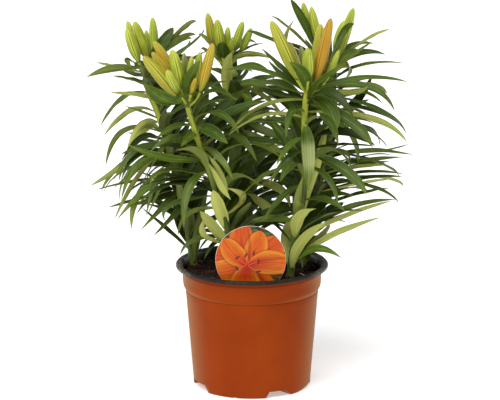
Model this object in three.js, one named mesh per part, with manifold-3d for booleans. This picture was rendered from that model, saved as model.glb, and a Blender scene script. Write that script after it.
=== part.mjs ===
// A potted asiatic lily: five leafy shoots with closed buds in a moulded pot, with a round plant label.
// Millimetres, +Z up. The origin is the centre of the pot's flat underside; the label stands towards -Y.
import * as THREE from 'three';
import { mergeVertices } from 'three/addons/utils/BufferGeometryUtils.js';
import Module from 'manifold-3d';

// ---------------------------------------------------------------- driving dimensions
const POT = {
  baseR: 73.4, // outer radius at the underside
  bodyTopR: 83.7, bodyTopZ: 124, // where the tapered body ends in a small step
  bandR: 86.7, bandZ: 130.5, // the straight shoulder band above the step
  bandTopR: 87.7, rimZ: 157.5, // height of the pot
  lipR: 96, lipDrop: 4.5, // the lip that rolls out and down
  wall: 1.4, floor: 1.6,
  // drain notches between the feet: [from, to] in degrees at the ground, [from, to] at the roof, height
  notches: [[-87.5, -48, -81, -53.5, 8.5], [14, 42.5, 17.3, 35, 7.8], [85.5, 124.5, 91, 119, 8.5], [193.5, 222, 199, 216, 7.8]],
  notchDepth: 25, drainR: 4,
  nickAt: -17.4, nickWidth: 3.8, nickHeight: 2.2, // a small slot in the front foot
  segments: 40,
};
const SOIL = { centreZ: 151, edgeZ: 146.5, gap: 0.6 }; // the potting soil, 6 to 11 mm below the rim
const LABEL = { x: -1.63, y: -71, z: 179.38, r: 43.8, thick: 0.9, stakeW: 13, stakeEnd: 84 };
const BULB = { r: 20, below: 20, above: 20.8 };
const GAP = 0.4; // clearance around whatever is pushed into the soil
const LEAF = { keel: 0.5, lift: 0.06 }; // depth of the midrib, and how far the edges lift as a part of the half width

// Bulb centres, one under each shoot.
const BULBS = [[-50, 15, 70], [-8, -12, 66], [-6, 44, 70], [38, -38, 66], [46, 22, 70]];

// The five stems: points from the bulb to the flower head, and the radius at each.
const STEMS = [
  { points: [[-50, 15, 94], [-63.6, 19.1, 119.3], [-73.3, 21.9, 146.5], [-78.4, 24.7, 175], [-83.1, 27.4, 203.5], [-89.2, 30.2, 231.7], [-95.9, 32.9, 259.9], [-103.1, 35.4, 287.9], [-110.9, 37.7, 315.7], [-119.8, 40, 343.3], [-130.6, 41.9, 370.2], [-135, 42, 398.8]],
    radii: [4.6, 4.6, 4.6, 4.5, 4.3, 4.2, 4, 3.8, 3.7, 3.5, 3.4, 3.2] },
  { points: [[-8, -12, 90], [-11.5, -14.2, 117.4], [-14, -15.6, 145], [-19.8, -21.4, 171.5], [-26.8, -28.3, 197.5], [-34.2, -33.9, 223.6], [-42.1, -38.6, 249.8], [-50, -42.5, 276.1], [-58.1, -45.7, 302.4], [-67.2, -48.5, 328.5], [-75.3, -50.2, 355], [-82.1, -50, 381.8]],
    radii: [4.8, 4.8, 4.8, 4.7, 4.5, 4.4, 4.2, 4, 3.9, 3.7, 3.6, 3.4] },
  { points: [[-6, 44, 94], [-8.4, 45.1, 122.2], [-10.1, 46, 150.5], [-13.3, 47.9, 178.6], [-16.5, 50, 206.7], [-19.1, 52, 234.8], [-21.4, 53.9, 263], [-23.7, 55.8, 291.2], [-25.8, 57.5, 319.4], [-28.1, 59, 347.6], [-30.5, 60.1, 375.8], [-33.4, 60, 404]],
    radii: [4.6, 4.6, 4.6, 4.5, 4.3, 4.2, 4, 3.8, 3.7, 3.5, 3.4, 3.2] },
  { points: [[38, -38, 90], [43.2, -36.4, 117.2], [47.2, -35, 144.6], [50.1, -36.7, 172.1], [53.8, -38.9, 199.4], [58.7, -40.8, 226.6], [63, -42.3, 254], [65.9, -43.3, 281.5], [66.9, -43.9, 309.2], [65.3, -44.8, 336.8], [65.5, -45, 364.5], [67.8, -45, 392.1]],
    radii: [5, 5, 5, 4.9, 4.8, 4.6, 4.5, 4.3, 4.2, 4.1, 3.9, 3.8] },
  { points: [[46, 22, 94], [54.5, 26.9, 121], [60.2, 30.3, 149], [68, 34.9, 176.3], [75.4, 38.9, 203.8], [81.6, 41.6, 231.7], [87.3, 44, 259.8], [92.7, 46.5, 287.9], [97.2, 48.9, 316.3], [100.4, 51.1, 344.7], [100, 52.2, 373.4], [95.7, 52, 401.8]],
    radii: [4.6, 4.6, 4.6, 4.5, 4.3, 4.2, 4, 3.8, 3.7, 3.5, 3.4, 3.2] },
];

// Flower stalks: [shoot, points, radii].
const STALKS = [
  [0, [[-134.1, 42, 393.1], [-136.2, 38.6, 396.1], [-138.1, 36.1, 399.6], [-139.9, 34.6, 403.4], [-141.5, 34, 407.7]], [2.1, 1.8, 1.7, 1.8, 2.2]],
  [0, [[-133.7, 42, 390.2], [-138, 46.6, 394.7], [-141.5, 50, 399.6], [-144.1, 52.1, 404.7], [-145.8, 53, 410.1]], [2.1, 1.8, 1.7, 1.8, 2.2]],
  [0, [[-133, 42, 385.9], [-130.6, 42.8, 392.8], [-129.3, 43.5, 398.8], [-129, 43.9, 403.9], [-129.8, 44, 408.2]], [2.1, 1.8, 1.7, 1.8, 2.2]],
  [0, [[-134.1, 42, 393.1], [-128.5, 44.4, 397.3], [-124.6, 46.2, 401.9], [-122.4, 47.4, 406.9], [-121.9, 48, 412.5]], [2.1, 1.8, 1.7, 1.8, 2.2]],
  [0, [[-133.7, 42, 390.2], [-130.1, 49.1, 393], [-127.9, 54.2, 396.6], [-126.9, 57.6, 401.1], [-127.2, 59, 406.3]], [2.1, 1.8, 1.7, 1.8, 2.2]],
  [1, [[-80.7, -50, 376.5], [-84.2, -52.2, 377.1], [-87.4, -53.9, 378.5], [-90.5, -55.2, 380.8], [-93.3, -55.9, 384]], [2.1, 1.8, 1.7, 1.8, 2.2]],
  [1, [[-79.7, -50.1, 372.4], [-83.6, -46.8, 377.2], [-87.2, -44.6, 381.9], [-90.5, -43.3, 386.6], [-93.6, -43, 391.2]], [2.1, 1.8, 1.7, 1.8, 2.2]],
  [1, [[-79, -50.1, 369.7], [-80.9, -43.2, 375.7], [-83, -38.2, 381.3], [-85.5, -35.2, 386.7], [-88.2, -34, 391.8]], [2.1, 1.8, 1.7, 1.8, 2.2]],
  [1, [[-80.7, -50, 376.5], [-83.3, -48.3, 380], [-85.4, -47.2, 383.8], [-87, -46.7, 387.8], [-88.1, -46.9, 392]], [2.1, 1.8, 1.7, 1.8, 2.2]],
  [1, [[-79.7, -50.1, 372.4], [-81.9, -57.5, 376.8], [-84.2, -63.3, 381.3], [-86.5, -67.4, 386], [-88.8, -69.9, 390.8]], [2.1, 1.8, 1.7, 1.8, 2.2]],
  [1, [[-79, -50.1, 369.7], [-79.9, -43.6, 375.2], [-80.6, -38.9, 380.7], [-81.2, -36.1, 386.3], [-81.6, -35, 391.9]], [2.1, 1.8, 1.7, 1.8, 2.2]],
  [1, [[-80.7, -50, 376.5], [-79.7, -50, 380.4], [-78.9, -50, 384.4], [-78.2, -50, 388.5], [-77.7, -50, 392.7]], [2.1, 1.8, 1.7, 1.8, 2.2]],
  [1, [[-79.7, -50.1, 372.4], [-76.2, -46.7, 375.6], [-73.5, -44.2, 379.3], [-71.6, -42.7, 383.6], [-70.5, -42, 388.4]], [2.1, 1.8, 1.7, 1.8, 2.2]],
  [1, [[-79, -50.1, 369.7], [-73.3, -52.3, 374], [-68.8, -54, 378.6], [-65.6, -55.2, 383.6], [-63.6, -56, 389]], [2.1, 1.8, 1.7, 1.8, 2.2]],
  [1, [[-80.7, -50, 376.5], [-79.4, -54.4, 377.9], [-78, -57.8, 380.2], [-76.6, -60.3, 383.5], [-75.2, -61.9, 387.8]], [2.1, 1.8, 1.7, 1.8, 2.2]],
  [2, [[-32.8, 60, 398.4], [-39.3, 61.1, 402.3], [-44.2, 62, 406.7], [-47.4, 62.6, 411.6], [-49.1, 63, 417]], [2.1, 1.8, 1.7, 1.8, 2.2]],
  [2, [[-32.5, 60, 395.6], [-34.6, 57.6, 400.9], [-36.2, 55.8, 406.2], [-37.4, 54.6, 411.3], [-38.3, 54, 416.3]], [2.1, 1.8, 1.7, 1.8, 2.2]],
  [2, [[-32.1, 60, 391.3], [-32, 60.9, 398.6], [-31.8, 61.4, 404.9], [-31.7, 61.5, 410.3], [-31.5, 61.1, 414.9]], [2.1, 1.8, 1.7, 1.8, 2.2]],
  [2, [[-32.8, 60, 398.4], [-29.7, 61.1, 403.1], [-27.1, 61.8, 408], [-24.7, 62.1, 413.2], [-22.8, 62, 418.6]], [2.1, 1.8, 1.7, 1.8, 2.2]],
  [2, [[-32.5, 60, 395.6], [-26.5, 63.2, 399.5], [-21.5, 65.6, 403.8], [-17.6, 67.2, 408.4], [-14.7, 68, 413.5]], [2.1, 1.8, 1.7, 1.8, 2.2]],
  [2, [[-32.1, 60, 391.3], [-31.1, 57.2, 397.9], [-30.2, 54.8, 403.9], [-29.3, 52.8, 409.4], [-28.4, 51.1, 414.4]], [2.1, 1.8, 1.7, 1.8, 2.2]],
  [3, [[67.4, -45, 386.6], [63.9, -46.2, 390.2], [60.8, -47.3, 394.3], [58, -48.2, 398.9], [55.6, -48.9, 403.9]], [2.1, 1.8, 1.7, 1.8, 2.2]],
  [3, [[67.1, -45, 383.8], [65.3, -40.8, 388.4], [63.6, -37.8, 393.2], [61.8, -35.8, 398.2], [60.1, -35, 403.3]], [2.1, 1.8, 1.7, 1.8, 2.2]],
  [3, [[66.8, -45, 379.7], [65.8, -35.8, 384.1], [65, -29.3, 389], [64.4, -25.3, 394.1], [63.8, -24, 399.7]], [2.1, 1.8, 1.7, 1.8, 2.2]],
  [3, [[67.4, -45, 386.6], [68, -50.5, 390.2], [68.5, -54.6, 394.5], [68.8, -57.4, 399.3], [68.8, -58.9, 404.7]], [2.1, 1.8, 1.7, 1.8, 2.2]],
  [3, [[67.1, -45, 383.8], [69.4, -42.9, 387.3], [71.2, -41.4, 390.8], [72.5, -40.4, 394.4], [73.4, -40, 398.1]], [2.1, 1.8, 1.7, 1.8, 2.2]],
  [3, [[66.8, -45, 379.7], [71.8, -47.5, 384], [75.7, -49.3, 388.5], [78.4, -50.5, 393.1], [80, -51, 398]], [2.1, 1.8, 1.7, 1.8, 2.2]],
  [3, [[67.4, -45, 386.6], [75.9, -45.1, 388.2], [82.5, -45.3, 390.9], [87.4, -45.6, 394.6], [90.4, -46, 399.4]], [2.1, 1.8, 1.7, 1.8, 2.2]],
  [4, [[96.5, 52, 396.2], [89.6, 53.7, 404], [84.2, 54.9, 411.2], [80.4, 55.7, 417.7], [78.1, 56, 423.6]], [2.1, 1.8, 1.7, 1.8, 2.2]],
  [4, [[97, 52.1, 393.3], [92.9, 49.9, 402.1], [89.6, 48.4, 409.9], [87.1, 47.4, 416.9], [85.5, 47, 422.9]], [2.1, 1.8, 1.7, 1.8, 2.2]],
  [4, [[97.6, 52.1, 389], [99.4, 51.2, 393.3], [101, 50.5, 397.2], [102.4, 50.1, 400.9], [103.6, 50, 404.4]], [2.1, 1.8, 1.7, 1.8, 2.2]],
  [4, [[96.5, 52, 396.2], [98.5, 57.6, 399.9], [100.4, 61.6, 404.1], [102.2, 64.1, 408.8], [103.9, 65, 414.1]], [2.1, 1.8, 1.7, 1.8, 2.2]],
];

// Buds: [name, shoot, base x, y, z, tip x, y, z, width].
const BUDS = [
  ['bud_back_left_1', 0, -141.64, 34, 408.2, -156.3, 33, 451.84, 13.88],
  ['bud_back_left_2', 0, -145.94, 53, 410.62, -156.34, 55, 456.36, 10.73],
  ['bud_back_left_3', 0, -129.99, 44, 408.66, -147.21, 44, 457.92, 15.14],
  ['bud_back_left_4', 0, -121.9, 48, 412.95, -124.78, 50, 461.83, 11.36],
  ['bud_back_left_5', 0, -127.25, 59, 406.79, -133.38, 62, 443.43, 8.83],
  ['bud_front_left_1', 1, -93.65, -56, 384.41, -133.71, -64, 436.39, 16.41],
  ['bud_front_left_2', 1, -93.86, -43, 391.66, -123.15, -45, 437.44, 12.62],
  ['bud_front_left_3', 1, -88.47, -34, 392.23, -120.94, -32, 448.58, 13.25],
  ['bud_front_left_4', 1, -88.23, -47, 392.53, -98.35, -53, 441.61, 15.78],
  ['bud_front_left_5', 1, -89.05, -70, 391.27, -104.01, -80, 422.25, 11.99],
  ['bud_front_left_6', 1, -81.64, -35, 392.44, -83.96, -34, 433.89, 8.83],
  ['bud_front_left_7', 1, -77.69, -50, 393.19, -73.85, -50, 433.46, 8.83],
  ['bud_front_left_8', 1, -70.43, -42, 388.91, -64.12, -40, 436.4, 10.73],
  ['bud_front_left_9', 1, -63.45, -56, 389.46, -47.85, -62, 452.23, 13.25],
  ['bud_front_left_10', 1, -75.06, -62, 388.25, -68.77, -67, 409.45, 6.94],
  ['bud_middle_1', 2, -49.14, 63, 417.54, -55.96, 65, 464.62, 11.99],
  ['bud_middle_2', 2, -38.36, 54, 416.84, -43.91, 52, 458.88, 13.25],
  ['bud_middle_3', 2, -31.48, 61, 415.38, -30.15, 56, 448.48, 8.83],
  ['bud_middle_4', 2, -22.66, 62, 419.03, -11.3, 60, 454.72, 10.73],
  ['bud_middle_5', 2, -14.49, 68, 413.92, -0.61, 70, 444.38, 10.1],
  ['bud_middle_6', 2, -28.28, 51, 414.89, -23.82, 44, 438.12, 6.94],
  ['bud_front_right_1', 3, 55.42, -49, 404.31, 23.22, -59, 479.1, 16.41],
  ['bud_front_right_2', 3, 59.91, -35, 403.82, 45.61, -33, 447.53, 11.36],
  ['bud_front_right_3', 3, 63.79, -24, 400.19, 60.55, -24, 440.64, 8.83],
  ['bud_front_right_4', 3, 68.82, -59, 405.21, 68.57, -65, 446.6, 15.14],
  ['bud_front_right_5', 3, 73.45, -40, 398.58, 84.88, -38, 471.15, 15.14],
  ['bud_front_right_6', 3, 80.05, -51, 398.45, 96.8, -54, 481.85, 14.51],
  ['bud_front_right_7', 3, 90.61, -46, 399.88, 106.96, -49, 440.78, 8.2],
  ['bud_back_right_1', 4, 78.02, 56, 424.12, 64.01, 57, 479.61, 11.36],
  ['bud_back_right_2', 4, 85.41, 47, 423.42, 73.88, 46, 476.65, 11.36],
  ['bud_back_right_3', 4, 103.79, 50, 404.83, 127.23, 50, 473.96, 13.88],
  ['bud_back_right_4', 4, 104.07, 65, 414.55, 115.83, 66, 454.17, 10.1],
];

// Leaves: [shoot, base x, y, z, bend x, y, z, tip x, y, z, width, turn at the base, turn along the leaf].
// Each is an arched blade along a three-point curve. LEAVES grow out of the stem, LOOSE_LEAVES are the
// large free-standing ones that are pieces of their own.
const LEAVES = [
  [0, -136.4, 42.1, 397.4, -177.6, 45.4, 403.6, -209.1, 52, 384.5, 11, 32.3, 89.2],
  [0, -135.6, 42.8, 393.1, -174.5, 64.3, 394.3, -198.7, 93.9, 395.6, 11, 26.8, 20.9],
  [0, -134.5, 43.3, 388.8, -146.1, 57.9, 381.8, -169.7, 82, 394.2, 11, -5.4, -10.8],
  [0, -133.5, 42.6, 378.8, -154.9, 52.1, 383.2, -178.3, 71.9, 382.8, 11, -1.3, -2.7],
  [0, -132.6, 43.2, 375.9, -149.8, 62.3, 380.8, -165.5, 101.9, 374.4, 11, -2.2, -4.3],
  [0, -131.3, 41.4, 367.5, -166.5, 34.9, 374.3, -190.8, 21.7, 327.4, 11, -5.9, -11.7],
  [0, -119, 38.8, 335, -138.3, 32.6, 344.3, -159.1, 19.4, 355, 11, 9.5, 19.1],
  [0, -110.5, 37.9, 307.4, -131.8, 47.2, 310.1, -158.5, 67, 309.9, 11, -5.2, -10.4],
  [0, -111.8, 37.8, 311.6, -171.3, 49.3, 261.9, -206.4, 72.4, 238.7, 11, 30.2, 23.5],
  [0, -110.6, 37.6, 307.4, -176.5, 56.2, 274.2, -193.3, 92.4, 225.9, 11, 7.3, 14.6],
  [0, -98.6, 33.5, 261.3, -168.7, 46.6, 249.1, -200.1, 73, 233.3, 11, -4, -8.1],
  [0, -104.2, 35.6, 283.7, -181.2, 58.8, 266.8, -191.3, 105, 218.8, 11, -12.8, -25.5],
  [0, -108, 36, 297.6, -147.6, 31.7, 267.4, -174.8, 34.5, 202.4, 11, 30.7, 23.8],
  [0, -95, 31.7, 245.8, -150.3, 35.6, 228.1, -183.9, 44.3, 217.5, 11, -6.5, -12.9],
  [0, -106.9, 37.1, 294.8, -173.4, 79.3, 261.4, -169.9, 115.4, 205.6, 11, -41.4, -32.2],
  [0, -103.2, 34.1, 279.5, -157.7, 22.7, 240.3, -151, -0.4, 199.6, 11, 33.3, 92.1],
  [0, -93.9, 29.9, 243, -115, 16, 234.7, -156.5, -13.7, 234.1, 11, -11.5, -23],
  [0, -101.6, 32.6, 282.3, -101.5, 11.1, 277.9, -132.2, -35.1, 224, 11, 12.5, 24.9],
  [0, -92.6, 28.9, 241.6, -98.1, 17.6, 240.8, -140.6, -8.8, 200.5, 11, -7, -14.1],
  [0, -87.3, 27, 224.7, -85.5, 12.5, 227, -124.1, -20.5, 196.4, 11, -3.2, -6.5],
  [0, -79.9, 24.7, 167.8, -109, 32.5, 194, -140.9, 49, 217, 11, -0.9, -1.7],
  [0, -126.6, 39.5, 358.1, -133.7, 26.9, 368.9, -179.1, 20.6, 372, 11, 31.2, 24.2],
  [0, -108.3, 35.4, 310.2, -98.1, 16.9, 325.6, -141.1, -22.7, 259.5, 11, 21.9, 17],
  [0, -133.2, 41.7, 397.4, -106.5, 36.7, 441.3, -98.5, 50.8, 448.9, 14.3, 42.1, 32.8],
  [0, -133.2, 42.2, 397.4, -78.5, 50.5, 461.5, -69.9, 67, 453.3, 11, -40.9, -31.8],
  [0, -133.2, 42.2, 397.4, -85.7, 47.5, 447.7, -70.3, 50.1, 439.4, 11, -40.6, -31.6],
  [0, -133.5, 41.1, 397.4, -84.9, 7.9, 449.2, -74.8, 14, 442.3, 11, 12.6, 25.3],
  [0, -133, 42.1, 396, -71.5, 47.1, 422.3, -79.2, 57, 431.6, 11, 4.8, 9.6],
  [0, -132.5, 42.3, 393.1, -61.2, 55.7, 429.9, -60.6, 76.9, 442.3, 11, -3.4, -6.9],
  [0, -136.4, 41.8, 397.4, -165.9, 37.9, 420.9, -150.3, 30, 401.4, 11, -7.4, -14.8],
  [0, -131.4, 41.4, 385.9, -110.9, 34.5, 381.9, -137, 20, 392, 11, -38.2, -29.7],
  [1, -82.1, -50.6, 375.1, -112.1, -60.2, 374.3, -133.5, -80, 407.3, 18.2, 31, 85.6],
  [1, -74.3, -50.6, 345.7, -94.6, -61.5, 353.1, -117.9, -84.6, 336.7, 11, -8.6, -17.2],
  [1, -70, -51.1, 336.4, -74, -72.8, 342.5, -87.2, -119, 334.7, 11.7, -22.7, -17.6],
  [1, -81.3, -51.8, 380.5, -80.1, -57.5, 408.8, -63.1, -72, 433.1, 14.3, -25.2, -19.6],
  [1, -57.1, -47.6, 303.7, -44.3, -62.2, 277.9, -25.9, -93.9, 261.8, 11.7, -41.2, -113.7],
  [1, -60.2, -47.9, 314.2, -38.2, -57.2, 287.6, -29.6, -77, 266.5, 11, -41.2, -113.7],
  [1, -62.2, -48.7, 319.4, -37.8, -62.9, 313.7, -23.4, -92.6, 286.8, 11, 6.1, 12.2],
  [1, -30.9, -31.5, 204, -43.7, -41.3, 245.3, -48.3, -63.7, 267.1, 17, 17.7, 8.9],
  [1, -32.7, -35.2, 227.5, 11.4, -45.5, 255.7, -32.2, -66.6, 270.3, 11, 25.4, 19.7],
  [1, -24.1, -23.6, 176.7, -52, -31.3, 217.5, -64.7, -47.8, 236.2, 14.3, 43.7, 34],
  [1, -27.3, -26.1, 188.4, -76.7, -30, 191.6, -57.3, -37.9, 227.3, 11, 26.7, 20.8],
  [1, -71.2, -48.6, 347, -57.6, -39.5, 368.3, -54.6, -19.7, 391.7, 11.7, 8.8, 17.7],
  [1, -80, -49.5, 380.5, -42.6, -38.1, 400.4, -31.1, -15, 393.8, 11, -1, -2],
  [1, -45.9, -39.3, 253.7, -123.9, -42.6, 247.5, -107, -49.2, 222.5, 11, -9.4, -18.9],
  [1, -52.9, -42.9, 277.4, -120, -47.8, 303.2, -125.8, -76.6, 276.6, 11, -6.2, -12.3],
  [1, -68.9, -48.6, 327.2, -101.4, -52.5, 340.5, -126, -60.4, 314.6, 11, -10, -19.9],
  [1, -40.8, -36.6, 236.7, -89.3, -43, 241.7, -92, -56.2, 206.3, 11, 41.4, 32.2],
  [1, -29.2, -27.1, 196.2, -82.1, -10.8, 198.5, -90.5, -14.2, 169.4, 11, -13, -26.1],
  [2, -30.1, 59.1, 385.7, -18.6, 51.5, 377, -37, 35, 413.1, 16.9, 6.1, 12.2],
  [2, -33.7, 58.5, 402.6, -38.3, 41.6, 424.6, -35.7, 34.6, 433.7, 16.9, -3.1, -6.2],
  [2, -32.2, 61.3, 402.6, -9.9, 89.3, 437.3, 7.6, 87.5, 418.9, 11, 9.8, 19.5],
  [2, -31.9, 60.9, 402.6, -10.6, 74.4, 420.7, 19.1, 99.8, 419.6, 11, -2, -4],
  [2, -31.5, 59.8, 401.2, -6.1, 56.6, 421.2, 25.2, 50, 409.3, 11, -38.9, -30.2],
  [2, -34.7, 59.3, 402.6, -63.1, 45.3, 445, -66.6, 57.6, 437.9, 11, 24.1, 18.7],
  [2, -34.8, 60.1, 402.6, -65.3, 61.7, 421.7, -63, 65, 419.7, 11, -5.9, -11.8],
  [2, -30.3, 60.3, 389.9, 15.3, 66.8, 412.9, 31.7, 80, 367.4, 11, 10.6, 21.3],
  [2, -28.5, 60.5, 371.6, -1.9, 70.1, 380.6, -6.3, 89.9, 395.1, 11, -9, -18],
  [2, -28.9, 59.9, 377.2, 21.1, 56, 364.1, 39.1, 48, 334.4, 11, -33.6, -26.2],
  [2, -28.8, 59.2, 374.4, -20.1, 54.9, 373.5, -50.4, 45, 340.2, 11, -4.7, -9.4],
  [2, -28.2, 59.1, 368.8, 13.7, 42.8, 362.1, -17.5, 9.8, 340.4, 11, -2.9, -5.9],
  [2, -24.6, 56.4, 323.6, -14.1, 47.5, 349.8, -56.5, 27.7, 353.1, 11, 14.6, 29.1],
  [2, -24.5, 55.1, 312.3, -18.4, 40.1, 341, -58.8, 7.1, 348.8, 11, 10.9, 21.8],
  [2, -23.8, 56.7, 318, 14.3, 42.1, 307.2, 47.7, 12.4, 289.7, 11.7, -41.2, -113.7],
  [2, -24.8, 57.6, 330.7, 21.7, 46.2, 314.7, 49, 23.1, 309.1, 11.7, 40.3, 31.3],
  [2, -22.7, 55.3, 302.5, 0.8, 39.5, 297.5, -37.6, 6.5, 291.1, 11, 41.2, 113.7],
  [2, -20.5, 52.7, 271.4, -5.4, 35.8, 273.9, -37.6, -0.5, 285, 11.7, 32.6, 90],
  [2, -18.3, 51.5, 248.9, 46.7, 1.7, 265, 47.7, -6.8, 229.7, 11.7, -41.2, -113.7],
  [2, -19.1, 51.1, 251.7, -6.9, 32.8, 252.8, -36.3, -6.8, 262.1, 11, 36.4, 28.3],
  [2, -32.3, 59, 380, -34.3, 57.4, 394.7, -51.6, 50.5, 395.7, 11, -10.3, -20.6],
  [2, -21.7, 54.4, 289.8, 4.3, 36, 291.7, 5, -2.3, 267.4, 11, -3.8, -7.6],
  [3, 69.3, -45.7, 383.8, 108.8, -57.9, 373.8, 99.4, -83, 340.1, 19.5, 14.7, 29.4],
  [3, 66.1, -47.2, 346.5, 70.7, -61.9, 319.2, 69.4, -94.9, 273.5, 17.5, -4.5, -9.1],
  [3, 56.1, -43.1, 219.8, 54, -47.2, 249.2, 63.1, -60.4, 284.1, 11, -1, -2],
  [3, 67.5, -47.2, 386.6, 68.8, -68.9, 419, 44.9, -101.8, 436.8, 15.6, 13, 25.9],
  [3, 65.2, -44.4, 386.6, 21.2, -31.2, 439.3, 52.7, -47.7, 479.3, 11, 8.7, 17.4],
  [3, 65.3, -44.3, 386.6, 32.4, -32.7, 419.9, 11.1, -16.8, 436.6, 11, -4.2, -8.5],
  [3, 65.6, -44.1, 389.3, 35.5, -29.7, 402.7, 19.9, 0, 417.9, 11, -0.8, -1.7],
  [3, 64.3, -45.4, 376.9, 5.5, -55.2, 382.3, -28.3, -75, 342, 11, 32.8, 25.5],
  [3, 63.1, -45.6, 354.8, 12.1, -60.3, 373.9, -30.7, -90, 341.1, 11, 26.9, 20.9],
  [3, 65.2, -44.6, 386.6, 10.8, -34.8, 426.7, -39.7, -15, 405.9, 11, -6.2, -12.4],
  [3, 64.8, -44.6, 382.4, 27.6, -38.2, 401.8, -8.7, -25, 395.3, 11, -8.1, -16.3],
  [3, 64.4, -44.3, 376.9, 23.7, -31.4, 381.8, 0, -5, 387.8, 11, -8.1, -16.2],
  [3, 63.4, -44, 285.6, 25.1, -53.6, 305, -17.3, -73.4, 256.7, 11, -1.9, -3.8],
  [3, 54.4, -40.5, 219.8, 23.6, -42.1, 231.1, -5, -45.4, 218.9, 11, -28.1, -21.8],
  [3, 52.3, -37.8, 165.2, 76.4, -50.6, 205.1, 111.6, -72.7, 181.7, 11, 41.3, 32.1],
  [3, 56.9, -38.7, 199.4, 112.1, -35.5, 248.2, 180.9, -28.9, 246.3, 11, 14.1, 28.2],
  [3, 56.6, -38.9, 196.7, 117.9, -43.8, 234.5, 173.7, -53.7, 250.8, 11, -33, -25.7],
  [3, 53.7, -36.8, 174.8, 93.5, -35.8, 200.1, 97.3, -36.6, 219.2, 11, -39.5, -30.7],
  [3, 69.9, -45.2, 390.7, 158.8, -55.2, 414.2, 175.5, -75, 367.9, 11, 23.8, 18.5],
  [3, 69.9, -45.4, 390.7, 131.3, -55.2, 381.2, 142.4, -67.4, 399.5, 11, -39.2, -30.5],
  [3, 69.8, -44.8, 389.3, 143.2, -38.2, 413.8, 194.5, -25, 394.7, 11, 9.1, 18.3],
  [3, 67.8, -45.2, 361.7, 167.6, -51.8, 365.2, 191.7, -65, 327.1, 11, -41.6, -32.3],
  [3, 63.6, -45.7, 328.5, 46.2, -54.7, 328.5, 29.5, -74.5, 300.2, 11, -3.8, -7.5],
  [3, 64.4, -45.2, 313.3, 43.3, -56.5, 313.6, 19.7, -68.8, 273.4, 11, -7.4, -14.8],
  [3, 61.5, -43.2, 266.3, 41.1, -46.8, 265.8, 12.4, -54.7, 223.9, 11, -12, -24.1],
  [3, 64.8, -43.1, 248.5, 94.3, -55.8, 260.2, 116.3, -69.5, 240.4, 11, 12.3, 24.6],
  [3, 69, -43.9, 292.6, 102, -48.6, 283.9, 106.6, -58.5, 245.3, 11, 9.7, 19.5],
  [4, 95.1, 51.8, 394.7, 55.4, 46.3, 477.7, 48.1, 40.5, 487.3, 11.7, -35, -96.8],
  [4, 94.3, 51.9, 400.4, 38.3, 46.9, 459.8, 23.1, 37, 467, 11, 8.4, 16.9],
  [4, 97.1, 51, 400.4, 115.6, 35, 459.9, 128.6, 28.3, 457.9, 11, 32.2, 88.8],
  [4, 94.3, 52.1, 400.4, -5.2, 55.4, 447.7, -5, 62, 441.5, 11, -7.3, -14.6],
  [4, 97.5, 52.2, 400.4, 157.1, 58.8, 443.2, 174.1, 72, 442, 11, -27.5, -21.4],
  [4, 97.5, 52.8, 399, 127, 68.4, 433.2, 154.9, 96.4, 418.4, 11, 9.3, 18.5],
  [4, 99.3, 51.9, 389, 134.8, 48.7, 420.2, 150.5, 42.1, 432.8, 11, -11.7, -23.4],
  [4, 98.2, 52.9, 394.7, 139.6, 76.3, 422.8, 169.8, 84.4, 406.6, 11, 22.7, 17.7],
  [4, 99.6, 51.4, 386.2, 118.1, 43.1, 422.4, 132.8, 35.7, 424.5, 11.7, 35.7, 98.6],
  [4, 100.9, 52.4, 379.1, 132.4, 57.3, 409.2, 195.7, 67.2, 399.3, 11, 3.8, 7.5],
  [4, 98.1, 51.2, 394.7, 137.1, 26.1, 416.5, 114.1, -18.1, 395.1, 11, -40.4, -31.4],
  [4, 100.4, 50.1, 327.7, 139.9, 56.6, 351.7, 152.4, 69.8, 385.2, 11.7, 36.8, 28.6],
  [4, 101.8, 52.2, 370.5, 162.5, 57.2, 379, 170.8, 67.1, 359.9, 11, -42.2, -32.9],
  [4, 101.7, 52.7, 356.2, 120.5, 66.8, 359.6, 145.1, 96.5, 361.2, 11, -27.6, -76.1],
  [4, 102, 51.3, 360.5, 182, 32.5, 349, 196.3, 59.1, 308.5, 11, 9.7, 19.3],
  [4, 102.2, 51.1, 350.5, 168.5, 44.1, 347.6, 194.2, 70.9, 313.6, 11, 10.1, 20.2],
  [4, 100.7, 49.7, 330.5, 136.2, 43.2, 314.5, 133.7, 30, 275.1, 11, 3.9, 7.7],
  [4, 93.3, 46.1, 279.5, 137.5, 52.6, 297.5, 206.4, 65.8, 280.9, 11, 10.7, 21.3],
  [4, 91, 44.5, 266.9, 137.8, 42.9, 281.5, 192, 39.6, 284.5, 11, 9, 18],
  [4, 88.8, 44.2, 255.6, 141.7, 57.2, 276.7, 178.6, 83.6, 267.5, 11, 4.8, 9.5],
  [4, 89.9, 43.6, 261.2, 138.2, 33.9, 276.2, 170.9, 14.1, 280.2, 11, -26.9, -20.9],
  [4, 95.5, 47.1, 292.2, 192.7, 54.8, 269.1, 186.8, 92.7, 244.3, 11, 9.6, 19.3],
  [4, 88.6, 43.6, 254.2, 153.7, 46.9, 269.8, 194.1, 53.5, 258.4, 11, 3.8, 7.6],
  [4, 86.4, 43, 243, 153.2, 56.1, 259.3, 194.1, 82.5, 248, 11, 5.8, 11.7],
  [4, 85.6, 42.1, 238.7, 157.2, 38.8, 253.9, 174.3, 32.2, 257.7, 11, -14.6, -29.3],
  [4, 89.3, 44.8, 258.4, 191.3, 87.7, 250, 195.4, 140.3, 221.4, 11, -9.7, -19.4],
  [4, 93.3, 45.5, 279.5, 116.8, 42.4, 302.5, 125, 35.8, 280.2, 11, 8.8, 17.6],
  [4, 88.5, 42.9, 254.2, 167.1, 21.1, 255.5, 184.8, 4, 233.5, 11, 2.8, 5.5],
  [4, 81.2, 40.5, 217.7, 141.4, 47, 239.8, 176.7, 60.2, 239.1, 11, 3.5, 7],
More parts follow.
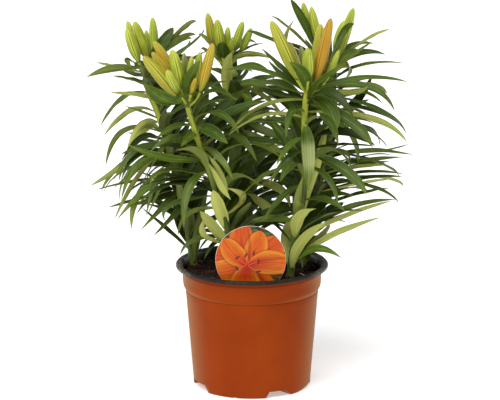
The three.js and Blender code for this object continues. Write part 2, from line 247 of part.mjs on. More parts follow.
  [4, 99.3, 49.5, 317.7, 163.9, 64, 331.9, 162.6, 66.4, 287.3, 11, 7.5, 15],
  [4, 99.5, 50.1, 320.5, 153.3, 74, 323, 174.6, 81.9, 283.6, 11, 8.9, 17.8],
  [4, 95.2, 48, 292.2, 158.3, 86.6, 272.9, 200.3, 60.5, 297.1, 11, -21.9, -17.1],
  [0, -77.6, 26.9, 167.7, -71.8, 55.3, 203.1, -90.6, 98.6, 209.7, 17, 3.3, 21.7],
  [0, -78.8, 27.4, 173.1, -96.8, 45.6, 210.2, -96.3, 91.9, 216, 17.3, -9.9, 30.8],
  [0, -76.2, 25.9, 178.5, -56, 42.9, 207.7, -15.3, 44.4, 214.6, 14.1, 6.4, 14.4],
  [0, -80.1, 22.7, 183.9, -80.3, 2.3, 220.7, -84.7, -35.3, 242, 17.8, 3, -16.3],
  [0, -82, 28.7, 189.3, -87.3, 49.7, 231.2, -109, 84.7, 256.8, 14.2, -4.1, 13.8],
  [0, -80.8, 29.3, 194.8, -72.3, 58.2, 218.7, -59, 96.5, 222.6, 15.6, 7.6, 2.3],
  [0, -80, 25.7, 200.2, -48.9, 14.2, 249, 1.7, -18.8, 253.9, 14.1, 7.5, 18.1],
  [0, -82.6, 30.2, 205.6, -66.4, 69.5, 237.1, -47.8, 121.3, 241, 17.4, 2.6, 21.2],
  [0, -84.5, 30.9, 211, -96.6, 67.7, 268.5, -76.4, 121.6, 227.2, 14.9, -0.4, 26.1],
  [0, -86.3, 26, 216.4, -89.3, 4.6, 254.2, -95.4, -35, 274.6, 13.6, -5.5, -36.6],
  [0, -86.4, 31.9, 221.8, -77.3, 70.2, 261.8, -63.9, 126.1, 269.5, 16.9, 11.2, -2.8],
  [0, -88.6, 32.5, 227.2, -88.6, 62, 258.3, -99, 105.6, 259.8, 17.2, -2.7, 1.4],
  [0, -87.4, 31.9, 232.6, -60, 40.5, 284.1, -24.1, 83.7, 305.5, 17.4, 10.7, 2.8],
  [0, -88.1, 30.5, 238, -46.1, 10.7, 261.5, 3.8, 17.4, 241.6, 16.1, -2.1, 35],
  [0, -91.1, 33.8, 243.4, -76.2, 48.3, 282.6, -70.2, 91.9, 294.2, 16.8, 0.4, -14.8],
  [0, -92.9, 34.4, 248.9, -102.8, 75.8, 310.4, -81.5, 126.7, 257.8, 15.1, 1.2, 26.2],
  [0, -94.5, 29.8, 254.3, -92.9, 1.5, 308.5, -93.9, -60.9, 308.2, 15.4, 9.7, -16.1],
  [0, -95.1, 35.3, 259.7, -101.3, 65.2, 299.8, -74.5, 105.4, 318.4, 17.8, 3.6, -31.7],
  [0, -97.5, 35.7, 265.1, -112.8, 55.3, 308.1, -106.8, 105.1, 316.6, 14.1, -3.7, -39.5],
  [0, -98.5, 31.4, 270.5, -103.5, 7.5, 316.6, -95.3, -45, 311.7, 17, -8.2, -35.9],
  [0, -98, 35.7, 275.9, -68.7, 39.3, 310.6, -41.6, 74.8, 325.3, 14.5, 8.9, 13.2],
  [0, -99.2, 35.7, 281.3, -78.4, 60.6, 330.5, -18.8, 67.8, 333.2, 17, -4.6, 25.1],
  [0, -100.5, 34.7, 286.7, -62.1, 24.7, 325.1, -22.1, 16.8, 285.4, 15.2, 2.4, 32.2],
  [0, -103.4, 37.8, 292.1, -93.5, 67, 338.2, -67.1, 117.1, 337.1, 16.6, -8.2, 10.9],
  [0, -104, 34.9, 297.6, -62.1, 23, 336.9, -20.9, -20.9, 335.6, 14.6, 8.9, 18.8],
  [0, -107, 34.4, 303, -116.7, 2.8, 353.2, -94.6, -53.8, 361.6, 13.9, -4.1, -15.2],
  [0, -107.4, 38.8, 308.4, -97.8, 67.8, 344, -57.9, 93.4, 353.1, 17.6, 5.8, 4.9],
  [0, -110.9, 39.8, 313.8, -115.4, 57.3, 349.6, -123.5, 93, 368.4, 14.4, -7.1, 23.1],
  [0, -110.3, 39.2, 319.2, -88.7, 64.6, 369.7, -32.7, 89.3, 362.2, 16.3, -3.7, -7],
  [0, -111.9, 37.6, 324.6, -78, 7.3, 361.5, -20.5, -8, 352.5, 14.5, 0.4, 16.4],
  [0, -113.5, 38.7, 330, -75.6, 23.5, 369.4, -19.3, 27, 355.4, 17.3, 9.5, -6.7],
  [0, -115.3, 39.9, 335.4, -94.5, 51.5, 371.9, -51.9, 56.8, 384.8, 15.4, 9.3, 32],
  [0, -117.6, 41.3, 340.8, -99.1, 61.9, 392.8, -57, 104.3, 392.1, 16.6, 11.8, 11.4],
  [0, -120.5, 42.1, 346.2, -121.3, 70.1, 390.2, -97.4, 117.5, 392.3, 17.4, -4.6, 21.7],
  [0, -121.6, 41.7, 351.7, -98.7, 54.9, 401.1, -53.8, 88.1, 412.3, 15.6, -7.7, -9.6],
  [0, -125.4, 39.1, 357.1, -137.5, 20.2, 398.9, -125.7, -26.4, 394.8, 12.7, -8, -21.3],
  [0, -128, 43.2, 362.5, -125.4, 72.9, 396.5, -148, 113.4, 394.5, 14, 0.8, -4.4],
  [0, -127.9, 42.5, 367.9, -114.2, 52.6, 411.3, -70, 68, 404.4, 13.2, -3.9, -5.2],
  [0, -129.8, 43.1, 373.3, -109.3, 47.2, 423.7, -79.8, 88.4, 401.8, 14.6, 0.2, -34.7],
  [0, -132.2, 40.2, 378.7, -139.2, 19, 420.5, -144.8, -27.9, 410.9, 13.9, -4.1, -25.2],
  [0, -131, 41.6, 384.1, -102.3, 45.9, 417.2, -61, 28.2, 412.4, 14.2, 8.9, 1.5],
  [1, -19.7, -17.4, 167.5, -24.1, 2.2, 202.9, -36.2, 42.7, 199.7, 17.5, 6.4, -3.7],
  [1, -19.3, -18.7, 172.5, -7, 10.3, 208.1, -1.6, 58.5, 218.5, 16.2, -1.2, 17.5],
  [1, -20.7, -20, 177.5, -16.8, 0.3, 218.1, -7.1, 44.1, 232.3, 13.6, -1.5, 19.5],
  [1, -22.5, -28.3, 187.5, 2, -43.3, 224, 14, -87.4, 239.9, 14.9, 0.7, 5.6],
  [1, -26.1, -24, 192.5, -24.7, 8.2, 245, -45.4, 67.7, 240.9, 15.9, -1.7, -35.5],
  [1, -24, -27.4, 197.5, 15.9, -27.9, 238.3, 65.2, 2.6, 227, 16.1, 11.9, 34.3],
  [1, -27, -32, 202.5, -7.4, -45, 240.5, -1.8, -87.4, 257.5, 15.3, 11.2, -1.2],
  [0, -113.8, 38.4, 318.5, -133.1, 43.1, 339.5, -157, 55.3, 291.2, 14, 27, 74.6],
  [1, -31.3, -29.9, 217.5, -15.2, 0.7, 252.8, 1.6, 47.8, 264.9, 14, 7.5, -5.1],
  [0, -108, 36.3, 297.6, -147.6, 38, 311.7, -173.6, 15.5, 260.5, 12, -14.1, -28.1],
  [1, -35.4, -33.1, 232.4, -25.7, -3.5, 271.1, 7.2, 35.5, 276.5, 17.7, -7.2, 0.4],
  [1, -39.6, -33.9, 237.4, -48.3, -6.7, 281.5, -73.2, 33.7, 255.7, 13.6, -3.3, 9],
  [1, -38.7, -34.7, 242.4, -24.5, -10.2, 290.9, -4.3, 39.3, 312.5, 15.2, 3.5, 39.2],
  [1, -39.3, -36.4, 247.4, -9.6, -27.8, 297.4, 28.8, 18.5, 296.5, 16.4, -11.5, 25.7],
  [1, -41.2, -40.9, 252.4, -20.6, -61.4, 306.9, 15.4, -102.8, 276, 15.7, -8.9, -34.5],
  [1, -47, -40.1, 257.4, -97.7, -41.9, 288.8, -141.3, -54, 246.6, 17.3, -9.2, 5.1],
  [1, -45.4, -37.9, 262.4, -34.8, -6.9, 304, -29.9, 47.2, 309.3, 17.8, -5.6, -12.5],
  [1, -44.8, -41.6, 267.4, -16.5, -30.9, 315.8, 37.2, -53.1, 321, 14, 6.9, 15.6],
  [1, -49.2, -39.4, 272.4, -63.1, -5.2, 326.1, -58.2, 58.1, 305.9, 14.5, 3, -14],
  [1, -49, -40.7, 277.4, -32.5, -18.8, 325, 0.4, 26.5, 320.6, 14.8, -0.8, -1.8],
  [1, -54.9, -45.9, 287.4, -66.4, -63.6, 328.3, -94, -101.8, 325.3, 17.9, -1.6, 35.9],
  [1, -52.6, -44.9, 292.4, -14.2, -48, 347, 38.5, -60, 305.3, 15.9, -10.3, 18],
  [1, -54.2, -44.6, 297.4, -33.1, -33.4, 340.8, 13.6, -28.5, 359.9, 15.3, 8.5, -0.9],
  [1, -56.7, -43.7, 302.4, -39.3, -11.4, 362.2, -6.1, 27.7, 312.3, 14.6, 2.7, -29.2],
  [1, -62.1, -46.5, 307.4, -112.3, -36.7, 330.6, -163, -56.8, 310.5, 16.9, -6.6, -12.2],
  [1, -59.7, -45.5, 312.4, -37.9, -23.8, 353.9, 8.1, 1.8, 361.2, 14.2, -2.4, 14.2],
  [1, -61.6, -48.8, 317.4, -20.8, -69.8, 363.6, 5.9, -102.8, 312.1, 15.6, -1.3, 14.2],
  [1, -63.5, -46.3, 322.4, -41.5, -28.4, 365.5, -7.9, 10.4, 378.7, 17.6, 11.6, 14.8],
  [1, -64.6, -48.7, 327.4, -16.4, -43.8, 357.1, 39.8, -59.9, 352, 16.8, -3.8, 8.3],
  [1, -66.4, -48.1, 332.4, -30.7, -33.9, 365.4, 19, -18.2, 370, 17.2, 6.8, 18.1],
  [1, -69.7, -47, 337.4, -74.9, -9.5, 373.7, -61.2, 42.1, 381.7, 17, 4.4, 20.9],
  [1, -70.4, -47.6, 342.4, -50.5, -28.6, 381.3, -37, 10.2, 355, 15, 2.7, 6.9],
  [1, -71.2, -50.8, 347.3, -54.2, -53.7, 391.6, -17, -83.8, 385.8, 13.1, 1, 31.9],
  [1, -72.8, -51.3, 352.3, -40.7, -71.2, 383.5, -15.6, -92.9, 345.3, 13.2, -1.1, 25.7],
  [1, -74.3, -51.3, 357.3, -57, -53.8, 407.3, -22.3, -90.6, 390, 13.9, 5.7, 20.8],
  [1, -76.3, -48.4, 362.3, -77.1, -36.7, 392.7, -58.1, -13.6, 407.2, 13.3, 11.9, -28.8],
  [1, -78.9, -52, 367.3, -87.3, -67.3, 399.9, -90.2, -101.6, 384.3, 13.6, 7.4, 19.8],
  [2, -9.1, 47.1, 167.8, 20, 45, 201.5, 65.2, 44.3, 213, 15.5, 7.6, -4.3],
  [2, -11.3, 50.2, 173.3, 14, 74.2, 204.9, 25.7, 120.7, 215.9, 13.6, 1.4, 10.4],
  [2, -10.8, 49.3, 178.8, 26, 55.9, 210, 62.9, 88.4, 197, 17.8, -6.7, -37.3],
  [2, -11.1, 48.3, 184.4, 11.4, 44.6, 224.6, 58.8, 46.4, 221, 17.4, 5.7, 6.7],
  [2, -12.1, 50.2, 189.9, 4.8, 72.8, 233.6, 54.1, 88.8, 220.6, 16.9, -1.5, 8.2],
  [2, -14.4, 51.9, 195.5, -3.7, 81, 241.2, 9.2, 136.4, 240.6, 17.9, 6.8, 12.1],
  [2, -13.1, 50.3, 201, 22.5, 71.2, 251.6, 78.2, 72.6, 214.1, 17.7, -0.9, 18.3],
  [2, -15.7, 52.8, 206.5, 8.2, 82.5, 251.9, 9.1, 143, 259.7, 17, 1.7, -34.1],
  [2, -17.5, 53.1, 212.1, -11.7, 82.5, 261.6, -31.9, 133.7, 283.5, 17.4, -0.2, 14.7],
  [2, -14.8, 50.6, 217.6, 12.6, 42.9, 246.5, 54.7, 45.7, 251.7, 14.3, 2.2, 34.1],
  [2, -15.8, 52.8, 223.1, 11.4, 64.7, 266.4, 48.1, 98.4, 287.2, 17.6, 3.7, 34],
  [2, -17.6, 54.1, 228.7, -10.6, 75.7, 270.5, 5.2, 119.3, 286.2, 15.3, 4.6, 32.9],
  [2, -17.3, 54, 234.2, 4.1, 76.8, 289.6, 39.8, 120.8, 258, 13.7, -0.9, -8.2],
  [2, -21.9, 53.1, 239.7, -64.6, 55.8, 275.7, -116, 81.5, 269.2, 17.6, -2.4, 5.9],
  [2, -21.4, 50.6, 245.3, -27.7, 28.2, 289.9, -63.4, -8.9, 287.9, 17.6, -4.2, 0.4],
  [2, -17.9, 52.5, 250.8, 31.1, 48, 270.7, 76.9, 30.2, 245.1, 17.1, -0.8, 24.5],
  [2, -18.3, 53.1, 256.4, 8.2, 58.8, 307.5, 64.7, 41.6, 310.7, 14.8, 4.7, 26.6],
  [2, -19, 54.8, 261.9, 9.6, 56.1, 316.6, 63.6, 87.4, 308.7, 15.4, 1.4, 6.3],
  [2, -19.8, 55.6, 267.4, 16.6, 95.6, 297.5, 66.9, 115.7, 263.4, 16.4, 8.4, 13.8],
  [2, -19.9, 55.3, 273, 1.3, 66, 318.7, 47.8, 75.6, 341.6, 14.5, 2.9, -30.2],
  [2, -21.4, 57, 278.5, -5.8, 87.7, 325.5, 27.4, 137.3, 327.1, 14.3, 7.8, 12.5],
  [2, -22.6, 57.7, 284, -27.2, 81.8, 320.5, -10.5, 119.4, 339.1, 17.5, -0.4, 8.6],
  [2, -25.6, 56.8, 289.6, -59.5, 86.4, 328.9, -116.5, 105.4, 315.9, 17.6, -9.8, 10.5],
  [2, -22.2, 57.3, 295.1, 2, 77.9, 327.4, 40.7, 102.9, 319.1, 16.5, -10.7, -13.8],
  [2, -22.6, 57.7, 300.7, 7.1, 88.1, 356.3, 53.5, 114.7, 309.1, 16.3, 10, -22],
  [2, -25, 54.5, 306.2, -11.7, -6.9, 337.2, -30.2, -31.6, 272.2, 17.8, 2.7, -37.1],
  [2, -24.6, 59.2, 311.7, -10.3, 93.1, 352.9, 0.3, 148, 362.1, 14, -10.6, -8.8],
  [2, -25.2, 59.6, 317.3, -34.4, 94.1, 361.6, -8.2, 145.2, 371.7, 13.6, -1.5, -33.4],
  [2, -24.8, 56.1, 322.8, 14.8, 27.9, 344.6, 36.6, -19.4, 326.4, 16.9, -0.1, -5.6],
  [2, -26.7, 60.1, 328.3, -30.4, 83, 364.5, -31.4, 126.2, 373.4, 14.6, -9.7, 25.3],
  [2, -26.9, 56.2, 333.9, -17.9, 33.1, 381.4, -23.4, -18.7, 397.5, 16.7, 4.2, -14.4],
  [2, -25.7, 59.7, 339.4, -12.4, 83.6, 379.5, 35, 97.7, 376.3, 15.3, 7.9, 16.4],
  [2, -29.4, 60.3, 344.9, -62.6, 69.2, 403.1, -99.7, 124.1, 385.8, 17.9, -6.6, -6.8],
  [2, -28.3, 57.2, 350.5, -37.1, 34.6, 402.4, -24.8, -14.6, 430.7, 14.1, -6.2, -2.3],
  [2, -28.9, 61.2, 356, -22.4, 85, 404.4, -33.6, 137.2, 418.4, 16, -5.5, 13.6],
  [2, -31.2, 59.4, 361.6, -55.8, 51.4, 386.2, -83.4, 55.8, 361.8, 12.4, -3.7, -31.8],
  [2, -27.9, 59.3, 367.1, 2.4, 41.6, 393.4, 29.7, 44.4, 357.3, 15, 11, 34.9],
  [2, -30.5, 61.8, 372.6, -25.4, 82, 411.5, -40.1, 124.3, 415.5, 12.1, 4.6, -24.6],
  [2, -31.2, 61.7, 378.2, -25.4, 80.4, 414.9, -45.8, 117.1, 420.3, 13.9, 2.4, -24.5],
  [2, -33, 59.6, 383.7, -57.5, 56, 404.7, -86.6, 45.3, 391.1, 14.8, -2.4, 2.8],
  [2, -32.3, 61.7, 389.2, -43.8, 75.1, 426, -45.8, 116.4, 429.5, 14.6, -3.6, -19.6],
  [3, 51.8, -33.8, 167.6, 61.2, -15.5, 202.3, 91.4, 13.7, 199.3, 16.2, 6.3, 16.7],
  [3, 52, -34, 172.9, 71.7, 1.2, 192.6, 100.4, 37.5, 180.3, 14.5, 5.7, 13.7],
  [3, 52.6, -34.4, 178.1, 79.8, -19.1, 217.6, 93.8, 30.9, 221.4, 14.3, 10.9, -18.6],
  [3, 53.5, -34.9, 183.4, 71.1, -22.7, 214.1, 85, 10.3, 230.4, 14.3, -9.1, -5.1],
  [3, 54.7, -35.7, 188.6, 72.5, -22.7, 228.1, 102.3, 11.2, 241.2, 17.8, 4.9, -0.3],
  [3, 54.7, -42, 199.1, 52, -72, 243.7, 78.8, -118.8, 257.1, 17.3, -0.3, -8.7],
  [3, 57.7, -40.2, 204.3, 87.7, -52.2, 242.9, 138.2, -66, 241.2, 17.4, 7.9, -10.7],
  [3, 55.6, -42.8, 209.6, 62.3, -62, 244, 55.1, -98.3, 262.8, 15.1, 2.2, -26.8],
  [3, 56.9, -36.9, 214.8, 57.4, -13.3, 260.7, 63.7, 37.3, 275.2, 15, -5.5, 0.9],
  [3, 60.5, -39.4, 220.1, 80.2, -20.4, 260.5, 129.1, -18.4, 248.5, 14.9, 0.4, 27.2],
  [0, -103.6, 33.9, 282.3, -148.3, 10.7, 305.9, -164.8, 8.7, 234.9, 12, -12.1, -24.3],
  [3, 59.9, -38.1, 230.6, 69.4, -16.3, 274, 74.3, 33.6, 283.6, 15.9, -7.1, 13.5],
  [3, 58.9, -39.4, 241.1, 35.6, -5.7, 295.4, -0.8, 20.8, 241.9, 14.5, -6.1, 1.7],
  [3, 60.9, -39, 246.3, 66, -4.1, 303.5, 31.4, 50.5, 280.4, 14.7, -5.5, 0.7],
  [1, -59.7, -46.7, 301.1, -116.2, -80.9, 306.7, -154, -71.7, 327.4, 12, -27, -21],
  [3, 63.2, -39.5, 256.8, 70.1, -3, 316.5, 58.3, 57.7, 280, 13.6, -8.2, -37.4],
  [3, 63.8, -39.7, 262.1, 73, -15.5, 306.1, 63, 35, 316.8, 16.8, 10.2, 10.7],
  [0, -96.8, 31, 255.7, -123.7, 10.5, 270.4, -171.2, 6.8, 209.4, 12, -13.5, -27.1],
  [3, 64.8, -40.1, 272.5, 52.5, -13.6, 316.6, 58.3, 40.5, 317, 14.9, -6, 5.2],
  [3, 64.3, -45.8, 277.8, 53.6, -71.6, 326.4, 34, -110.1, 288.4, 16, -9.3, -20.4],
  [3, 67.4, -40.9, 283, 68.9, -15.5, 321.6, 100.8, 16.4, 337, 16.7, 10.6, 22.5],
  [3, 64.2, -41.5, 288.3, 38.3, -35.3, 328.3, 16.7, 3.7, 349.6, 15.7, -9.3, -5.1],
  [3, 67.9, -45.8, 293.5, 104, -70.8, 342.5, 123, -124.3, 306.1, 15.7, -7.7, -39.1],
  [3, 67.1, -41, 298.8, 77.3, -22.6, 335.4, 79.5, 20.5, 341.6, 18, -4.7, -6],
  [3, 65.8, -41.2, 304, 59, -20.3, 343.3, 43.4, 20.6, 358.7, 13.9, 9, -12.3],
  [3, 66.5, -41.5, 314.5, 79.1, -14.2, 365.2, 61.9, 43.3, 368.1, 17.8, -3.4, 14],
  [3, 68.6, -44.8, 325, 111.1, -46.1, 350.5, 152.6, -58.3, 321.8, 16.8, 5.9, 31.2],
  [3, 67.8, -43.1, 330.3, 104.2, -27.8, 380.4, 144.2, 9.8, 344.9, 14.7, 4.7, -35.6],
  [3, 64.6, -42.3, 335.5, 41.6, -11.1, 385.8, 38.1, 45.1, 353.2, 13.7, -10.8, 38.8],
  [3, 66.4, -42.6, 340.7, 65.6, -22.8, 390.9, 95.7, 16.5, 414.6, 14.9, -2.8, -14.9],
  [3, 66.5, -47.1, 346, 92.7, -85.4, 384.5, 105.2, -124.6, 337.9, 15.1, 4.5, -11.2],
  [3, 67.6, -43.7, 351.2, 87.9, -40.4, 381.5, 112.1, -18.6, 362, 14.1, -6.9, 26.4],
  [3, 63.8, -43.2, 356.5, 53, -24.6, 397.8, 17.3, 6.4, 390.8, 14.3, 0, -34.3],
  [3, 64.5, -47.3, 361.7, 44.1, -82.8, 387.1, 41.5, -102, 340.7, 12.2, -4.6, 19.4],
  [3, 67.7, -43.7, 367, 79.6, -35.1, 404.4, 114.3, -13, 405.1, 11.7, 10.9, -4],
  [3, 68, -46.4, 372.2, 94.3, -75.8, 416.1, 124.3, -89.4, 365.3, 14.6, 11.3, 35.8],
  [3, 68.7, -46, 377.5, 81.7, -60.1, 408.8, 114.9, -68.1, 425.2, 14.8, -11.6, -24.8],
  [4, 65.4, 30.5, 167.7, 69.6, -2, 181.3, 62.8, -31.2, 157.6, 16.3, 2.6, -23.3],
  [4, 70.1, 33.8, 173.2, 89.7, 32.8, 206.8, 127.8, 21.8, 215.3, 14, 10, 1.2],
  [4, 70.6, 33.1, 178.7, 81.4, 10.2, 220.6, 118.6, -23.6, 215.4, 14.6, -4.6, -8.8],
  [4, 67.3, 35.6, 184.2, 38.2, 33.7, 210.2, -0.2, 23.9, 199.1, 15.9, 9.9, 34.3],
  [4, 73.7, 38.9, 189.7, 96, 52.5, 212.2, 117.6, 82, 214.9, 17.4, -1.4, 32.8],
  [4, 74.6, 40.1, 195.2, 80.1, 66, 240.5, 115.4, 105, 252.4, 13.5, 7.4, -28.2],
  [4, 72.4, 40.3, 200.6, 38.3, 72.8, 224.1, -2, 104.4, 203.4, 14.8, -6.3, -25.7],
  [4, 76.6, 41.8, 206.1, 77, 66, 249.8, 93.6, 114.3, 245.3, 14, -8.7, -31.1],
  [4, 77, 36.9, 211.6, 88.2, 11.1, 240.7, 74, -28, 247.6, 14.5, -2.3, 23.6],
  [4, 77.5, 42.7, 217.1, 48.1, 76.6, 254.3, 43.4, 136.6, 252.7, 15.7, -3.3, -13.3],
  [4, 81.6, 42.6, 222.6, 124.3, 66.6, 250.3, 150.7, 109.6, 220.6, 15.8, -9, -11.2],
  [4, 82.7, 43.2, 228.1, 114.4, 65.8, 265.9, 138, 102.2, 230.2, 16.4, 11.7, -28.7],
  [4, 82.8, 39.3, 233.5, 83.2, 3.8, 270.9, 108.2, -42.2, 261.3, 17.8, -2.8, -6.8],
  [4, 82.8, 44.7, 239, 87.5, 82.9, 255.9, 73.5, 115.3, 229.2, 17.8, -8.5, -30.4],
  [4, 84.9, 45.1, 244.5, 90.3, 72.8, 292.7, 106.9, 123.3, 313.7, 17.9, -10.4, 2.3],
  [4, 86.9, 45.1, 250, 107.7, 75.3, 281.2, 138.3, 110.2, 262.5, 16.4, 6.5, -33],
  [4, 84.2, 44.9, 255.5, 52, 78, 281.6, 23.5, 79.5, 234.3, 17.1, -6.7, 19.5],
  [4, 85.2, 43.7, 261, 51.2, 51.2, 291.8, 10.4, 33.1, 273.6, 14.9, -11.5, 16.1],
  [4, 87.1, 46.5, 266.5, 63.4, 62.1, 312, 37.3, 109, 300.4, 17.5, -6.3, -38.7],
  [4, 90.1, 42.7, 271.9, 99.1, 17.5, 311.1, 104.7, -30.1, 320.7, 15.6, 4.1, -36],
  [4, 90.8, 48, 277.4, 101.7, 76.6, 326.3, 97.1, 133.8, 340.2, 16.3, 2.4, -11],
  [4, 89.3, 46.4, 282.9, 66.7, 55, 328.3, 14.2, 56.3, 331.5, 17.4, -7.9, -38],
  [4, 93.9, 48.5, 288.4, 105.6, 71, 321.3, 127.4, 106.5, 331.7, 14.8, 10.4, -17.8],
  [4, 92.2, 48.8, 293.9, 84.4, 76.3, 331.6, 46.7, 105.1, 342.4, 13.6, 2, 6.3],
  [4, 94.7, 45.3, 299.4, 99.2, 12.1, 329.8, 102, -34.8, 329.7, 16.1, 0.9, -24.6],
  [4, 96.8, 49.7, 304.8, 111.8, 82.9, 337.7, 150.7, 115.1, 342.3, 13.9, -5.8, 34.5],
  [4, 94.2, 49.5, 310.3, 54.8, 62.9, 338, 26.2, 85.8, 301.3, 16.9, 11.3, 30.9],
  [4, 97.1, 46.6, 315.8, 108.8, 15.2, 358.4, 98.3, -38.7, 366.7, 15.6, -10.7, 10.3],
  [4, 96.4, 50.9, 321.3, 74.1, 62.9, 368.8, 48.7, 108.2, 386.2, 16.2, -2.5, 28],
  [4, 97.8, 47.7, 326.8, 103.5, 19.9, 377.4, 77.4, -33, 375.4, 15.2, 3, -36.2],
  [4, 99.3, 52.2, 332.3, 94.8, 89.2, 359.1, 112.3, 132.6, 350.5, 15.4, 8.1, -19.9],
  [4, 99.4, 52.6, 337.7, 84, 77.4, 381.4, 93, 126.1, 401.8, 16.1, -2.3, -36.1],
  [4, 100.4, 48.9, 343.2, 91, 18, 385, 105.8, -32.5, 397, 14.7, -5.1, 32.6],
  [4, 100, 53.1, 348.7, 102.4, 70.2, 404.3, 87.5, 123.1, 425, 15.7, -7.6, -14.9],
  [4, 98.4, 52, 354.2, 82.8, 47, 397, 48.8, 65.7, 422.7, 15.5, -6.3, 6.8],
  [4, 102.1, 51.4, 359.7, 123, 39.1, 388.4, 161.4, 42.8, 385.3, 13.8, 12, -31.8],
  [4, 99.7, 50, 365.2, 98.2, 41.6, 396, 91, 17.1, 416.4, 13.2, -9, -12.8],
  [4, 99.1, 53.7, 370.6, 80.3, 66.4, 407.9, 66.9, 105.3, 424.7, 12.5, 0.3, 10.5],
  [4, 99.7, 53.9, 376.1, 91.8, 67.1, 411.7, 101.3, 102.9, 424.9, 12.3, -0.9, -3.5],
  [4, 97, 52.1, 381.6, 78, 60.2, 411.1, 42.7, 50.1, 415.2, 15.3, -9.2, -22],
  [4, 96.3, 51.6, 387.1, 73.5, 53, 422.3, 37.8, 33, 434.7, 13.4, 11.3, 22.4],
  [0, -98.2, 35.6, 265.5, -136.4, 81, 296.8, -138.7, 134.8, 253.6, 12.1, 3.4, -19.7],
  [0, -108.4, 34.7, 302.5, -133.4, -8, 342.9, -162.3, -47.9, 299.5, 10.5, -10.8, -37.3],
  [0, -106.3, 37.7, 294.6, -144.1, 65.9, 311.7, -155.6, 105.4, 279.8, 11.8, -8.3, 10],
  [0, -99.9, 35.7, 270, -118.3, 70.2, 275.8, -136.9, 85.8, 241.8, 10.7, -3.3, -12.1],
  [0, -86.5, 29.7, 209.7, -109.5, 48.4, 258.6, -155.4, 84.8, 256.6, 12.1, 12, -4.9],
  [3, 63.5, -43.3, 346.8, 47.1, -30.4, 384.1, 13.3, -2.2, 383.1, 11.6, -9.8, -30.7],
  [0, -93.2, 31.6, 238.3, -130.8, 31, 271.8, -158.8, 50.5, 232.4, 11.5, 2.1, 25.9],
  [1, -20, -23.1, 182.7, 3.1, -5.4, 225.8, 47.5, 7.8, 198.6, 10.5, -3.2, 38],
  [1, -60.6, -45.7, 302.9, -116, -27.5, 320.4, -154, -42.8, 272.5, 12.3, 6.6, 25.2],
  [2, -24.7, 59, 328.3, 9.5, 78.2, 388.3, 62.5, 105, 346.1, 11.2, 11.2, 32.3],
  [0, -84, 29, 197.4, -112.5, 51.9, 224.8, -139, 91.8, 221.3, 10.2, -11.1, -28.9],
  [3, 49.9, -37, 192.6, 21.3, -38.9, 227.8, -12.2, -8.4, 241.5, 9.8, 10, -17.9],
  [0, -85.3, 28.7, 201.7, -101.7, 55.9, 247.5, -157.1, 69.9, 247.8, 10.8, -1, -2],
  [3, 64.2, -43.4, 307.5, 11.4, -46.5, 338.3, -44.9, -27, 316.5, 12.1, 0, -37.7],
  [0, -109.4, 35.9, 302.7, -157.1, 12.6, 311.3, -168.1, 16.7, 256.6, 9.7, 10.7, -37.9],
  [1, -51.6, -42, 272.7, -95.7, -45.5, 282.8, -140.7, -42.8, 266.6, 9.6, 11.5, -28.4],
  [2, -24.3, 58.7, 323, 23.9, 73.7, 359.9, 53, 102.9, 310.7, 9.5, -4.3, 34.5],
  [0, -105.5, 36.7, 289.8, -136.7, 59, 298.4, -164.7, 75.2, 272.5, 11.9, 4.9, -27.4],
  [2, -24.4, 58.2, 327.6, 14.7, 66.1, 376.1, 67.2, 71, 339.5, 10.1, 8.6, -2.1],
  [3, 67.6, -41.1, 277.5, 85.1, -3.7, 303, 130, 19.7, 307.4, 11.4, 5.7, -39.3],
  [1, -18.2, -20.3, 174.6, 8.9, 15.9, 186.2, 51.5, 35.5, 170.3, 11.2, 9.2, -28.9],
  [2, -15.4, 49.6, 176.5, -58.8, 67.4, 185.7, -85.9, 106.5, 168.1, 11.2, -4.3, -19.1],
  [2, -25.7, 58, 299.8, -41.1, 81.7, 329.6, -69.3, 111.8, 319, 11.6, -7.1, 24.4],
  [4, 102.3, 51.1, 346.9, 131.7, 51.4, 384.5, 166.3, 49.3, 350.1, 12, 7, 16.3],
  [4, 82.5, 41.8, 224.3, 112.2, 55.7, 253.3, 153.8, 68.4, 238.8, 10.9, -1.4, 16.4],
  [3, 69, -44, 319, 101.4, -47.5, 370.7, 156.7, -37.1, 343.4, 10.5, 5.7, 5.4],
  [4, 87.8, 44.6, 251.3, 132, 63.7, 290.8, 181.5, 100, 272.2, 11.2, -4, -23.6],
  [2, -14.8, 45.5, 180.3, -48.2, 9.7, 191.5, -59.5, -37.9, 171.4, 10.7, -5.1, 20.6],
  [1, -52.1, -41.3, 275, -78.3, -17.2, 319.5, -133, -6.3, 337.7, 11.9, -1.1, -21.5],
  [3, 69.2, -43.6, 313.6, 112.1, -44.5, 324.4, 155.6, -30.5, 314.3, 10.5, -0.2, 5.2],
  [4, 98.9, 52.9, 355.5, 69.1, 64, 407.4, 36.8, 115.9, 416.6, 9.6, 1.1, -19.2],
  [1, -27.6, -24.9, 193, -48.3, 9.7, 203.6, -68.5, 19.8, 165.2, 10.8, -1, -4.5],
  [3, 63.6, -43.1, 340.2, 34.5, -21.4, 392.3, -7.5, 25.4, 376.2, 11.7, -10.5, -19.9],
  [0, -84.7, 28.9, 199.9, -125.6, 46.2, 229.6, -158.3, 86.9, 210.1, 11.2, 0.6, 18.1],
  [0, -105.3, 34.6, 287.4, -150, 25.1, 307.8, -164.9, 16, 258.5, 12.4, -11.5, -7.1],
  [1, -47.7, -39.5, 259.9, -86, -43.1, 284.8, -127.7, -20.7, 277.5, 9.5, 0.2, -32.3],
  [2, -27.9, 61, 354, -20.6, 88.6, 399.1, 1.6, 131.4, 374.2, 12, -0.3, -13.3],
  [0, -97.6, 31.2, 259.9, -121.8, 8.3, 284.3, -132.9, -11.6, 219.3, 12, 2.7, 5.4],
  [0, -100.6, 34.5, 269.7, -129.9, 44.5, 289.6, -178.7, 79.9, 231.6, 12, -22.1, -17.2],
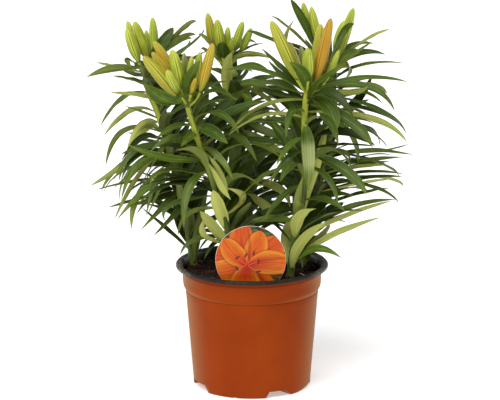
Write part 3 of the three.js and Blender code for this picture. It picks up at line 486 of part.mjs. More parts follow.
  [0, -94.2, 30.3, 243, -120.4, 18.9, 255.4, -146.3, 17.8, 214.5, 11, -8.5, -17.1],
];
const LOOSE_LEAVES = [
  [0, -124.1, 40.7, 343.3, -153.5, 45.1, 357.4, -188.5, 55, 306.8, 11, 31.4, 24.4],
  [0, -115.8, 38.1, 317.1, -174.5, 41.3, 340.6, -185.4, 47.9, 269.5, 11, 32.1, 25],
  [0, -119.3, 37, 329.5, -140.4, 27, 338.7, -156.6, 3.9, 303.3, 11.7, 41.2, 113.7],
  [0, -72.4, 17.5, 152.2, -71.5, 15, 195.7, -55.2, 0.5, 251.2, 11.7, -24.4, -19],
  [1, -67.9, -51.7, 343.1, -50.5, -62.4, 347.6, -29.5, -87.4, 331.1, 15.6, 34.9, 27.1],
  [1, -57, -45.9, 285.3, -87.6, -62.4, 279.2, -83.7, -98.7, 227.5, 11.7, -8.2, -16.4],
  [2, -22, 59.5, 277.1, -18.5, 88.2, 246.6, -1.2, 27, 244.7, 11.7, 11.1, 22.2],
  [2, -15.6, 50.1, 243.3, 14.5, 32.2, 221.3, 36.4, -7.4, 219.6, 13, -41.2, -113.7],
  [3, 70.7, -46, 372.8, 134.4, -60.3, 356.8, 147.8, -90, 327.3, 14.3, 36.4, 28.3],
  [3, 64.2, -40.3, 228, 81.8, -38.2, 294.1, 95.7, -18.6, 350.7, 12.4, -41.2, -113.7],
  [3, 46.3, -31.1, 162.4, 33.8, -8.3, 215.5, 73.6, -32.5, 231.7, 15.6, -33.3, -91.9],
  [3, 50.1, -41.4, 159.7, 51.2, -46.1, 199.9, 92.9, -65.9, 226.8, 13.7, -43.9, -34.1],
  [3, 55.8, -37.5, 173.4, 98.5, -42.9, 209.7, 161.4, -54.8, 230.3, 11, -41.5, -32.3],
  [3, 71.7, -45.1, 310.5, 125.7, -57.5, 292.6, 141.7, -83.9, 266.3, 14.3, 35.9, 27.9],
];

const SHOOTS = ['back_left', 'front_left', 'middle', 'front_right', 'back_right'];

// ---------------------------------------------------------------- solids
const wasm = await Module();
wasm.setup();
const V = (x, y, z) => new THREE.Vector3(x, y, z);

function solidOf(geometry) {
  let g = geometry.clone();
  g.deleteAttribute('normal');
  g.deleteAttribute('uv');
  g = mergeVertices(g, 1e-4);
  const at = g.index.array, tri = [];
  for (let i = 0; i < at.length; i += 3)
    if (at[i] !== at[i + 1] && at[i + 1] !== at[i + 2] && at[i] !== at[i + 2]) tri.push(at[i], at[i + 1], at[i + 2]);
  return new wasm.Manifold(new wasm.Mesh({
    numProp: 3, vertProperties: new Float32Array(g.attributes.position.array), triVerts: new Uint32Array(tri),
  }));
}

function geometryOf(solid) {
  const m = solid.getMesh();
  const g = new THREE.BufferGeometry();
  const p = new Float32Array(m.numVert * 3);
  for (let i = 0; i < m.numVert; i++)
    for (let a = 0; a < 3; a++) p[3 * i + a] = m.vertProperties[i * m.numProp + a];
  g.setAttribute('position', new THREE.BufferAttribute(p, 3));
  g.setIndex(new THREE.BufferAttribute(new Uint32Array(m.triVerts), 1));
  g.computeVertexNormals();
  return g;
}

// The one outer body of a union: leaves that meet can enclose a pocket, which a plant fills with its own flesh.
const whole = (solid) => solid.decompose().sort((a, b) => b.volume() - a.volume())[0].simplify(0.01);

// A cylinder whose rings are moved onto the sections that at(t, k) gives, from its lower end to its upper one.
// k counts the points round a ring, and -1 is the centre of an end.
function loft(radial, ts, at, pointed) {
  const n = ts.length - 1;
  const geo = new THREE.CylinderGeometry(pointed ? 0 : 1, 1, 1, radial, n);
  const p = geo.attributes.position;
  for (let i = 0; i < p.count; i++) {
    const x = p.getX(i), z = p.getZ(i);
    const s = Math.round((p.getY(i) + 0.5) * n);
    let k = Math.round((Math.atan2(x, z) / (2 * Math.PI)) * radial);
    k = ((k % radial) + radial) % radial;
    const v = at(ts[s], Math.hypot(x, z) < 1e-6 ? -1 : k);
    p.setXYZ(i, v.x, v.y, v.z);
  }
  // each quad is split along the diagonal that bulges outwards, so that thin walls never pass through each other
  const id = (x, y) => y * (radial + 1) + x, q = (i) => V(p.getX(i), p.getY(i), p.getZ(i));
  const rim = geo.index.array.slice(3 * radial * (2 * n - (pointed ? 1 : 0)));
  const index = [];
  for (let x = 0; x < radial; x++) {
    for (let y = 0; y < n; y++) {
      const a = id(x, y), b = id(x, y + 1), c = id(x + 1, y + 1), d = id(x + 1, y);
      if (pointed && y === 0) { index.push(b, c, d); continue; }
      const A = q(a), bulge = V().crossVectors(q(b).sub(A), q(d).sub(A)).dot(q(c).sub(A));
      if (bulge > 0) index.push(a, b, c, a, c, d);
      else index.push(a, b, d, b, c, d);
    }
  }
  geo.setIndex([...index, ...rim]);
  return geo;
}

// A tapered round tube along points.
function tube(points, radii, radial) {
  const P = points.map((p) => V(...p)), n = P.length;
  const T = P.map((p, i) => V().subVectors(P[Math.min(n - 1, i + 1)], P[Math.max(0, i - 1)]).normalize());
  let X = Math.abs(T[0].z) > 0.9 ? V(1, 0, 0) : V(0, 0, 1);
  const frame = T.map((t) => {
    X = X.clone().addScaledVector(t, -X.dot(t)).normalize();
    return [X.clone(), V().crossVectors(t, X)];
  });
  return loft(radial, P.map((_, i) => i), (i, k) => {
    const q = P[i].clone();
    if (k === -1) return q;
    const a = (2 * Math.PI * k) / radial;
    return q.addScaledVector(frame[i][0], Math.cos(a) * radii[i]).addScaledVector(frame[i][1], Math.sin(a) * radii[i]);
  }, false);
}

// Lance-shaped blade: half width along the leaf, as a part of its greatest half width.
const blade = (t) => (t < 0.38 ? 0.25 + 0.75 * Math.sin(((Math.PI / 2) * t) / 0.38) : 1 - Math.pow((t - 0.38) / 0.62, 1.9));

function leafFrame(L, t) {
  const [, x0, y0, z0, x1, y1, z1, x2, y2, z2, w, turn0, turn1] = L;
  const a = (1 - t) * (1 - t), b = 2 * t * (1 - t), c = t * t;
  const C = V(a * x0 + b * x1 + c * x2, a * y0 + b * y1 + c * y2, a * z0 + b * z1 + c * z2);
  const T = V((1 - t) * (x1 - x0) + t * (x2 - x1), (1 - t) * (y1 - y0) + t * (y2 - y1), (1 - t) * (z1 - z0) + t * (z2 - z1)).normalize();
  const h = Math.hypot(x2 - x0, y2 - y0) || 1;
  const S = V(-(y2 - y0) / h, (x2 - x0) / h, 0);
  S.addScaledVector(T, -S.dot(T)).normalize(); // across the blade
  const N = V().crossVectors(T, S); // out of its upper face
  const r = ((turn0 + turn1 * t) * Math.PI) / 180, co = Math.cos(r), si = Math.sin(r);
  return {
    C, T, w: (w / 2) * blade(t),
    S: S.clone().multiplyScalar(co).addScaledVector(N, si),
    N: N.clone().multiplyScalar(co).addScaledVector(S, -si),
  };
}

// The blade is three-sided: a flat upper face and a keel along the midrib below.
function leaf(L, ts) {
  return loft(3, ts, (t, k) => {
    const f = leafFrame(L, t), p = f.C.clone();
    if (t > 0.999 || k === -1) return p;
    if (k === 1) return p.addScaledVector(f.N, -LEAF.keel);
    return p.addScaledVector(f.S, k === 0 ? -f.w : f.w).addScaledVector(f.N, f.w * LEAF.lift);
  }, true);
}

// Closed bud: a long body, fullest near the middle, with a blunt tip.
const plump = (t) => (t <= 0 || t >= 1 ? 0 : t > 0.5 ? Math.pow(1 - Math.pow((t - 0.5) / 0.5, 2.6), 0.6) : 1 - 0.8 * Math.pow((0.5 - t) / 0.5, 2.2));

function bud([, , bx, by, bz, tx, ty, tz, w]) {
  const B = V(bx, by, bz), A = V(tx, ty, tz).sub(B), long = A.length();
  A.normalize();
  const X = V(0, 0, 1);
  X.addScaledVector(A, -X.dot(A)).normalize();
  const Y = V().crossVectors(A, X);
  const geo = new THREE.SphereGeometry(1, 6, 6), p = geo.attributes.position;
  for (let i = 0; i < p.count; i++) {
    const x = p.getX(i), z = p.getZ(i);
    const t = Math.acos(Math.max(-1, Math.min(1, -p.getY(i)))) / Math.PI;
    const r = Math.hypot(x, z) < 1e-6 ? 0 : (w / 2) * plump(t), a = Math.atan2(x, z);
    const q = B.clone().addScaledVector(A, t * long).addScaledVector(X, Math.cos(a) * r).addScaledVector(Y, Math.sin(a) * r);
    p.setXYZ(i, q.x, q.y, q.z);
  }
  return geo;
}

// A turned solid about Z from [radius, height] points that run up the outside.
function turned(profile, segments) {
  const g = new THREE.LatheGeometry(profile.map(([r, z]) => new THREE.Vector2(r, z)), segments);
  g.rotateX(Math.PI / 2);
  return solidOf(g);
}

// ---------------------------------------------------------------- pot
const w = POT.wall, top = POT.rimZ;
const potOuter = [[0, 0], [POT.baseR - 1, 0], [POT.baseR, 1], [POT.bodyTopR, POT.bodyTopZ], [POT.bandR, POT.bandZ], [POT.bandTopR, top - 3.4]];
const potProfile = [
  ...potOuter,
  [POT.bandTopR + 1.2, top - 1.9], [POT.lipR - 2.5, top - 1.9], [POT.lipR - w, top - 3], [POT.lipR - w, top - POT.lipDrop],
  [POT.lipR - 0.4, top - POT.lipDrop], [POT.lipR, top - 3.4], [POT.lipR, top - 1.7], [POT.lipR - 1.3, top - 0.3], [POT.lipR - 3.4, top],
  [POT.bandTopR + 1.6, top - 0.1], [POT.bandTopR, top - 1.2], [POT.bandTopR - w, top - 3.2],
  [POT.bandR - w - 0.1, POT.bandZ + 0.6], [POT.bodyTopR - w - 0.1, POT.bodyTopZ + 0.8], [POT.baseR - w + 0.2, POT.floor + 1.6], [POT.baseR - w - 1.2, POT.floor], [0, POT.floor],
];
// A drain notch between two feet: a block that narrows upwards, grown by g on the sides that face the pot's inside.
function notchBlock([from, to, roofFrom, roofTo, height], g) {
  const at = (from + to) / 2, across = (deg) => POT.baseR * Math.sin(((deg - at) * Math.PI) / 180);
  const box = new THREE.BoxGeometry(2, POT.notchDepth + 8 + g, height + g + 3);
  const p = box.attributes.position;
  for (let k = 0; k < p.count; k++) {
    const side = Math.sign(p.getX(k)), low = across(side < 0 ? from : to), high = across(side < 0 ? roofFrom : roofTo);
    p.setX(k, (p.getZ(k) > 0 ? high : low + ((low - high) * 3) / height) + side * g);
  }
  // its inner face is notchDepth + g in from the foot's edge
  box.translate(0, -(POT.baseR + 8 - (POT.notchDepth + 8 + g) / 2), (height + g - 3) / 2);
  box.rotateZ((at * Math.PI) / 180);
  return solidOf(box);
}
function drain([from, to, , , height]) {
  const hole = new THREE.CylinderGeometry(POT.drainR, POT.drainR, 12, 16);
  hole.rotateX(Math.PI / 2);
  hole.translate(0, -(POT.baseR - POT.notchDepth / 2 - 1), height + 2);
  hole.rotateZ((((from + to) / 2) * Math.PI) / 180);
  return solidOf(hole);
}
let pot = turned(potProfile, POT.segments);
const envelope = turned([...potOuter.slice(0, 4), [0, POT.bodyTopZ]], POT.segments);
const nick = new THREE.BoxGeometry(POT.nickWidth, 5, 2 * POT.nickHeight);
nick.translate(0, -POT.baseR, 0);
nick.rotateZ((POT.nickAt * Math.PI) / 180);
pot = pot.subtract(solidOf(nick));
for (const notch of POT.notches) pot = pot.add(notchBlock(notch, w).intersect(envelope)).subtract(notchBlock(notch, 0)).subtract(drain(notch));

// ---------------------------------------------------------------- shoots, bulbs, label, soil
const grown = (list, by) => list.map((r) => r + by);
const stemSolids = STEMS.map((s) => solidOf(tube(s.points, s.radii, 6)));
const stemHoles = STEMS.map((s, i) => {
  const neck = new THREE.CylinderGeometry(4.2, 4.2, 8, 8); // opens the socket of the bulb into the stem's
  neck.rotateX(Math.PI / 2);
  neck.translate(BULBS[i][0], BULBS[i][1], BULBS[i][2] + BULB.above + 2);
  return solidOf(tube(s.points, grown(s.radii, GAP * 1.2), 6)).add(solidOf(neck));
});
const shoots = STEMS.map((s, i) => {
  let solid = stemSolids[i];
  for (const [shoot, points, radii] of STALKS) if (shoot === i) solid = solid.add(solidOf(tube(points, radii, 5)));
  for (const L of LEAVES) if (L[0] === i) solid = solid.add(solidOf(leaf(L, [0, 0.33, 0.68, 1])));
  return whole(solid);
});
const bulbShape = (by) => [[0, -BULB.below - by], [BULB.r * 0.55 + by, -BULB.below * 0.86 - by], [BULB.r + by, -2], [BULB.r * 0.86 + by, 9], [7 + by, 18 + by / 2], [4.5 + by, BULB.above + by], [0, BULB.above + by]];
const bulbs = BULBS.map(([x, y, z]) => turned(bulbShape(0), 9).translate([x, y, z]));
const bulbHoles = BULBS.map(([x, y, z]) => turned(bulbShape(GAP), 9).translate([x, y, z]));

// The label is a round card with a stake that narrows to a point.
function labelSolid(by) {
  const disc = new THREE.CylinderGeometry(LABEL.r + by, LABEL.r + by, LABEL.thick + 2 * by, 48);
  disc.translate(LABEL.x, LABEL.y, 0);
  disc.translate(0, 0, LABEL.z);
  const stake = new THREE.Shape();
  const h = LABEL.stakeW / 2 + by, foot = LABEL.stakeEnd - by;
  stake.moveTo(-h, LABEL.z - 36);
  stake.lineTo(-h * 0.8, foot + 16);
  stake.lineTo(-0.8 - by, foot);
  stake.lineTo(0.8 + by, foot);
  stake.lineTo(h * 0.8, foot + 16);
  stake.lineTo(h, LABEL.z - 36);
  const bar = new THREE.ExtrudeGeometry(stake, { depth: LABEL.thick + 2 * by, bevelEnabled: false });
  bar.translate(0, 0, -LABEL.thick / 2 - by);
  bar.rotateX(Math.PI / 2);
  bar.translate(LABEL.x, LABEL.y, 0);
  return solidOf(disc).add(solidOf(bar));
}

let soil = turned([
  [0, POT.floor + SOIL.gap], [POT.baseR - w - 1.6, POT.floor + SOIL.gap],
  [POT.bodyTopR - w - 1.1, POT.bodyTopZ + 0.9], [POT.bandTopR - w - 1.3, SOIL.edgeZ],
  [66, SOIL.edgeZ + 2], [0, SOIL.centreZ],
], 32);
for (const notch of POT.notches) soil = soil.subtract(notchBlock(notch, w + SOIL.gap));
for (const hole of [...stemHoles, ...bulbHoles, labelSolid(GAP)]) soil = soil.subtract(hole);

// ---------------------------------------------------------------- the assembly
const plant = new THREE.Group();
const finish = (colour, roughness, metalness = 0) => new THREE.MeshStandardMaterial({ color: colour, roughness, metalness });
function place(name, solid, material) {
  const mesh = new THREE.Mesh(solid instanceof THREE.BufferGeometry ? solid : geometryOf(solid), material);
  mesh.name = name;
  plant.add(mesh);
}
place('pot', pot, finish(0xa8481c, 0.55));
place('soil', soil, finish(0x1e1712, 0.95));
place('plant_label', labelSolid(0), finish(0xe8731f, 0.4));
shoots.forEach((s, i) => place('leafy_stem_' + SHOOTS[i], s, finish(0x47701f, 0.45)));
bulbs.forEach((b, i) => place('bulb_' + SHOOTS[i], b, finish(0xe6d6b4, 0.7)));
for (const b of BUDS) place(b[0], solidOf(bud(b)), finish(0xb9be45, 0.5));
const count = [0, 0, 0, 0, 0];
for (const L of LOOSE_LEAVES) place('leaf_' + SHOOTS[L[0]] + '_' + ++count[L[0]], solidOf(leaf(L, [0, 0.17, 0.34, 0.5, 0.67, 0.84, 1])), finish(0x4a7a20, 0.4));

export default plant;
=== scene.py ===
import math
import random

import bpy
import numpy as np
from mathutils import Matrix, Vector


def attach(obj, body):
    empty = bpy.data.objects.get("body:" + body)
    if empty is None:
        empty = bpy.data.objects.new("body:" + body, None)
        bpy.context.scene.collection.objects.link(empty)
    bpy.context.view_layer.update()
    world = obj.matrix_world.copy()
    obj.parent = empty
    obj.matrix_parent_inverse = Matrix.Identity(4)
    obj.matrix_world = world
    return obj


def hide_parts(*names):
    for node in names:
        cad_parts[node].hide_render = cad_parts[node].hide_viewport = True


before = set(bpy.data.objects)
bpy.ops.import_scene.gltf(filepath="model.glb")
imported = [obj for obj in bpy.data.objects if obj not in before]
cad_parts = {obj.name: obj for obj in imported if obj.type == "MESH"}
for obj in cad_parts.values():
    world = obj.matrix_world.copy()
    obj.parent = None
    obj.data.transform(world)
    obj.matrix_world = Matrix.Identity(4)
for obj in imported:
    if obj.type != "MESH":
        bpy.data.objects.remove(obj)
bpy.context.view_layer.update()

random.seed(7)
rng = np.random.default_rng(7)
MM = 0.001

# ------------------------------------------------------------------ the plant's measures, in millimetres
SHOOTS = ["back_left", "front_left", "middle", "front_right", "back_right"]
# Stems: centre line points and radii, from the bulb up to the flower head.
STEMS = [
    ([[-50, 15, 94], [-63.6, 19.1, 119.3], [-73.3, 21.9, 146.5], [-78.4, 24.7, 175], [-83.1, 27.4, 203.5], [-89.2, 30.2, 231.7], [-95.9, 32.9, 259.9], [-103.1, 35.4, 287.9], [-110.9, 37.7, 315.7], [-119.8, 40, 343.3], [-130.6, 41.9, 370.2], [-135, 42, 398.8]],
     [4.6, 4.6, 4.6, 4.5, 4.3, 4.2, 4, 3.8, 3.7, 3.5, 3.4, 3.2]),
    ([[-8, -12, 90], [-11.5, -14.2, 117.4], [-14, -15.6, 145], [-19.8, -21.4, 171.5], [-26.8, -28.3, 197.5], [-34.2, -33.9, 223.6], [-42.1, -38.6, 249.8], [-50, -42.5, 276.1], [-58.1, -45.7, 302.4], [-67.2, -48.5, 328.5], [-75.3, -50.2, 355], [-82.1, -50, 381.8]],
     [4.8, 4.8, 4.8, 4.7, 4.5, 4.4, 4.2, 4, 3.9, 3.7, 3.6, 3.4]),
    ([[-6, 44, 94], [-8.4, 45.1, 122.2], [-10.1, 46, 150.5], [-13.3, 47.9, 178.6], [-16.5, 50, 206.7], [-19.1, 52, 234.8], [-21.4, 53.9, 263], [-23.7, 55.8, 291.2], [-25.8, 57.5, 319.4], [-28.1, 59, 347.6], [-30.5, 60.1, 375.8], [-33.4, 60, 404]],
     [4.6, 4.6, 4.6, 4.5, 4.3, 4.2, 4, 3.8, 3.7, 3.5, 3.4, 3.2]),
    ([[38, -38, 90], [43.2, -36.4, 117.2], [47.2, -35, 144.6], [50.1, -36.7, 172.1], [53.8, -38.9, 199.4], [58.7, -40.8, 226.6], [63, -42.3, 254], [65.9, -43.3, 281.5], [66.9, -43.9, 309.2], [65.3, -44.8, 336.8], [65.5, -45, 364.5], [67.8, -45, 392.1]],
     [5, 5, 5, 4.9, 4.8, 4.6, 4.5, 4.3, 4.2, 4.1, 3.9, 3.8]),
    ([[46, 22, 94], [54.5, 26.9, 121], [60.2, 30.3, 149], [68, 34.9, 176.3], [75.4, 38.9, 203.8], [81.6, 41.6, 231.7], [87.3, 44, 259.8], [92.7, 46.5, 287.9], [97.2, 48.9, 316.3], [100.4, 51.1, 344.7], [100, 52.2, 373.4], [95.7, 52, 401.8]],
     [4.6, 4.6, 4.6, 4.5, 4.3, 4.2, 4, 3.8, 3.7, 3.5, 3.4, 3.2]),
]
# Flower stalks: shoot, points, radii.
STALKS = [
    (0, [[-134.1, 42, 393.1], [-136.2, 38.6, 396.1], [-138.1, 36.1, 399.6], [-139.9, 34.6, 403.4], [-141.5, 34, 407.7]], [2.1, 1.8, 1.7, 1.8, 2.2]),
    (0, [[-133.7, 42, 390.2], [-138, 46.6, 394.7], [-141.5, 50, 399.6], [-144.1, 52.1, 404.7], [-145.8, 53, 410.1]], [2.1, 1.8, 1.7, 1.8, 2.2]),
    (0, [[-133, 42, 385.9], [-130.6, 42.8, 392.8], [-129.3, 43.5, 398.8], [-129, 43.9, 403.9], [-129.8, 44, 408.2]], [2.1, 1.8, 1.7, 1.8, 2.2]),
    (0, [[-134.1, 42, 393.1], [-128.5, 44.4, 397.3], [-124.6, 46.2, 401.9], [-122.4, 47.4, 406.9], [-121.9, 48, 412.5]], [2.1, 1.8, 1.7, 1.8, 2.2]),
    (0, [[-133.7, 42, 390.2], [-130.1, 49.1, 393], [-127.9, 54.2, 396.6], [-126.9, 57.6, 401.1], [-127.2, 59, 406.3]], [2.1, 1.8, 1.7, 1.8, 2.2]),
    (1, [[-80.7, -50, 376.5], [-84.2, -52.2, 377.1], [-87.4, -53.9, 378.5], [-90.5, -55.2, 380.8], [-93.3, -55.9, 384]], [2.1, 1.8, 1.7, 1.8, 2.2]),
    (1, [[-79.7, -50.1, 372.4], [-83.6, -46.8, 377.2], [-87.2, -44.6, 381.9], [-90.5, -43.3, 386.6], [-93.6, -43, 391.2]], [2.1, 1.8, 1.7, 1.8, 2.2]),
    (1, [[-79, -50.1, 369.7], [-80.9, -43.2, 375.7], [-83, -38.2, 381.3], [-85.5, -35.2, 386.7], [-88.2, -34, 391.8]], [2.1, 1.8, 1.7, 1.8, 2.2]),
    (1, [[-80.7, -50, 376.5], [-83.3, -48.3, 380], [-85.4, -47.2, 383.8], [-87, -46.7, 387.8], [-88.1, -46.9, 392]], [2.1, 1.8, 1.7, 1.8, 2.2]),
    (1, [[-79.7, -50.1, 372.4], [-81.9, -57.5, 376.8], [-84.2, -63.3, 381.3], [-86.5, -67.4, 386], [-88.8, -69.9, 390.8]], [2.1, 1.8, 1.7, 1.8, 2.2]),
    (1, [[-79, -50.1, 369.7], [-79.9, -43.6, 375.2], [-80.6, -38.9, 380.7], [-81.2, -36.1, 386.3], [-81.6, -35, 391.9]], [2.1, 1.8, 1.7, 1.8, 2.2]),
    (1, [[-80.7, -50, 376.5], [-79.7, -50, 380.4], [-78.9, -50, 384.4], [-78.2, -50, 388.5], [-77.7, -50, 392.7]], [2.1, 1.8, 1.7, 1.8, 2.2]),
    (1, [[-79.7, -50.1, 372.4], [-76.2, -46.7, 375.6], [-73.5, -44.2, 379.3], [-71.6, -42.7, 383.6], [-70.5, -42, 388.4]], [2.1, 1.8, 1.7, 1.8, 2.2]),
    (1, [[-79, -50.1, 369.7], [-73.3, -52.3, 374], [-68.8, -54, 378.6], [-65.6, -55.2, 383.6], [-63.6, -56, 389]], [2.1, 1.8, 1.7, 1.8, 2.2]),
    (1, [[-80.7, -50, 376.5], [-79.4, -54.4, 377.9], [-78, -57.8, 380.2], [-76.6, -60.3, 383.5], [-75.2, -61.9, 387.8]], [2.1, 1.8, 1.7, 1.8, 2.2]),
    (2, [[-32.8, 60, 398.4], [-39.3, 61.1, 402.3], [-44.2, 62, 406.7], [-47.4, 62.6, 411.6], [-49.1, 63, 417]], [2.1, 1.8, 1.7, 1.8, 2.2]),
    (2, [[-32.5, 60, 395.6], [-34.6, 57.6, 400.9], [-36.2, 55.8, 406.2], [-37.4, 54.6, 411.3], [-38.3, 54, 416.3]], [2.1, 1.8, 1.7, 1.8, 2.2]),
    (2, [[-32.1, 60, 391.3], [-32, 60.9, 398.6], [-31.8, 61.4, 404.9], [-31.7, 61.5, 410.3], [-31.5, 61.1, 414.9]], [2.1, 1.8, 1.7, 1.8, 2.2]),
    (2, [[-32.8, 60, 398.4], [-29.7, 61.1, 403.1], [-27.1, 61.8, 408], [-24.7, 62.1, 413.2], [-22.8, 62, 418.6]], [2.1, 1.8, 1.7, 1.8, 2.2]),
    (2, [[-32.5, 60, 395.6], [-26.5, 63.2, 399.5], [-21.5, 65.6, 403.8], [-17.6, 67.2, 408.4], [-14.7, 68, 413.5]], [2.1, 1.8, 1.7, 1.8, 2.2]),
    (2, [[-32.1, 60, 391.3], [-31.1, 57.2, 397.9], [-30.2, 54.8, 403.9], [-29.3, 52.8, 409.4], [-28.4, 51.1, 414.4]], [2.1, 1.8, 1.7, 1.8, 2.2]),
    (3, [[67.4, -45, 386.6], [63.9, -46.2, 390.2], [60.8, -47.3, 394.3], [58, -48.2, 398.9], [55.6, -48.9, 403.9]], [2.1, 1.8, 1.7, 1.8, 2.2]),
    (3, [[67.1, -45, 383.8], [65.3, -40.8, 388.4], [63.6, -37.8, 393.2], [61.8, -35.8, 398.2], [60.1, -35, 403.3]], [2.1, 1.8, 1.7, 1.8, 2.2]),
    (3, [[66.8, -45, 379.7], [65.8, -35.8, 384.1], [65, -29.3, 389], [64.4, -25.3, 394.1], [63.8, -24, 399.7]], [2.1, 1.8, 1.7, 1.8, 2.2]),
    (3, [[67.4, -45, 386.6], [68, -50.5, 390.2], [68.5, -54.6, 394.5], [68.8, -57.4, 399.3], [68.8, -58.9, 404.7]], [2.1, 1.8, 1.7, 1.8, 2.2]),
    (3, [[67.1, -45, 383.8], [69.4, -42.9, 387.3], [71.2, -41.4, 390.8], [72.5, -40.4, 394.4], [73.4, -40, 398.1]], [2.1, 1.8, 1.7, 1.8, 2.2]),
    (3, [[66.8, -45, 379.7], [71.8, -47.5, 384], [75.7, -49.3, 388.5], [78.4, -50.5, 393.1], [80, -51, 398]], [2.1, 1.8, 1.7, 1.8, 2.2]),
    (3, [[67.4, -45, 386.6], [75.9, -45.1, 388.2], [82.5, -45.3, 390.9], [87.4, -45.6, 394.6], [90.4, -46, 399.4]], [2.1, 1.8, 1.7, 1.8, 2.2]),
    (4, [[96.5, 52, 396.2], [89.6, 53.7, 404], [84.2, 54.9, 411.2], [80.4, 55.7, 417.7], [78.1, 56, 423.6]], [2.1, 1.8, 1.7, 1.8, 2.2]),
    (4, [[97, 52.1, 393.3], [92.9, 49.9, 402.1], [89.6, 48.4, 409.9], [87.1, 47.4, 416.9], [85.5, 47, 422.9]], [2.1, 1.8, 1.7, 1.8, 2.2]),
    (4, [[97.6, 52.1, 389], [99.4, 51.2, 393.3], [101, 50.5, 397.2], [102.4, 50.1, 400.9], [103.6, 50, 404.4]], [2.1, 1.8, 1.7, 1.8, 2.2]),
    (4, [[96.5, 52, 396.2], [98.5, 57.6, 399.9], [100.4, 61.6, 404.1], [102.2, 64.1, 408.8], [103.9, 65, 414.1]], [2.1, 1.8, 1.7, 1.8, 2.2]),
]
# Buds: name, shoot, base xyz, tip xyz, width, ripeness (0 green, 1 orange, below 0 grey-green).
BUDS = [
    ["bud_back_left_1", 0, -141.64, 34, 408.2, -156.3, 33, 451.84, 13.88, 0.1],
    ["bud_back_left_2", 0, -145.94, 53, 410.62, -156.34, 55, 456.36, 10.73, 0.1],
    ["bud_back_left_3", 0, -129.99, 44, 408.66, -147.21, 44, 457.92, 15.14, 0.2],
    ["bud_back_left_4", 0, -121.9, 48, 412.95, -124.78, 50, 461.83, 11.36, 0],
    ["bud_back_left_5", 0, -127.25, 59, 406.79, -133.38, 62, 443.43, 8.83, 0],
    ["bud_front_left_1", 1, -93.65, -56, 384.41, -133.71, -64, 436.39, 16.41, 0.62],
    ["bud_front_left_2", 1, -93.86, -43, 391.66, -123.15, -45, 437.44, 12.62, 0.95],
    ["bud_front_left_3", 1, -88.47, -34, 392.23, -120.94, -32, 448.58, 13.25, 0.8],
    ["bud_front_left_4", 1, -88.23, -47, 392.53, -98.35, -53, 441.61, 15.78, 0.1],
    ["bud_front_left_5", 1, -89.05, -70, 391.27, -104.01, -80, 422.25, 11.99, 0.05],
    ["bud_front_left_6", 1, -81.64, -35, 392.44, -83.96, -34, 433.89, 8.83, -0.6],
    ["bud_front_left_7", 1, -77.69, -50, 393.19, -73.85, -50, 433.46, 8.83, 0],
    ["bud_front_left_8", 1, -70.43, -42, 388.91, -64.12, -40, 436.4, 10.73, 0.15],
    ["bud_front_left_9", 1, -63.45, -56, 389.46, -47.85, -62, 452.23, 13.25, 0.9],
    ["bud_front_left_10", 1, -75.06, -62, 388.25, -68.77, -67, 409.45, 6.94, 0.85],
    ["bud_middle_1", 2, -49.14, 63, 417.54, -55.96, 65, 464.62, 11.99, 0.45],
    ["bud_middle_2", 2, -38.36, 54, 416.84, -43.91, 52, 458.88, 13.25, 0.1],
    ["bud_middle_3", 2, -31.48, 61, 415.38, -30.15, 56, 448.48, 8.83, 0],
    ["bud_middle_4", 2, -22.66, 62, 419.03, -11.3, 60, 454.72, 10.73, 0.1],
    ["bud_middle_5", 2, -14.49, 68, 413.92, -0.61, 70, 444.38, 10.1, 0],
    ["bud_middle_6", 2, -28.28, 51, 414.89, -23.82, 44, 438.12, 6.94, 0],
    ["bud_front_right_1", 3, 55.42, -49, 404.31, 23.22, -59, 479.1, 16.41, 0.35],
    ["bud_front_right_2", 3, 59.91, -35, 403.82, 45.61, -33, 447.53, 11.36, 0.5],
    ["bud_front_right_3", 3, 63.79, -24, 400.19, 60.55, -24, 440.64, 8.83, -0.7],
    ["bud_front_right_4", 3, 68.82, -59, 405.21, 68.57, -65, 446.6, 15.14, 0.05],
    ["bud_front_right_5", 3, 73.45, -40, 398.58, 84.88, -38, 471.15, 15.14, 0.4],
    ["bud_front_right_6", 3, 80.05, -51, 398.45, 96.8, -54, 481.85, 14.51, 0.85],
    ["bud_front_right_7", 3, 90.61, -46, 399.88, 106.96, -49, 440.78, 8.2, 0],
    ["bud_back_right_1", 4, 78.02, 56, 424.12, 64.01, 57, 479.61, 11.36, 0.15],
    ["bud_back_right_2", 4, 85.41, 47, 423.42, 73.88, 46, 476.65, 11.36, 0.1],
    ["bud_back_right_3", 4, 103.79, 50, 404.83, 127.23, 50, 473.96, 13.88, 0.05],
    ["bud_back_right_4", 4, 104.07, 65, 414.55, 115.83, 66, 454.17, 10.1, 0.1],
]
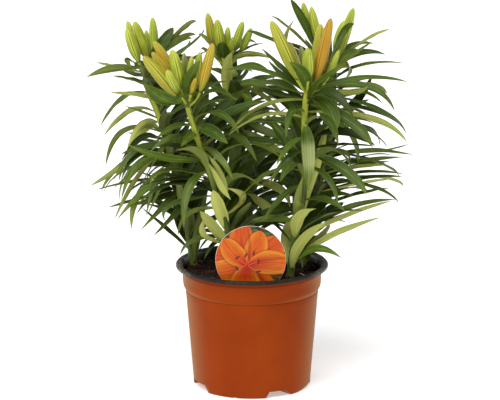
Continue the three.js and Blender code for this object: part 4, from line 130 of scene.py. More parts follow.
# Leaves: shoot, base xyz, bend xyz, tip xyz, width, turn at the base, turn along the leaf, kind, own node.
LEAVES = [
    [0, -136.4, 42.1, 397.4, -177.6, 45.4, 403.6, -209.1, 52, 384.5, 11, 32.3, 89.2, 0, 0],
    [0, -135.6, 42.8, 393.1, -174.5, 64.3, 394.3, -198.7, 93.9, 395.6, 11, 26.8, 20.9, 0, 0],
    [0, -134.5, 43.3, 388.8, -146.1, 57.9, 381.8, -169.7, 82, 394.2, 11, -5.4, -10.8, 1, 0],
    [0, -133.5, 42.6, 378.8, -154.9, 52.1, 383.2, -178.3, 71.9, 382.8, 11, -1.3, -2.7, 1, 0],
    [0, -132.6, 43.2, 375.9, -149.8, 62.3, 380.8, -165.5, 101.9, 374.4, 11, -2.2, -4.3, 1, 0],
    [0, -131.3, 41.4, 367.5, -166.5, 34.9, 374.3, -190.8, 21.7, 327.4, 11, -5.9, -11.7, 1, 0],
    [0, -124.1, 40.7, 343.3, -153.5, 45.1, 357.4, -188.5, 55, 306.8, 11, 31.4, 24.4, 0, 1],
    [0, -119, 38.8, 335, -138.3, 32.6, 344.3, -159.1, 19.4, 355, 11, 9.5, 19.1, 0, 0],
    [0, -115.8, 38.1, 317.1, -174.5, 41.3, 340.6, -185.4, 47.9, 269.5, 11, 32.1, 25, 0, 1],
    [0, -119.3, 37, 329.5, -140.4, 27, 338.7, -156.6, 3.9, 303.3, 11.7, 41.2, 113.7, 0, 1],
    [0, -110.5, 37.9, 307.4, -131.8, 47.2, 310.1, -158.5, 67, 309.9, 11, -5.2, -10.4, 1, 0],
    [0, -111.8, 37.8, 311.6, -171.3, 49.3, 261.9, -206.4, 72.4, 238.7, 11, 30.2, 23.5, 0, 0],
    [0, -110.6, 37.6, 307.4, -176.5, 56.2, 274.2, -193.3, 92.4, 225.9, 11, 7.3, 14.6, 0, 0],
    [0, -98.6, 33.5, 261.3, -168.7, 46.6, 249.1, -200.1, 73, 233.3, 11, -4, -8.1, 1, 0],
    [0, -104.2, 35.6, 283.7, -181.2, 58.8, 266.8, -191.3, 105, 218.8, 11, -12.8, -25.5, 1, 0],
    [0, -108, 36, 297.6, -147.6, 31.7, 267.4, -174.8, 34.5, 202.4, 11, 30.7, 23.8, 0, 0],
    [0, -95, 31.7, 245.8, -150.3, 35.6, 228.1, -183.9, 44.3, 217.5, 11, -6.5, -12.9, 1, 0],
    [0, -106.9, 37.1, 294.8, -173.4, 79.3, 261.4, -169.9, 115.4, 205.6, 11, -41.4, -32.2, 1, 0],
    [0, -103.2, 34.1, 279.5, -157.7, 22.7, 240.3, -151, -0.4, 199.6, 11, 33.3, 92.1, 0, 0],
    [0, -93.9, 29.9, 243, -115, 16, 234.7, -156.5, -13.7, 234.1, 11, -11.5, -23, 1, 0],
    [0, -101.6, 32.6, 282.3, -101.5, 11.1, 277.9, -132.2, -35.1, 224, 11, 12.5, 24.9, 1, 0],
    [0, -92.6, 28.9, 241.6, -98.1, 17.6, 240.8, -140.6, -8.8, 200.5, 11, -7, -14.1, 1, 0],
    [0, -87.3, 27, 224.7, -85.5, 12.5, 227, -124.1, -20.5, 196.4, 11, -3.2, -6.5, 1, 0],
    [0, -79.9, 24.7, 167.8, -109, 32.5, 194, -140.9, 49, 217, 11, -0.9, -1.7, 1, 0],
    [0, -72.4, 17.5, 152.2, -71.5, 15, 195.7, -55.2, 0.5, 251.2, 11.7, -24.4, -19, 0, 1],
    [0, -126.6, 39.5, 358.1, -133.7, 26.9, 368.9, -179.1, 20.6, 372, 11, 31.2, 24.2, 0, 0],
    [0, -108.3, 35.4, 310.2, -98.1, 16.9, 325.6, -141.1, -22.7, 259.5, 11, 21.9, 17, 1, 0],
    [0, -133.2, 41.7, 397.4, -106.5, 36.7, 441.3, -98.5, 50.8, 448.9, 14.3, 42.1, 32.8, 1, 0],
    [0, -133.2, 42.2, 397.4, -78.5, 50.5, 461.5, -69.9, 67, 453.3, 11, -40.9, -31.8, 0, 0],
    [0, -133.2, 42.2, 397.4, -85.7, 47.5, 447.7, -70.3, 50.1, 439.4, 11, -40.6, -31.6, 0, 0],
    [0, -133.5, 41.1, 397.4, -84.9, 7.9, 449.2, -74.8, 14, 442.3, 11, 12.6, 25.3, 1, 0],
    [0, -133, 42.1, 396, -71.5, 47.1, 422.3, -79.2, 57, 431.6, 11, 4.8, 9.6, 1, 0],
    [0, -132.5, 42.3, 393.1, -61.2, 55.7, 429.9, -60.6, 76.9, 442.3, 11, -3.4, -6.9, 1, 0],
    [0, -136.4, 41.8, 397.4, -165.9, 37.9, 420.9, -150.3, 30, 401.4, 11, -7.4, -14.8, 1, 0],
    [0, -131.4, 41.4, 385.9, -110.9, 34.5, 381.9, -137, 20, 392, 11, -38.2, -29.7, 1, 0],
    [1, -82.1, -50.6, 375.1, -112.1, -60.2, 374.3, -133.5, -80, 407.3, 18.2, 31, 85.6, 0, 0],
    [1, -74.3, -50.6, 345.7, -94.6, -61.5, 353.1, -117.9, -84.6, 336.7, 11, -8.6, -17.2, 1, 0],
    [1, -70, -51.1, 336.4, -74, -72.8, 342.5, -87.2, -119, 334.7, 11.7, -22.7, -17.6, 1, 0],
    [1, -67.9, -51.7, 343.1, -50.5, -62.4, 347.6, -29.5, -87.4, 331.1, 15.6, 34.9, 27.1, 1, 1],
    [1, -81.3, -51.8, 380.5, -80.1, -57.5, 408.8, -63.1, -72, 433.1, 14.3, -25.2, -19.6, 3, 0],
    [1, -57, -45.9, 285.3, -87.6, -62.4, 279.2, -83.7, -98.7, 227.5, 11.7, -8.2, -16.4, 1, 1],
    [1, -57.1, -47.6, 303.7, -44.3, -62.2, 277.9, -25.9, -93.9, 261.8, 11.7, -41.2, -113.7, 0, 0],
    [1, -60.2, -47.9, 314.2, -38.2, -57.2, 287.6, -29.6, -77, 266.5, 11, -41.2, -113.7, 0, 0],
    [1, -62.2, -48.7, 319.4, -37.8, -62.9, 313.7, -23.4, -92.6, 286.8, 11, 6.1, 12.2, 1, 0],
    [1, -30.9, -31.5, 204, -43.7, -41.3, 245.3, -48.3, -63.7, 267.1, 17, 17.7, 8.9, 0, 0],
    [1, -32.7, -35.2, 227.5, 11.4, -45.5, 255.7, -32.2, -66.6, 270.3, 11, 25.4, 19.7, 0, 0],
    [1, -24.1, -23.6, 176.7, -52, -31.3, 217.5, -64.7, -47.8, 236.2, 14.3, 43.7, 34, 0, 0],
    [1, -27.3, -26.1, 188.4, -76.7, -30, 191.6, -57.3, -37.9, 227.3, 11, 26.7, 20.8, 0, 0],
    [1, -71.2, -48.6, 347, -57.6, -39.5, 368.3, -54.6, -19.7, 391.7, 11.7, 8.8, 17.7, 1, 0],
    [1, -80, -49.5, 380.5, -42.6, -38.1, 400.4, -31.1, -15, 393.8, 11, -1, -2, 1, 0],
    [1, -45.9, -39.3, 253.7, -123.9, -42.6, 247.5, -107, -49.2, 222.5, 11, -9.4, -18.9, 1, 0],
    [1, -52.9, -42.9, 277.4, -120, -47.8, 303.2, -125.8, -76.6, 276.6, 11, -6.2, -12.3, 1, 0],
    [1, -68.9, -48.6, 327.2, -101.4, -52.5, 340.5, -126, -60.4, 314.6, 11, -10, -19.9, 1, 0],
    [1, -40.8, -36.6, 236.7, -89.3, -43, 241.7, -92, -56.2, 206.3, 11, 41.4, 32.2, 0, 0],
    [1, -29.2, -27.1, 196.2, -82.1, -10.8, 198.5, -90.5, -14.2, 169.4, 11, -13, -26.1, 1, 0],
    [2, -30.1, 59.1, 385.7, -18.6, 51.5, 377, -37, 35, 413.1, 16.9, 6.1, 12.2, 0, 0],
    [2, -33.7, 58.5, 402.6, -38.3, 41.6, 424.6, -35.7, 34.6, 433.7, 16.9, -3.1, -6.2, 3, 0],
    [2, -32.2, 61.3, 402.6, -9.9, 89.3, 437.3, 7.6, 87.5, 418.9, 11, 9.8, 19.5, 1, 0],
    [2, -31.9, 60.9, 402.6, -10.6, 74.4, 420.7, 19.1, 99.8, 419.6, 11, -2, -4, 1, 0],
    [2, -31.5, 59.8, 401.2, -6.1, 56.6, 421.2, 25.2, 50, 409.3, 11, -38.9, -30.2, 0, 0],
    [2, -34.7, 59.3, 402.6, -63.1, 45.3, 445, -66.6, 57.6, 437.9, 11, 24.1, 18.7, 0, 0],
    [2, -34.8, 60.1, 402.6, -65.3, 61.7, 421.7, -63, 65, 419.7, 11, -5.9, -11.8, 1, 0],
    [2, -30.3, 60.3, 389.9, 15.3, 66.8, 412.9, 31.7, 80, 367.4, 11, 10.6, 21.3, 1, 0],
    [2, -28.5, 60.5, 371.6, -1.9, 70.1, 380.6, -6.3, 89.9, 395.1, 11, -9, -18, 1, 0],
    [2, -28.9, 59.9, 377.2, 21.1, 56, 364.1, 39.1, 48, 334.4, 11, -33.6, -26.2, 0, 0],
    [2, -28.8, 59.2, 374.4, -20.1, 54.9, 373.5, -50.4, 45, 340.2, 11, -4.7, -9.4, 1, 0],
    [2, -28.2, 59.1, 368.8, 13.7, 42.8, 362.1, -17.5, 9.8, 340.4, 11, -2.9, -5.9, 1, 0],
    [2, -24.6, 56.4, 323.6, -14.1, 47.5, 349.8, -56.5, 27.7, 353.1, 11, 14.6, 29.1, 0, 0],
    [2, -24.5, 55.1, 312.3, -18.4, 40.1, 341, -58.8, 7.1, 348.8, 11, 10.9, 21.8, 0, 0],
    [2, -23.8, 56.7, 318, 14.3, 42.1, 307.2, 47.7, 12.4, 289.7, 11.7, -41.2, -113.7, 0, 0],
    [2, -24.8, 57.6, 330.7, 21.7, 46.2, 314.7, 49, 23.1, 309.1, 11.7, 40.3, 31.3, 1, 0],
    [2, -22.7, 55.3, 302.5, 0.8, 39.5, 297.5, -37.6, 6.5, 291.1, 11, 41.2, 113.7, 0, 0],
    [2, -20.5, 52.7, 271.4, -5.4, 35.8, 273.9, -37.6, -0.5, 285, 11.7, 32.6, 90, 0, 0],
    [2, -22, 59.5, 277.1, -18.5, 88.2, 246.6, -1.2, 27, 244.7, 11.7, 11.1, 22.2, 1, 1],
    [2, -15.6, 50.1, 243.3, 14.5, 32.2, 221.3, 36.4, -7.4, 219.6, 13, -41.2, -113.7, 0, 1],
    [2, -18.3, 51.5, 248.9, 46.7, 1.7, 265, 47.7, -6.8, 229.7, 11.7, -41.2, -113.7, 0, 0],
    [2, -19.1, 51.1, 251.7, -6.9, 32.8, 252.8, -36.3, -6.8, 262.1, 11, 36.4, 28.3, 0, 0],
    [2, -32.3, 59, 380, -34.3, 57.4, 394.7, -51.6, 50.5, 395.7, 11, -10.3, -20.6, 1, 0],
    [2, -21.7, 54.4, 289.8, 4.3, 36, 291.7, 5, -2.3, 267.4, 11, -3.8, -7.6, 1, 0],
    [3, 69.3, -45.7, 383.8, 108.8, -57.9, 373.8, 99.4, -83, 340.1, 19.5, 14.7, 29.4, 1, 0],
    [3, 70.7, -46, 372.8, 134.4, -60.3, 356.8, 147.8, -90, 327.3, 14.3, 36.4, 28.3, 1, 1],
    [3, 66.1, -47.2, 346.5, 70.7, -61.9, 319.2, 69.4, -94.9, 273.5, 17.5, -4.5, -9.1, 1, 0],
    [3, 64.2, -40.3, 228, 81.8, -38.2, 294.1, 95.7, -18.6, 350.7, 12.4, -41.2, -113.7, 0, 1],
    [3, 56.1, -43.1, 219.8, 54, -47.2, 249.2, 63.1, -60.4, 284.1, 11, -1, -2, 0, 0],
    [3, 67.5, -47.2, 386.6, 68.8, -68.9, 419, 44.9, -101.8, 436.8, 15.6, 13, 25.9, 3, 0],
    [3, 65.2, -44.4, 386.6, 21.2, -31.2, 439.3, 52.7, -47.7, 479.3, 11, 8.7, 17.4, 0, 0],
    [3, 65.3, -44.3, 386.6, 32.4, -32.7, 419.9, 11.1, -16.8, 436.6, 11, -4.2, -8.5, 1, 0],
    [3, 65.6, -44.1, 389.3, 35.5, -29.7, 402.7, 19.9, 0, 417.9, 11, -0.8, -1.7, 1, 0],
    [3, 64.3, -45.4, 376.9, 5.5, -55.2, 382.3, -28.3, -75, 342, 11, 32.8, 25.5, 0, 0],
    [3, 63.1, -45.6, 354.8, 12.1, -60.3, 373.9, -30.7, -90, 341.1, 11, 26.9, 20.9, 0, 0],
    [3, 65.2, -44.6, 386.6, 10.8, -34.8, 426.7, -39.7, -15, 405.9, 11, -6.2, -12.4, 1, 0],
    [3, 64.8, -44.6, 382.4, 27.6, -38.2, 401.8, -8.7, -25, 395.3, 11, -8.1, -16.3, 1, 0],
    [3, 64.4, -44.3, 376.9, 23.7, -31.4, 381.8, 0, -5, 387.8, 11, -8.1, -16.2, 1, 0],
    [3, 63.4, -44, 285.6, 25.1, -53.6, 305, -17.3, -73.4, 256.7, 11, -1.9, -3.8, 1, 0],
    [3, 54.4, -40.5, 219.8, 23.6, -42.1, 231.1, -5, -45.4, 218.9, 11, -28.1, -21.8, 1, 0],
    [3, 46.3, -31.1, 162.4, 33.8, -8.3, 215.5, 73.6, -32.5, 231.7, 15.6, -33.3, -91.9, 0, 1],
    [3, 50.1, -41.4, 159.7, 51.2, -46.1, 199.9, 92.9, -65.9, 226.8, 13.7, -43.9, -34.1, 0, 1],
    [3, 55.8, -37.5, 173.4, 98.5, -42.9, 209.7, 161.4, -54.8, 230.3, 11, -41.5, -32.3, 0, 1],
    [3, 52.3, -37.8, 165.2, 76.4, -50.6, 205.1, 111.6, -72.7, 181.7, 11, 41.3, 32.1, 1, 0],
    [3, 56.9, -38.7, 199.4, 112.1, -35.5, 248.2, 180.9, -28.9, 246.3, 11, 14.1, 28.2, 1, 0],
    [3, 56.6, -38.9, 196.7, 117.9, -43.8, 234.5, 173.7, -53.7, 250.8, 11, -33, -25.7, 0, 0],
    [3, 53.7, -36.8, 174.8, 93.5, -35.8, 200.1, 97.3, -36.6, 219.2, 11, -39.5, -30.7, 0, 0],
    [3, 71.7, -45.1, 310.5, 125.7, -57.5, 292.6, 141.7, -83.9, 266.3, 14.3, 35.9, 27.9, 1, 1],
    [3, 69.9, -45.2, 390.7, 158.8, -55.2, 414.2, 175.5, -75, 367.9, 11, 23.8, 18.5, 1, 0],
    [3, 69.9, -45.4, 390.7, 131.3, -55.2, 381.2, 142.4, -67.4, 399.5, 11, -39.2, -30.5, 0, 0],
    [3, 69.8, -44.8, 389.3, 143.2, -38.2, 413.8, 194.5, -25, 394.7, 11, 9.1, 18.3, 1, 0],
    [3, 67.8, -45.2, 361.7, 167.6, -51.8, 365.2, 191.7, -65, 327.1, 11, -41.6, -32.3, 0, 0],
    [3, 63.6, -45.7, 328.5, 46.2, -54.7, 328.5, 29.5, -74.5, 300.2, 11, -3.8, -7.5, 1, 0],
    [3, 64.4, -45.2, 313.3, 43.3, -56.5, 313.6, 19.7, -68.8, 273.4, 11, -7.4, -14.8, 1, 0],
    [3, 61.5, -43.2, 266.3, 41.1, -46.8, 265.8, 12.4, -54.7, 223.9, 11, -12, -24.1, 1, 0],
    [3, 64.8, -43.1, 248.5, 94.3, -55.8, 260.2, 116.3, -69.5, 240.4, 11, 12.3, 24.6, 1, 0],
    [3, 69, -43.9, 292.6, 102, -48.6, 283.9, 106.6, -58.5, 245.3, 11, 9.7, 19.5, 1, 0],
    [4, 95.1, 51.8, 394.7, 55.4, 46.3, 477.7, 48.1, 40.5, 487.3, 11.7, -35, -96.8, 1, 0],
    [4, 94.3, 51.9, 400.4, 38.3, 46.9, 459.8, 23.1, 37, 467, 11, 8.4, 16.9, 0, 0],
    [4, 97.1, 51, 400.4, 115.6, 35, 459.9, 128.6, 28.3, 457.9, 11, 32.2, 88.8, 1, 0],
    [4, 94.3, 52.1, 400.4, -5.2, 55.4, 447.7, -5, 62, 441.5, 11, -7.3, -14.6, 1, 0],
    [4, 97.5, 52.2, 400.4, 157.1, 58.8, 443.2, 174.1, 72, 442, 11, -27.5, -21.4, 0, 0],
    [4, 97.5, 52.8, 399, 127, 68.4, 433.2, 154.9, 96.4, 418.4, 11, 9.3, 18.5, 1, 0],
    [4, 99.3, 51.9, 389, 134.8, 48.7, 420.2, 150.5, 42.1, 432.8, 11, -11.7, -23.4, 0, 0],
    [4, 98.2, 52.9, 394.7, 139.6, 76.3, 422.8, 169.8, 84.4, 406.6, 11, 22.7, 17.7, 1, 0],
    [4, 99.6, 51.4, 386.2, 118.1, 43.1, 422.4, 132.8, 35.7, 424.5, 11.7, 35.7, 98.6, 1, 0],
    [4, 100.9, 52.4, 379.1, 132.4, 57.3, 409.2, 195.7, 67.2, 399.3, 11, 3.8, 7.5, 1, 0],
    [4, 98.1, 51.2, 394.7, 137.1, 26.1, 416.5, 114.1, -18.1, 395.1, 11, -40.4, -31.4, 0, 0],
    [4, 100.4, 50.1, 327.7, 139.9, 56.6, 351.7, 152.4, 69.8, 385.2, 11.7, 36.8, 28.6, 1, 0],
    [4, 101.8, 52.2, 370.5, 162.5, 57.2, 379, 170.8, 67.1, 359.9, 11, -42.2, -32.9, 0, 0],
    [4, 101.7, 52.7, 356.2, 120.5, 66.8, 359.6, 145.1, 96.5, 361.2, 11, -27.6, -76.1, 0, 0],
    [4, 102, 51.3, 360.5, 182, 32.5, 349, 196.3, 59.1, 308.5, 11, 9.7, 19.3, 1, 0],
    [4, 102.2, 51.1, 350.5, 168.5, 44.1, 347.6, 194.2, 70.9, 313.6, 11, 10.1, 20.2, 1, 0],
    [4, 100.7, 49.7, 330.5, 136.2, 43.2, 314.5, 133.7, 30, 275.1, 11, 3.9, 7.7, 1, 0],
    [4, 93.3, 46.1, 279.5, 137.5, 52.6, 297.5, 206.4, 65.8, 280.9, 11, 10.7, 21.3, 1, 0],
    [4, 91, 44.5, 266.9, 137.8, 42.9, 281.5, 192, 39.6, 284.5, 11, 9, 18, 1, 0],
    [4, 88.8, 44.2, 255.6, 141.7, 57.2, 276.7, 178.6, 83.6, 267.5, 11, 4.8, 9.5, 1, 0],
    [4, 89.9, 43.6, 261.2, 138.2, 33.9, 276.2, 170.9, 14.1, 280.2, 11, -26.9, -20.9, 0, 0],
    [4, 95.5, 47.1, 292.2, 192.7, 54.8, 269.1, 186.8, 92.7, 244.3, 11, 9.6, 19.3, 1, 0],
    [4, 88.6, 43.6, 254.2, 153.7, 46.9, 269.8, 194.1, 53.5, 258.4, 11, 3.8, 7.6, 1, 0],
    [4, 86.4, 43, 243, 153.2, 56.1, 259.3, 194.1, 82.5, 248, 11, 5.8, 11.7, 1, 0],
    [4, 85.6, 42.1, 238.7, 157.2, 38.8, 253.9, 174.3, 32.2, 257.7, 11, -14.6, -29.3, 0, 0],
    [4, 89.3, 44.8, 258.4, 191.3, 87.7, 250, 195.4, 140.3, 221.4, 11, -9.7, -19.4, 0, 0],
    [4, 93.3, 45.5, 279.5, 116.8, 42.4, 302.5, 125, 35.8, 280.2, 11, 8.8, 17.6, 1, 0],
    [4, 88.5, 42.9, 254.2, 167.1, 21.1, 255.5, 184.8, 4, 233.5, 11, 2.8, 5.5, 1, 0],
    [4, 81.2, 40.5, 217.7, 141.4, 47, 239.8, 176.7, 60.2, 239.1, 11, 3.5, 7, 1, 0],
    [4, 99.3, 49.5, 317.7, 163.9, 64, 331.9, 162.6, 66.4, 287.3, 11, 7.5, 15, 1, 0],
    [4, 99.5, 50.1, 320.5, 153.3, 74, 323, 174.6, 81.9, 283.6, 11, 8.9, 17.8, 1, 0],
    [4, 95.2, 48, 292.2, 158.3, 86.6, 272.9, 200.3, 60.5, 297.1, 11, -21.9, -17.1, 0, 0],
    [0, -77.6, 26.9, 167.7, -71.8, 55.3, 203.1, -90.6, 98.6, 209.7, 17, 3.3, 21.7, 2, 0],
    [0, -78.8, 27.4, 173.1, -96.8, 45.6, 210.2, -96.3, 91.9, 216, 17.3, -9.9, 30.8, 2, 0],
    [0, -76.2, 25.9, 178.5, -56, 42.9, 207.7, -15.3, 44.4, 214.6, 14.1, 6.4, 14.4, 2, 0],
    [0, -80.1, 22.7, 183.9, -80.3, 2.3, 220.7, -84.7, -35.3, 242, 17.8, 3, -16.3, 2, 0],
    [0, -82, 28.7, 189.3, -87.3, 49.7, 231.2, -109, 84.7, 256.8, 14.2, -4.1, 13.8, 2, 0],
    [0, -80.8, 29.3, 194.8, -72.3, 58.2, 218.7, -59, 96.5, 222.6, 15.6, 7.6, 2.3, 2, 0],
    [0, -80, 25.7, 200.2, -48.9, 14.2, 249, 1.7, -18.8, 253.9, 14.1, 7.5, 18.1, 2, 0],
    [0, -82.6, 30.2, 205.6, -66.4, 69.5, 237.1, -47.8, 121.3, 241, 17.4, 2.6, 21.2, 2, 0],
    [0, -84.5, 30.9, 211, -96.6, 67.7, 268.5, -76.4, 121.6, 227.2, 14.9, -0.4, 26.1, 2, 0],
    [0, -86.3, 26, 216.4, -89.3, 4.6, 254.2, -95.4, -35, 274.6, 13.6, -5.5, -36.6, 2, 0],
    [0, -86.4, 31.9, 221.8, -77.3, 70.2, 261.8, -63.9, 126.1, 269.5, 16.9, 11.2, -2.8, 2, 0],
    [0, -88.6, 32.5, 227.2, -88.6, 62, 258.3, -99, 105.6, 259.8, 17.2, -2.7, 1.4, 2, 0],
    [0, -87.4, 31.9, 232.6, -60, 40.5, 284.1, -24.1, 83.7, 305.5, 17.4, 10.7, 2.8, 2, 0],
    [0, -88.1, 30.5, 238, -46.1, 10.7, 261.5, 3.8, 17.4, 241.6, 16.1, -2.1, 35, 2, 0],
    [0, -91.1, 33.8, 243.4, -76.2, 48.3, 282.6, -70.2, 91.9, 294.2, 16.8, 0.4, -14.8, 2, 0],
    [0, -92.9, 34.4, 248.9, -102.8, 75.8, 310.4, -81.5, 126.7, 257.8, 15.1, 1.2, 26.2, 2, 0],
    [0, -94.5, 29.8, 254.3, -92.9, 1.5, 308.5, -93.9, -60.9, 308.2, 15.4, 9.7, -16.1, 2, 0],
    [0, -95.1, 35.3, 259.7, -101.3, 65.2, 299.8, -74.5, 105.4, 318.4, 17.8, 3.6, -31.7, 2, 0],
    [0, -97.5, 35.7, 265.1, -112.8, 55.3, 308.1, -106.8, 105.1, 316.6, 14.1, -3.7, -39.5, 2, 0],
    [0, -98.5, 31.4, 270.5, -103.5, 7.5, 316.6, -95.3, -45, 311.7, 17, -8.2, -35.9, 2, 0],
    [0, -98, 35.7, 275.9, -68.7, 39.3, 310.6, -41.6, 74.8, 325.3, 14.5, 8.9, 13.2, 2, 0],
    [0, -99.2, 35.7, 281.3, -78.4, 60.6, 330.5, -18.8, 67.8, 333.2, 17, -4.6, 25.1, 2, 0],
    [0, -100.5, 34.7, 286.7, -62.1, 24.7, 325.1, -22.1, 16.8, 285.4, 15.2, 2.4, 32.2, 2, 0],
    [0, -103.4, 37.8, 292.1, -93.5, 67, 338.2, -67.1, 117.1, 337.1, 16.6, -8.2, 10.9, 2, 0],
    [0, -104, 34.9, 297.6, -62.1, 23, 336.9, -20.9, -20.9, 335.6, 14.6, 8.9, 18.8, 2, 0],
    [0, -107, 34.4, 303, -116.7, 2.8, 353.2, -94.6, -53.8, 361.6, 13.9, -4.1, -15.2, 2, 0],
    [0, -107.4, 38.8, 308.4, -97.8, 67.8, 344, -57.9, 93.4, 353.1, 17.6, 5.8, 4.9, 2, 0],
    [0, -110.9, 39.8, 313.8, -115.4, 57.3, 349.6, -123.5, 93, 368.4, 14.4, -7.1, 23.1, 2, 0],
    [0, -110.3, 39.2, 319.2, -88.7, 64.6, 369.7, -32.7, 89.3, 362.2, 16.3, -3.7, -7, 2, 0],
    [0, -111.9, 37.6, 324.6, -78, 7.3, 361.5, -20.5, -8, 352.5, 14.5, 0.4, 16.4, 2, 0],
    [0, -113.5, 38.7, 330, -75.6, 23.5, 369.4, -19.3, 27, 355.4, 17.3, 9.5, -6.7, 2, 0],
    [0, -115.3, 39.9, 335.4, -94.5, 51.5, 371.9, -51.9, 56.8, 384.8, 15.4, 9.3, 32, 2, 0],
    [0, -117.6, 41.3, 340.8, -99.1, 61.9, 392.8, -57, 104.3, 392.1, 16.6, 11.8, 11.4, 2, 0],
    [0, -120.5, 42.1, 346.2, -121.3, 70.1, 390.2, -97.4, 117.5, 392.3, 17.4, -4.6, 21.7, 2, 0],
    [0, -121.6, 41.7, 351.7, -98.7, 54.9, 401.1, -53.8, 88.1, 412.3, 15.6, -7.7, -9.6, 2, 0],
    [0, -125.4, 39.1, 357.1, -137.5, 20.2, 398.9, -125.7, -26.4, 394.8, 12.7, -8, -21.3, 2, 0],
    [0, -128, 43.2, 362.5, -125.4, 72.9, 396.5, -148, 113.4, 394.5, 14, 0.8, -4.4, 2, 0],
    [0, -127.9, 42.5, 367.9, -114.2, 52.6, 411.3, -70, 68, 404.4, 13.2, -3.9, -5.2, 2, 0],
    [0, -129.8, 43.1, 373.3, -109.3, 47.2, 423.7, -79.8, 88.4, 401.8, 14.6, 0.2, -34.7, 2, 0],
    [0, -132.2, 40.2, 378.7, -139.2, 19, 420.5, -144.8, -27.9, 410.9, 13.9, -4.1, -25.2, 2, 0],
    [0, -131, 41.6, 384.1, -102.3, 45.9, 417.2, -61, 28.2, 412.4, 14.2, 8.9, 1.5, 2, 0],
    [1, -19.7, -17.4, 167.5, -24.1, 2.2, 202.9, -36.2, 42.7, 199.7, 17.5, 6.4, -3.7, 2, 0],
    [1, -19.3, -18.7, 172.5, -7, 10.3, 208.1, -1.6, 58.5, 218.5, 16.2, -1.2, 17.5, 2, 0],
    [1, -20.7, -20, 177.5, -16.8, 0.3, 218.1, -7.1, 44.1, 232.3, 13.6, -1.5, 19.5, 2, 0],
    [1, -22.5, -28.3, 187.5, 2, -43.3, 224, 14, -87.4, 239.9, 14.9, 0.7, 5.6, 2, 0],
    [1, -26.1, -24, 192.5, -24.7, 8.2, 245, -45.4, 67.7, 240.9, 15.9, -1.7, -35.5, 2, 0],
    [1, -24, -27.4, 197.5, 15.9, -27.9, 238.3, 65.2, 2.6, 227, 16.1, 11.9, 34.3, 2, 0],
    [1, -27, -32, 202.5, -7.4, -45, 240.5, -1.8, -87.4, 257.5, 15.3, 11.2, -1.2, 2, 0],
    [0, -113.8, 38.4, 318.5, -133.1, 43.1, 339.5, -157, 55.3, 291.2, 14, 27, 74.6, 0, 0],
    [1, -31.3, -29.9, 217.5, -15.2, 0.7, 252.8, 1.6, 47.8, 264.9, 14, 7.5, -5.1, 2, 0],
    [0, -108, 36.3, 297.6, -147.6, 38, 311.7, -173.6, 15.5, 260.5, 12, -14.1, -28.1, 1, 0],
    [1, -35.4, -33.1, 232.4, -25.7, -3.5, 271.1, 7.2, 35.5, 276.5, 17.7, -7.2, 0.4, 2, 0],
    [1, -39.6, -33.9, 237.4, -48.3, -6.7, 281.5, -73.2, 33.7, 255.7, 13.6, -3.3, 9, 2, 0],
    [1, -38.7, -34.7, 242.4, -24.5, -10.2, 290.9, -4.3, 39.3, 312.5, 15.2, 3.5, 39.2, 2, 0],
    [1, -39.3, -36.4, 247.4, -9.6, -27.8, 297.4, 28.8, 18.5, 296.5, 16.4, -11.5, 25.7, 2, 0],
    [1, -41.2, -40.9, 252.4, -20.6, -61.4, 306.9, 15.4, -102.8, 276, 15.7, -8.9, -34.5, 2, 0],
    [1, -47, -40.1, 257.4, -97.7, -41.9, 288.8, -141.3, -54, 246.6, 17.3, -9.2, 5.1, 2, 0],
    [1, -45.4, -37.9, 262.4, -34.8, -6.9, 304, -29.9, 47.2, 309.3, 17.8, -5.6, -12.5, 2, 0],
    [1, -44.8, -41.6, 267.4, -16.5, -30.9, 315.8, 37.2, -53.1, 321, 14, 6.9, 15.6, 2, 0],
    [1, -49.2, -39.4, 272.4, -63.1, -5.2, 326.1, -58.2, 58.1, 305.9, 14.5, 3, -14, 2, 0],
    [1, -49, -40.7, 277.4, -32.5, -18.8, 325, 0.4, 26.5, 320.6, 14.8, -0.8, -1.8, 2, 0],
    [1, -54.9, -45.9, 287.4, -66.4, -63.6, 328.3, -94, -101.8, 325.3, 17.9, -1.6, 35.9, 2, 0],
    [1, -52.6, -44.9, 292.4, -14.2, -48, 347, 38.5, -60, 305.3, 15.9, -10.3, 18, 2, 0],
    [1, -54.2, -44.6, 297.4, -33.1, -33.4, 340.8, 13.6, -28.5, 359.9, 15.3, 8.5, -0.9, 2, 0],
    [1, -56.7, -43.7, 302.4, -39.3, -11.4, 362.2, -6.1, 27.7, 312.3, 14.6, 2.7, -29.2, 2, 0],
    [1, -62.1, -46.5, 307.4, -112.3, -36.7, 330.6, -163, -56.8, 310.5, 16.9, -6.6, -12.2, 2, 0],
    [1, -59.7, -45.5, 312.4, -37.9, -23.8, 353.9, 8.1, 1.8, 361.2, 14.2, -2.4, 14.2, 2, 0],
    [1, -61.6, -48.8, 317.4, -20.8, -69.8, 363.6, 5.9, -102.8, 312.1, 15.6, -1.3, 14.2, 2, 0],
    [1, -63.5, -46.3, 322.4, -41.5, -28.4, 365.5, -7.9, 10.4, 378.7, 17.6, 11.6, 14.8, 2, 0],
    [1, -64.6, -48.7, 327.4, -16.4, -43.8, 357.1, 39.8, -59.9, 352, 16.8, -3.8, 8.3, 2, 0],
    [1, -66.4, -48.1, 332.4, -30.7, -33.9, 365.4, 19, -18.2, 370, 17.2, 6.8, 18.1, 2, 0],
    [1, -69.7, -47, 337.4, -74.9, -9.5, 373.7, -61.2, 42.1, 381.7, 17, 4.4, 20.9, 2, 0],
    [1, -70.4, -47.6, 342.4, -50.5, -28.6, 381.3, -37, 10.2, 355, 15, 2.7, 6.9, 2, 0],
    [1, -71.2, -50.8, 347.3, -54.2, -53.7, 391.6, -17, -83.8, 385.8, 13.1, 1, 31.9, 2, 0],
    [1, -72.8, -51.3, 352.3, -40.7, -71.2, 383.5, -15.6, -92.9, 345.3, 13.2, -1.1, 25.7, 2, 0],
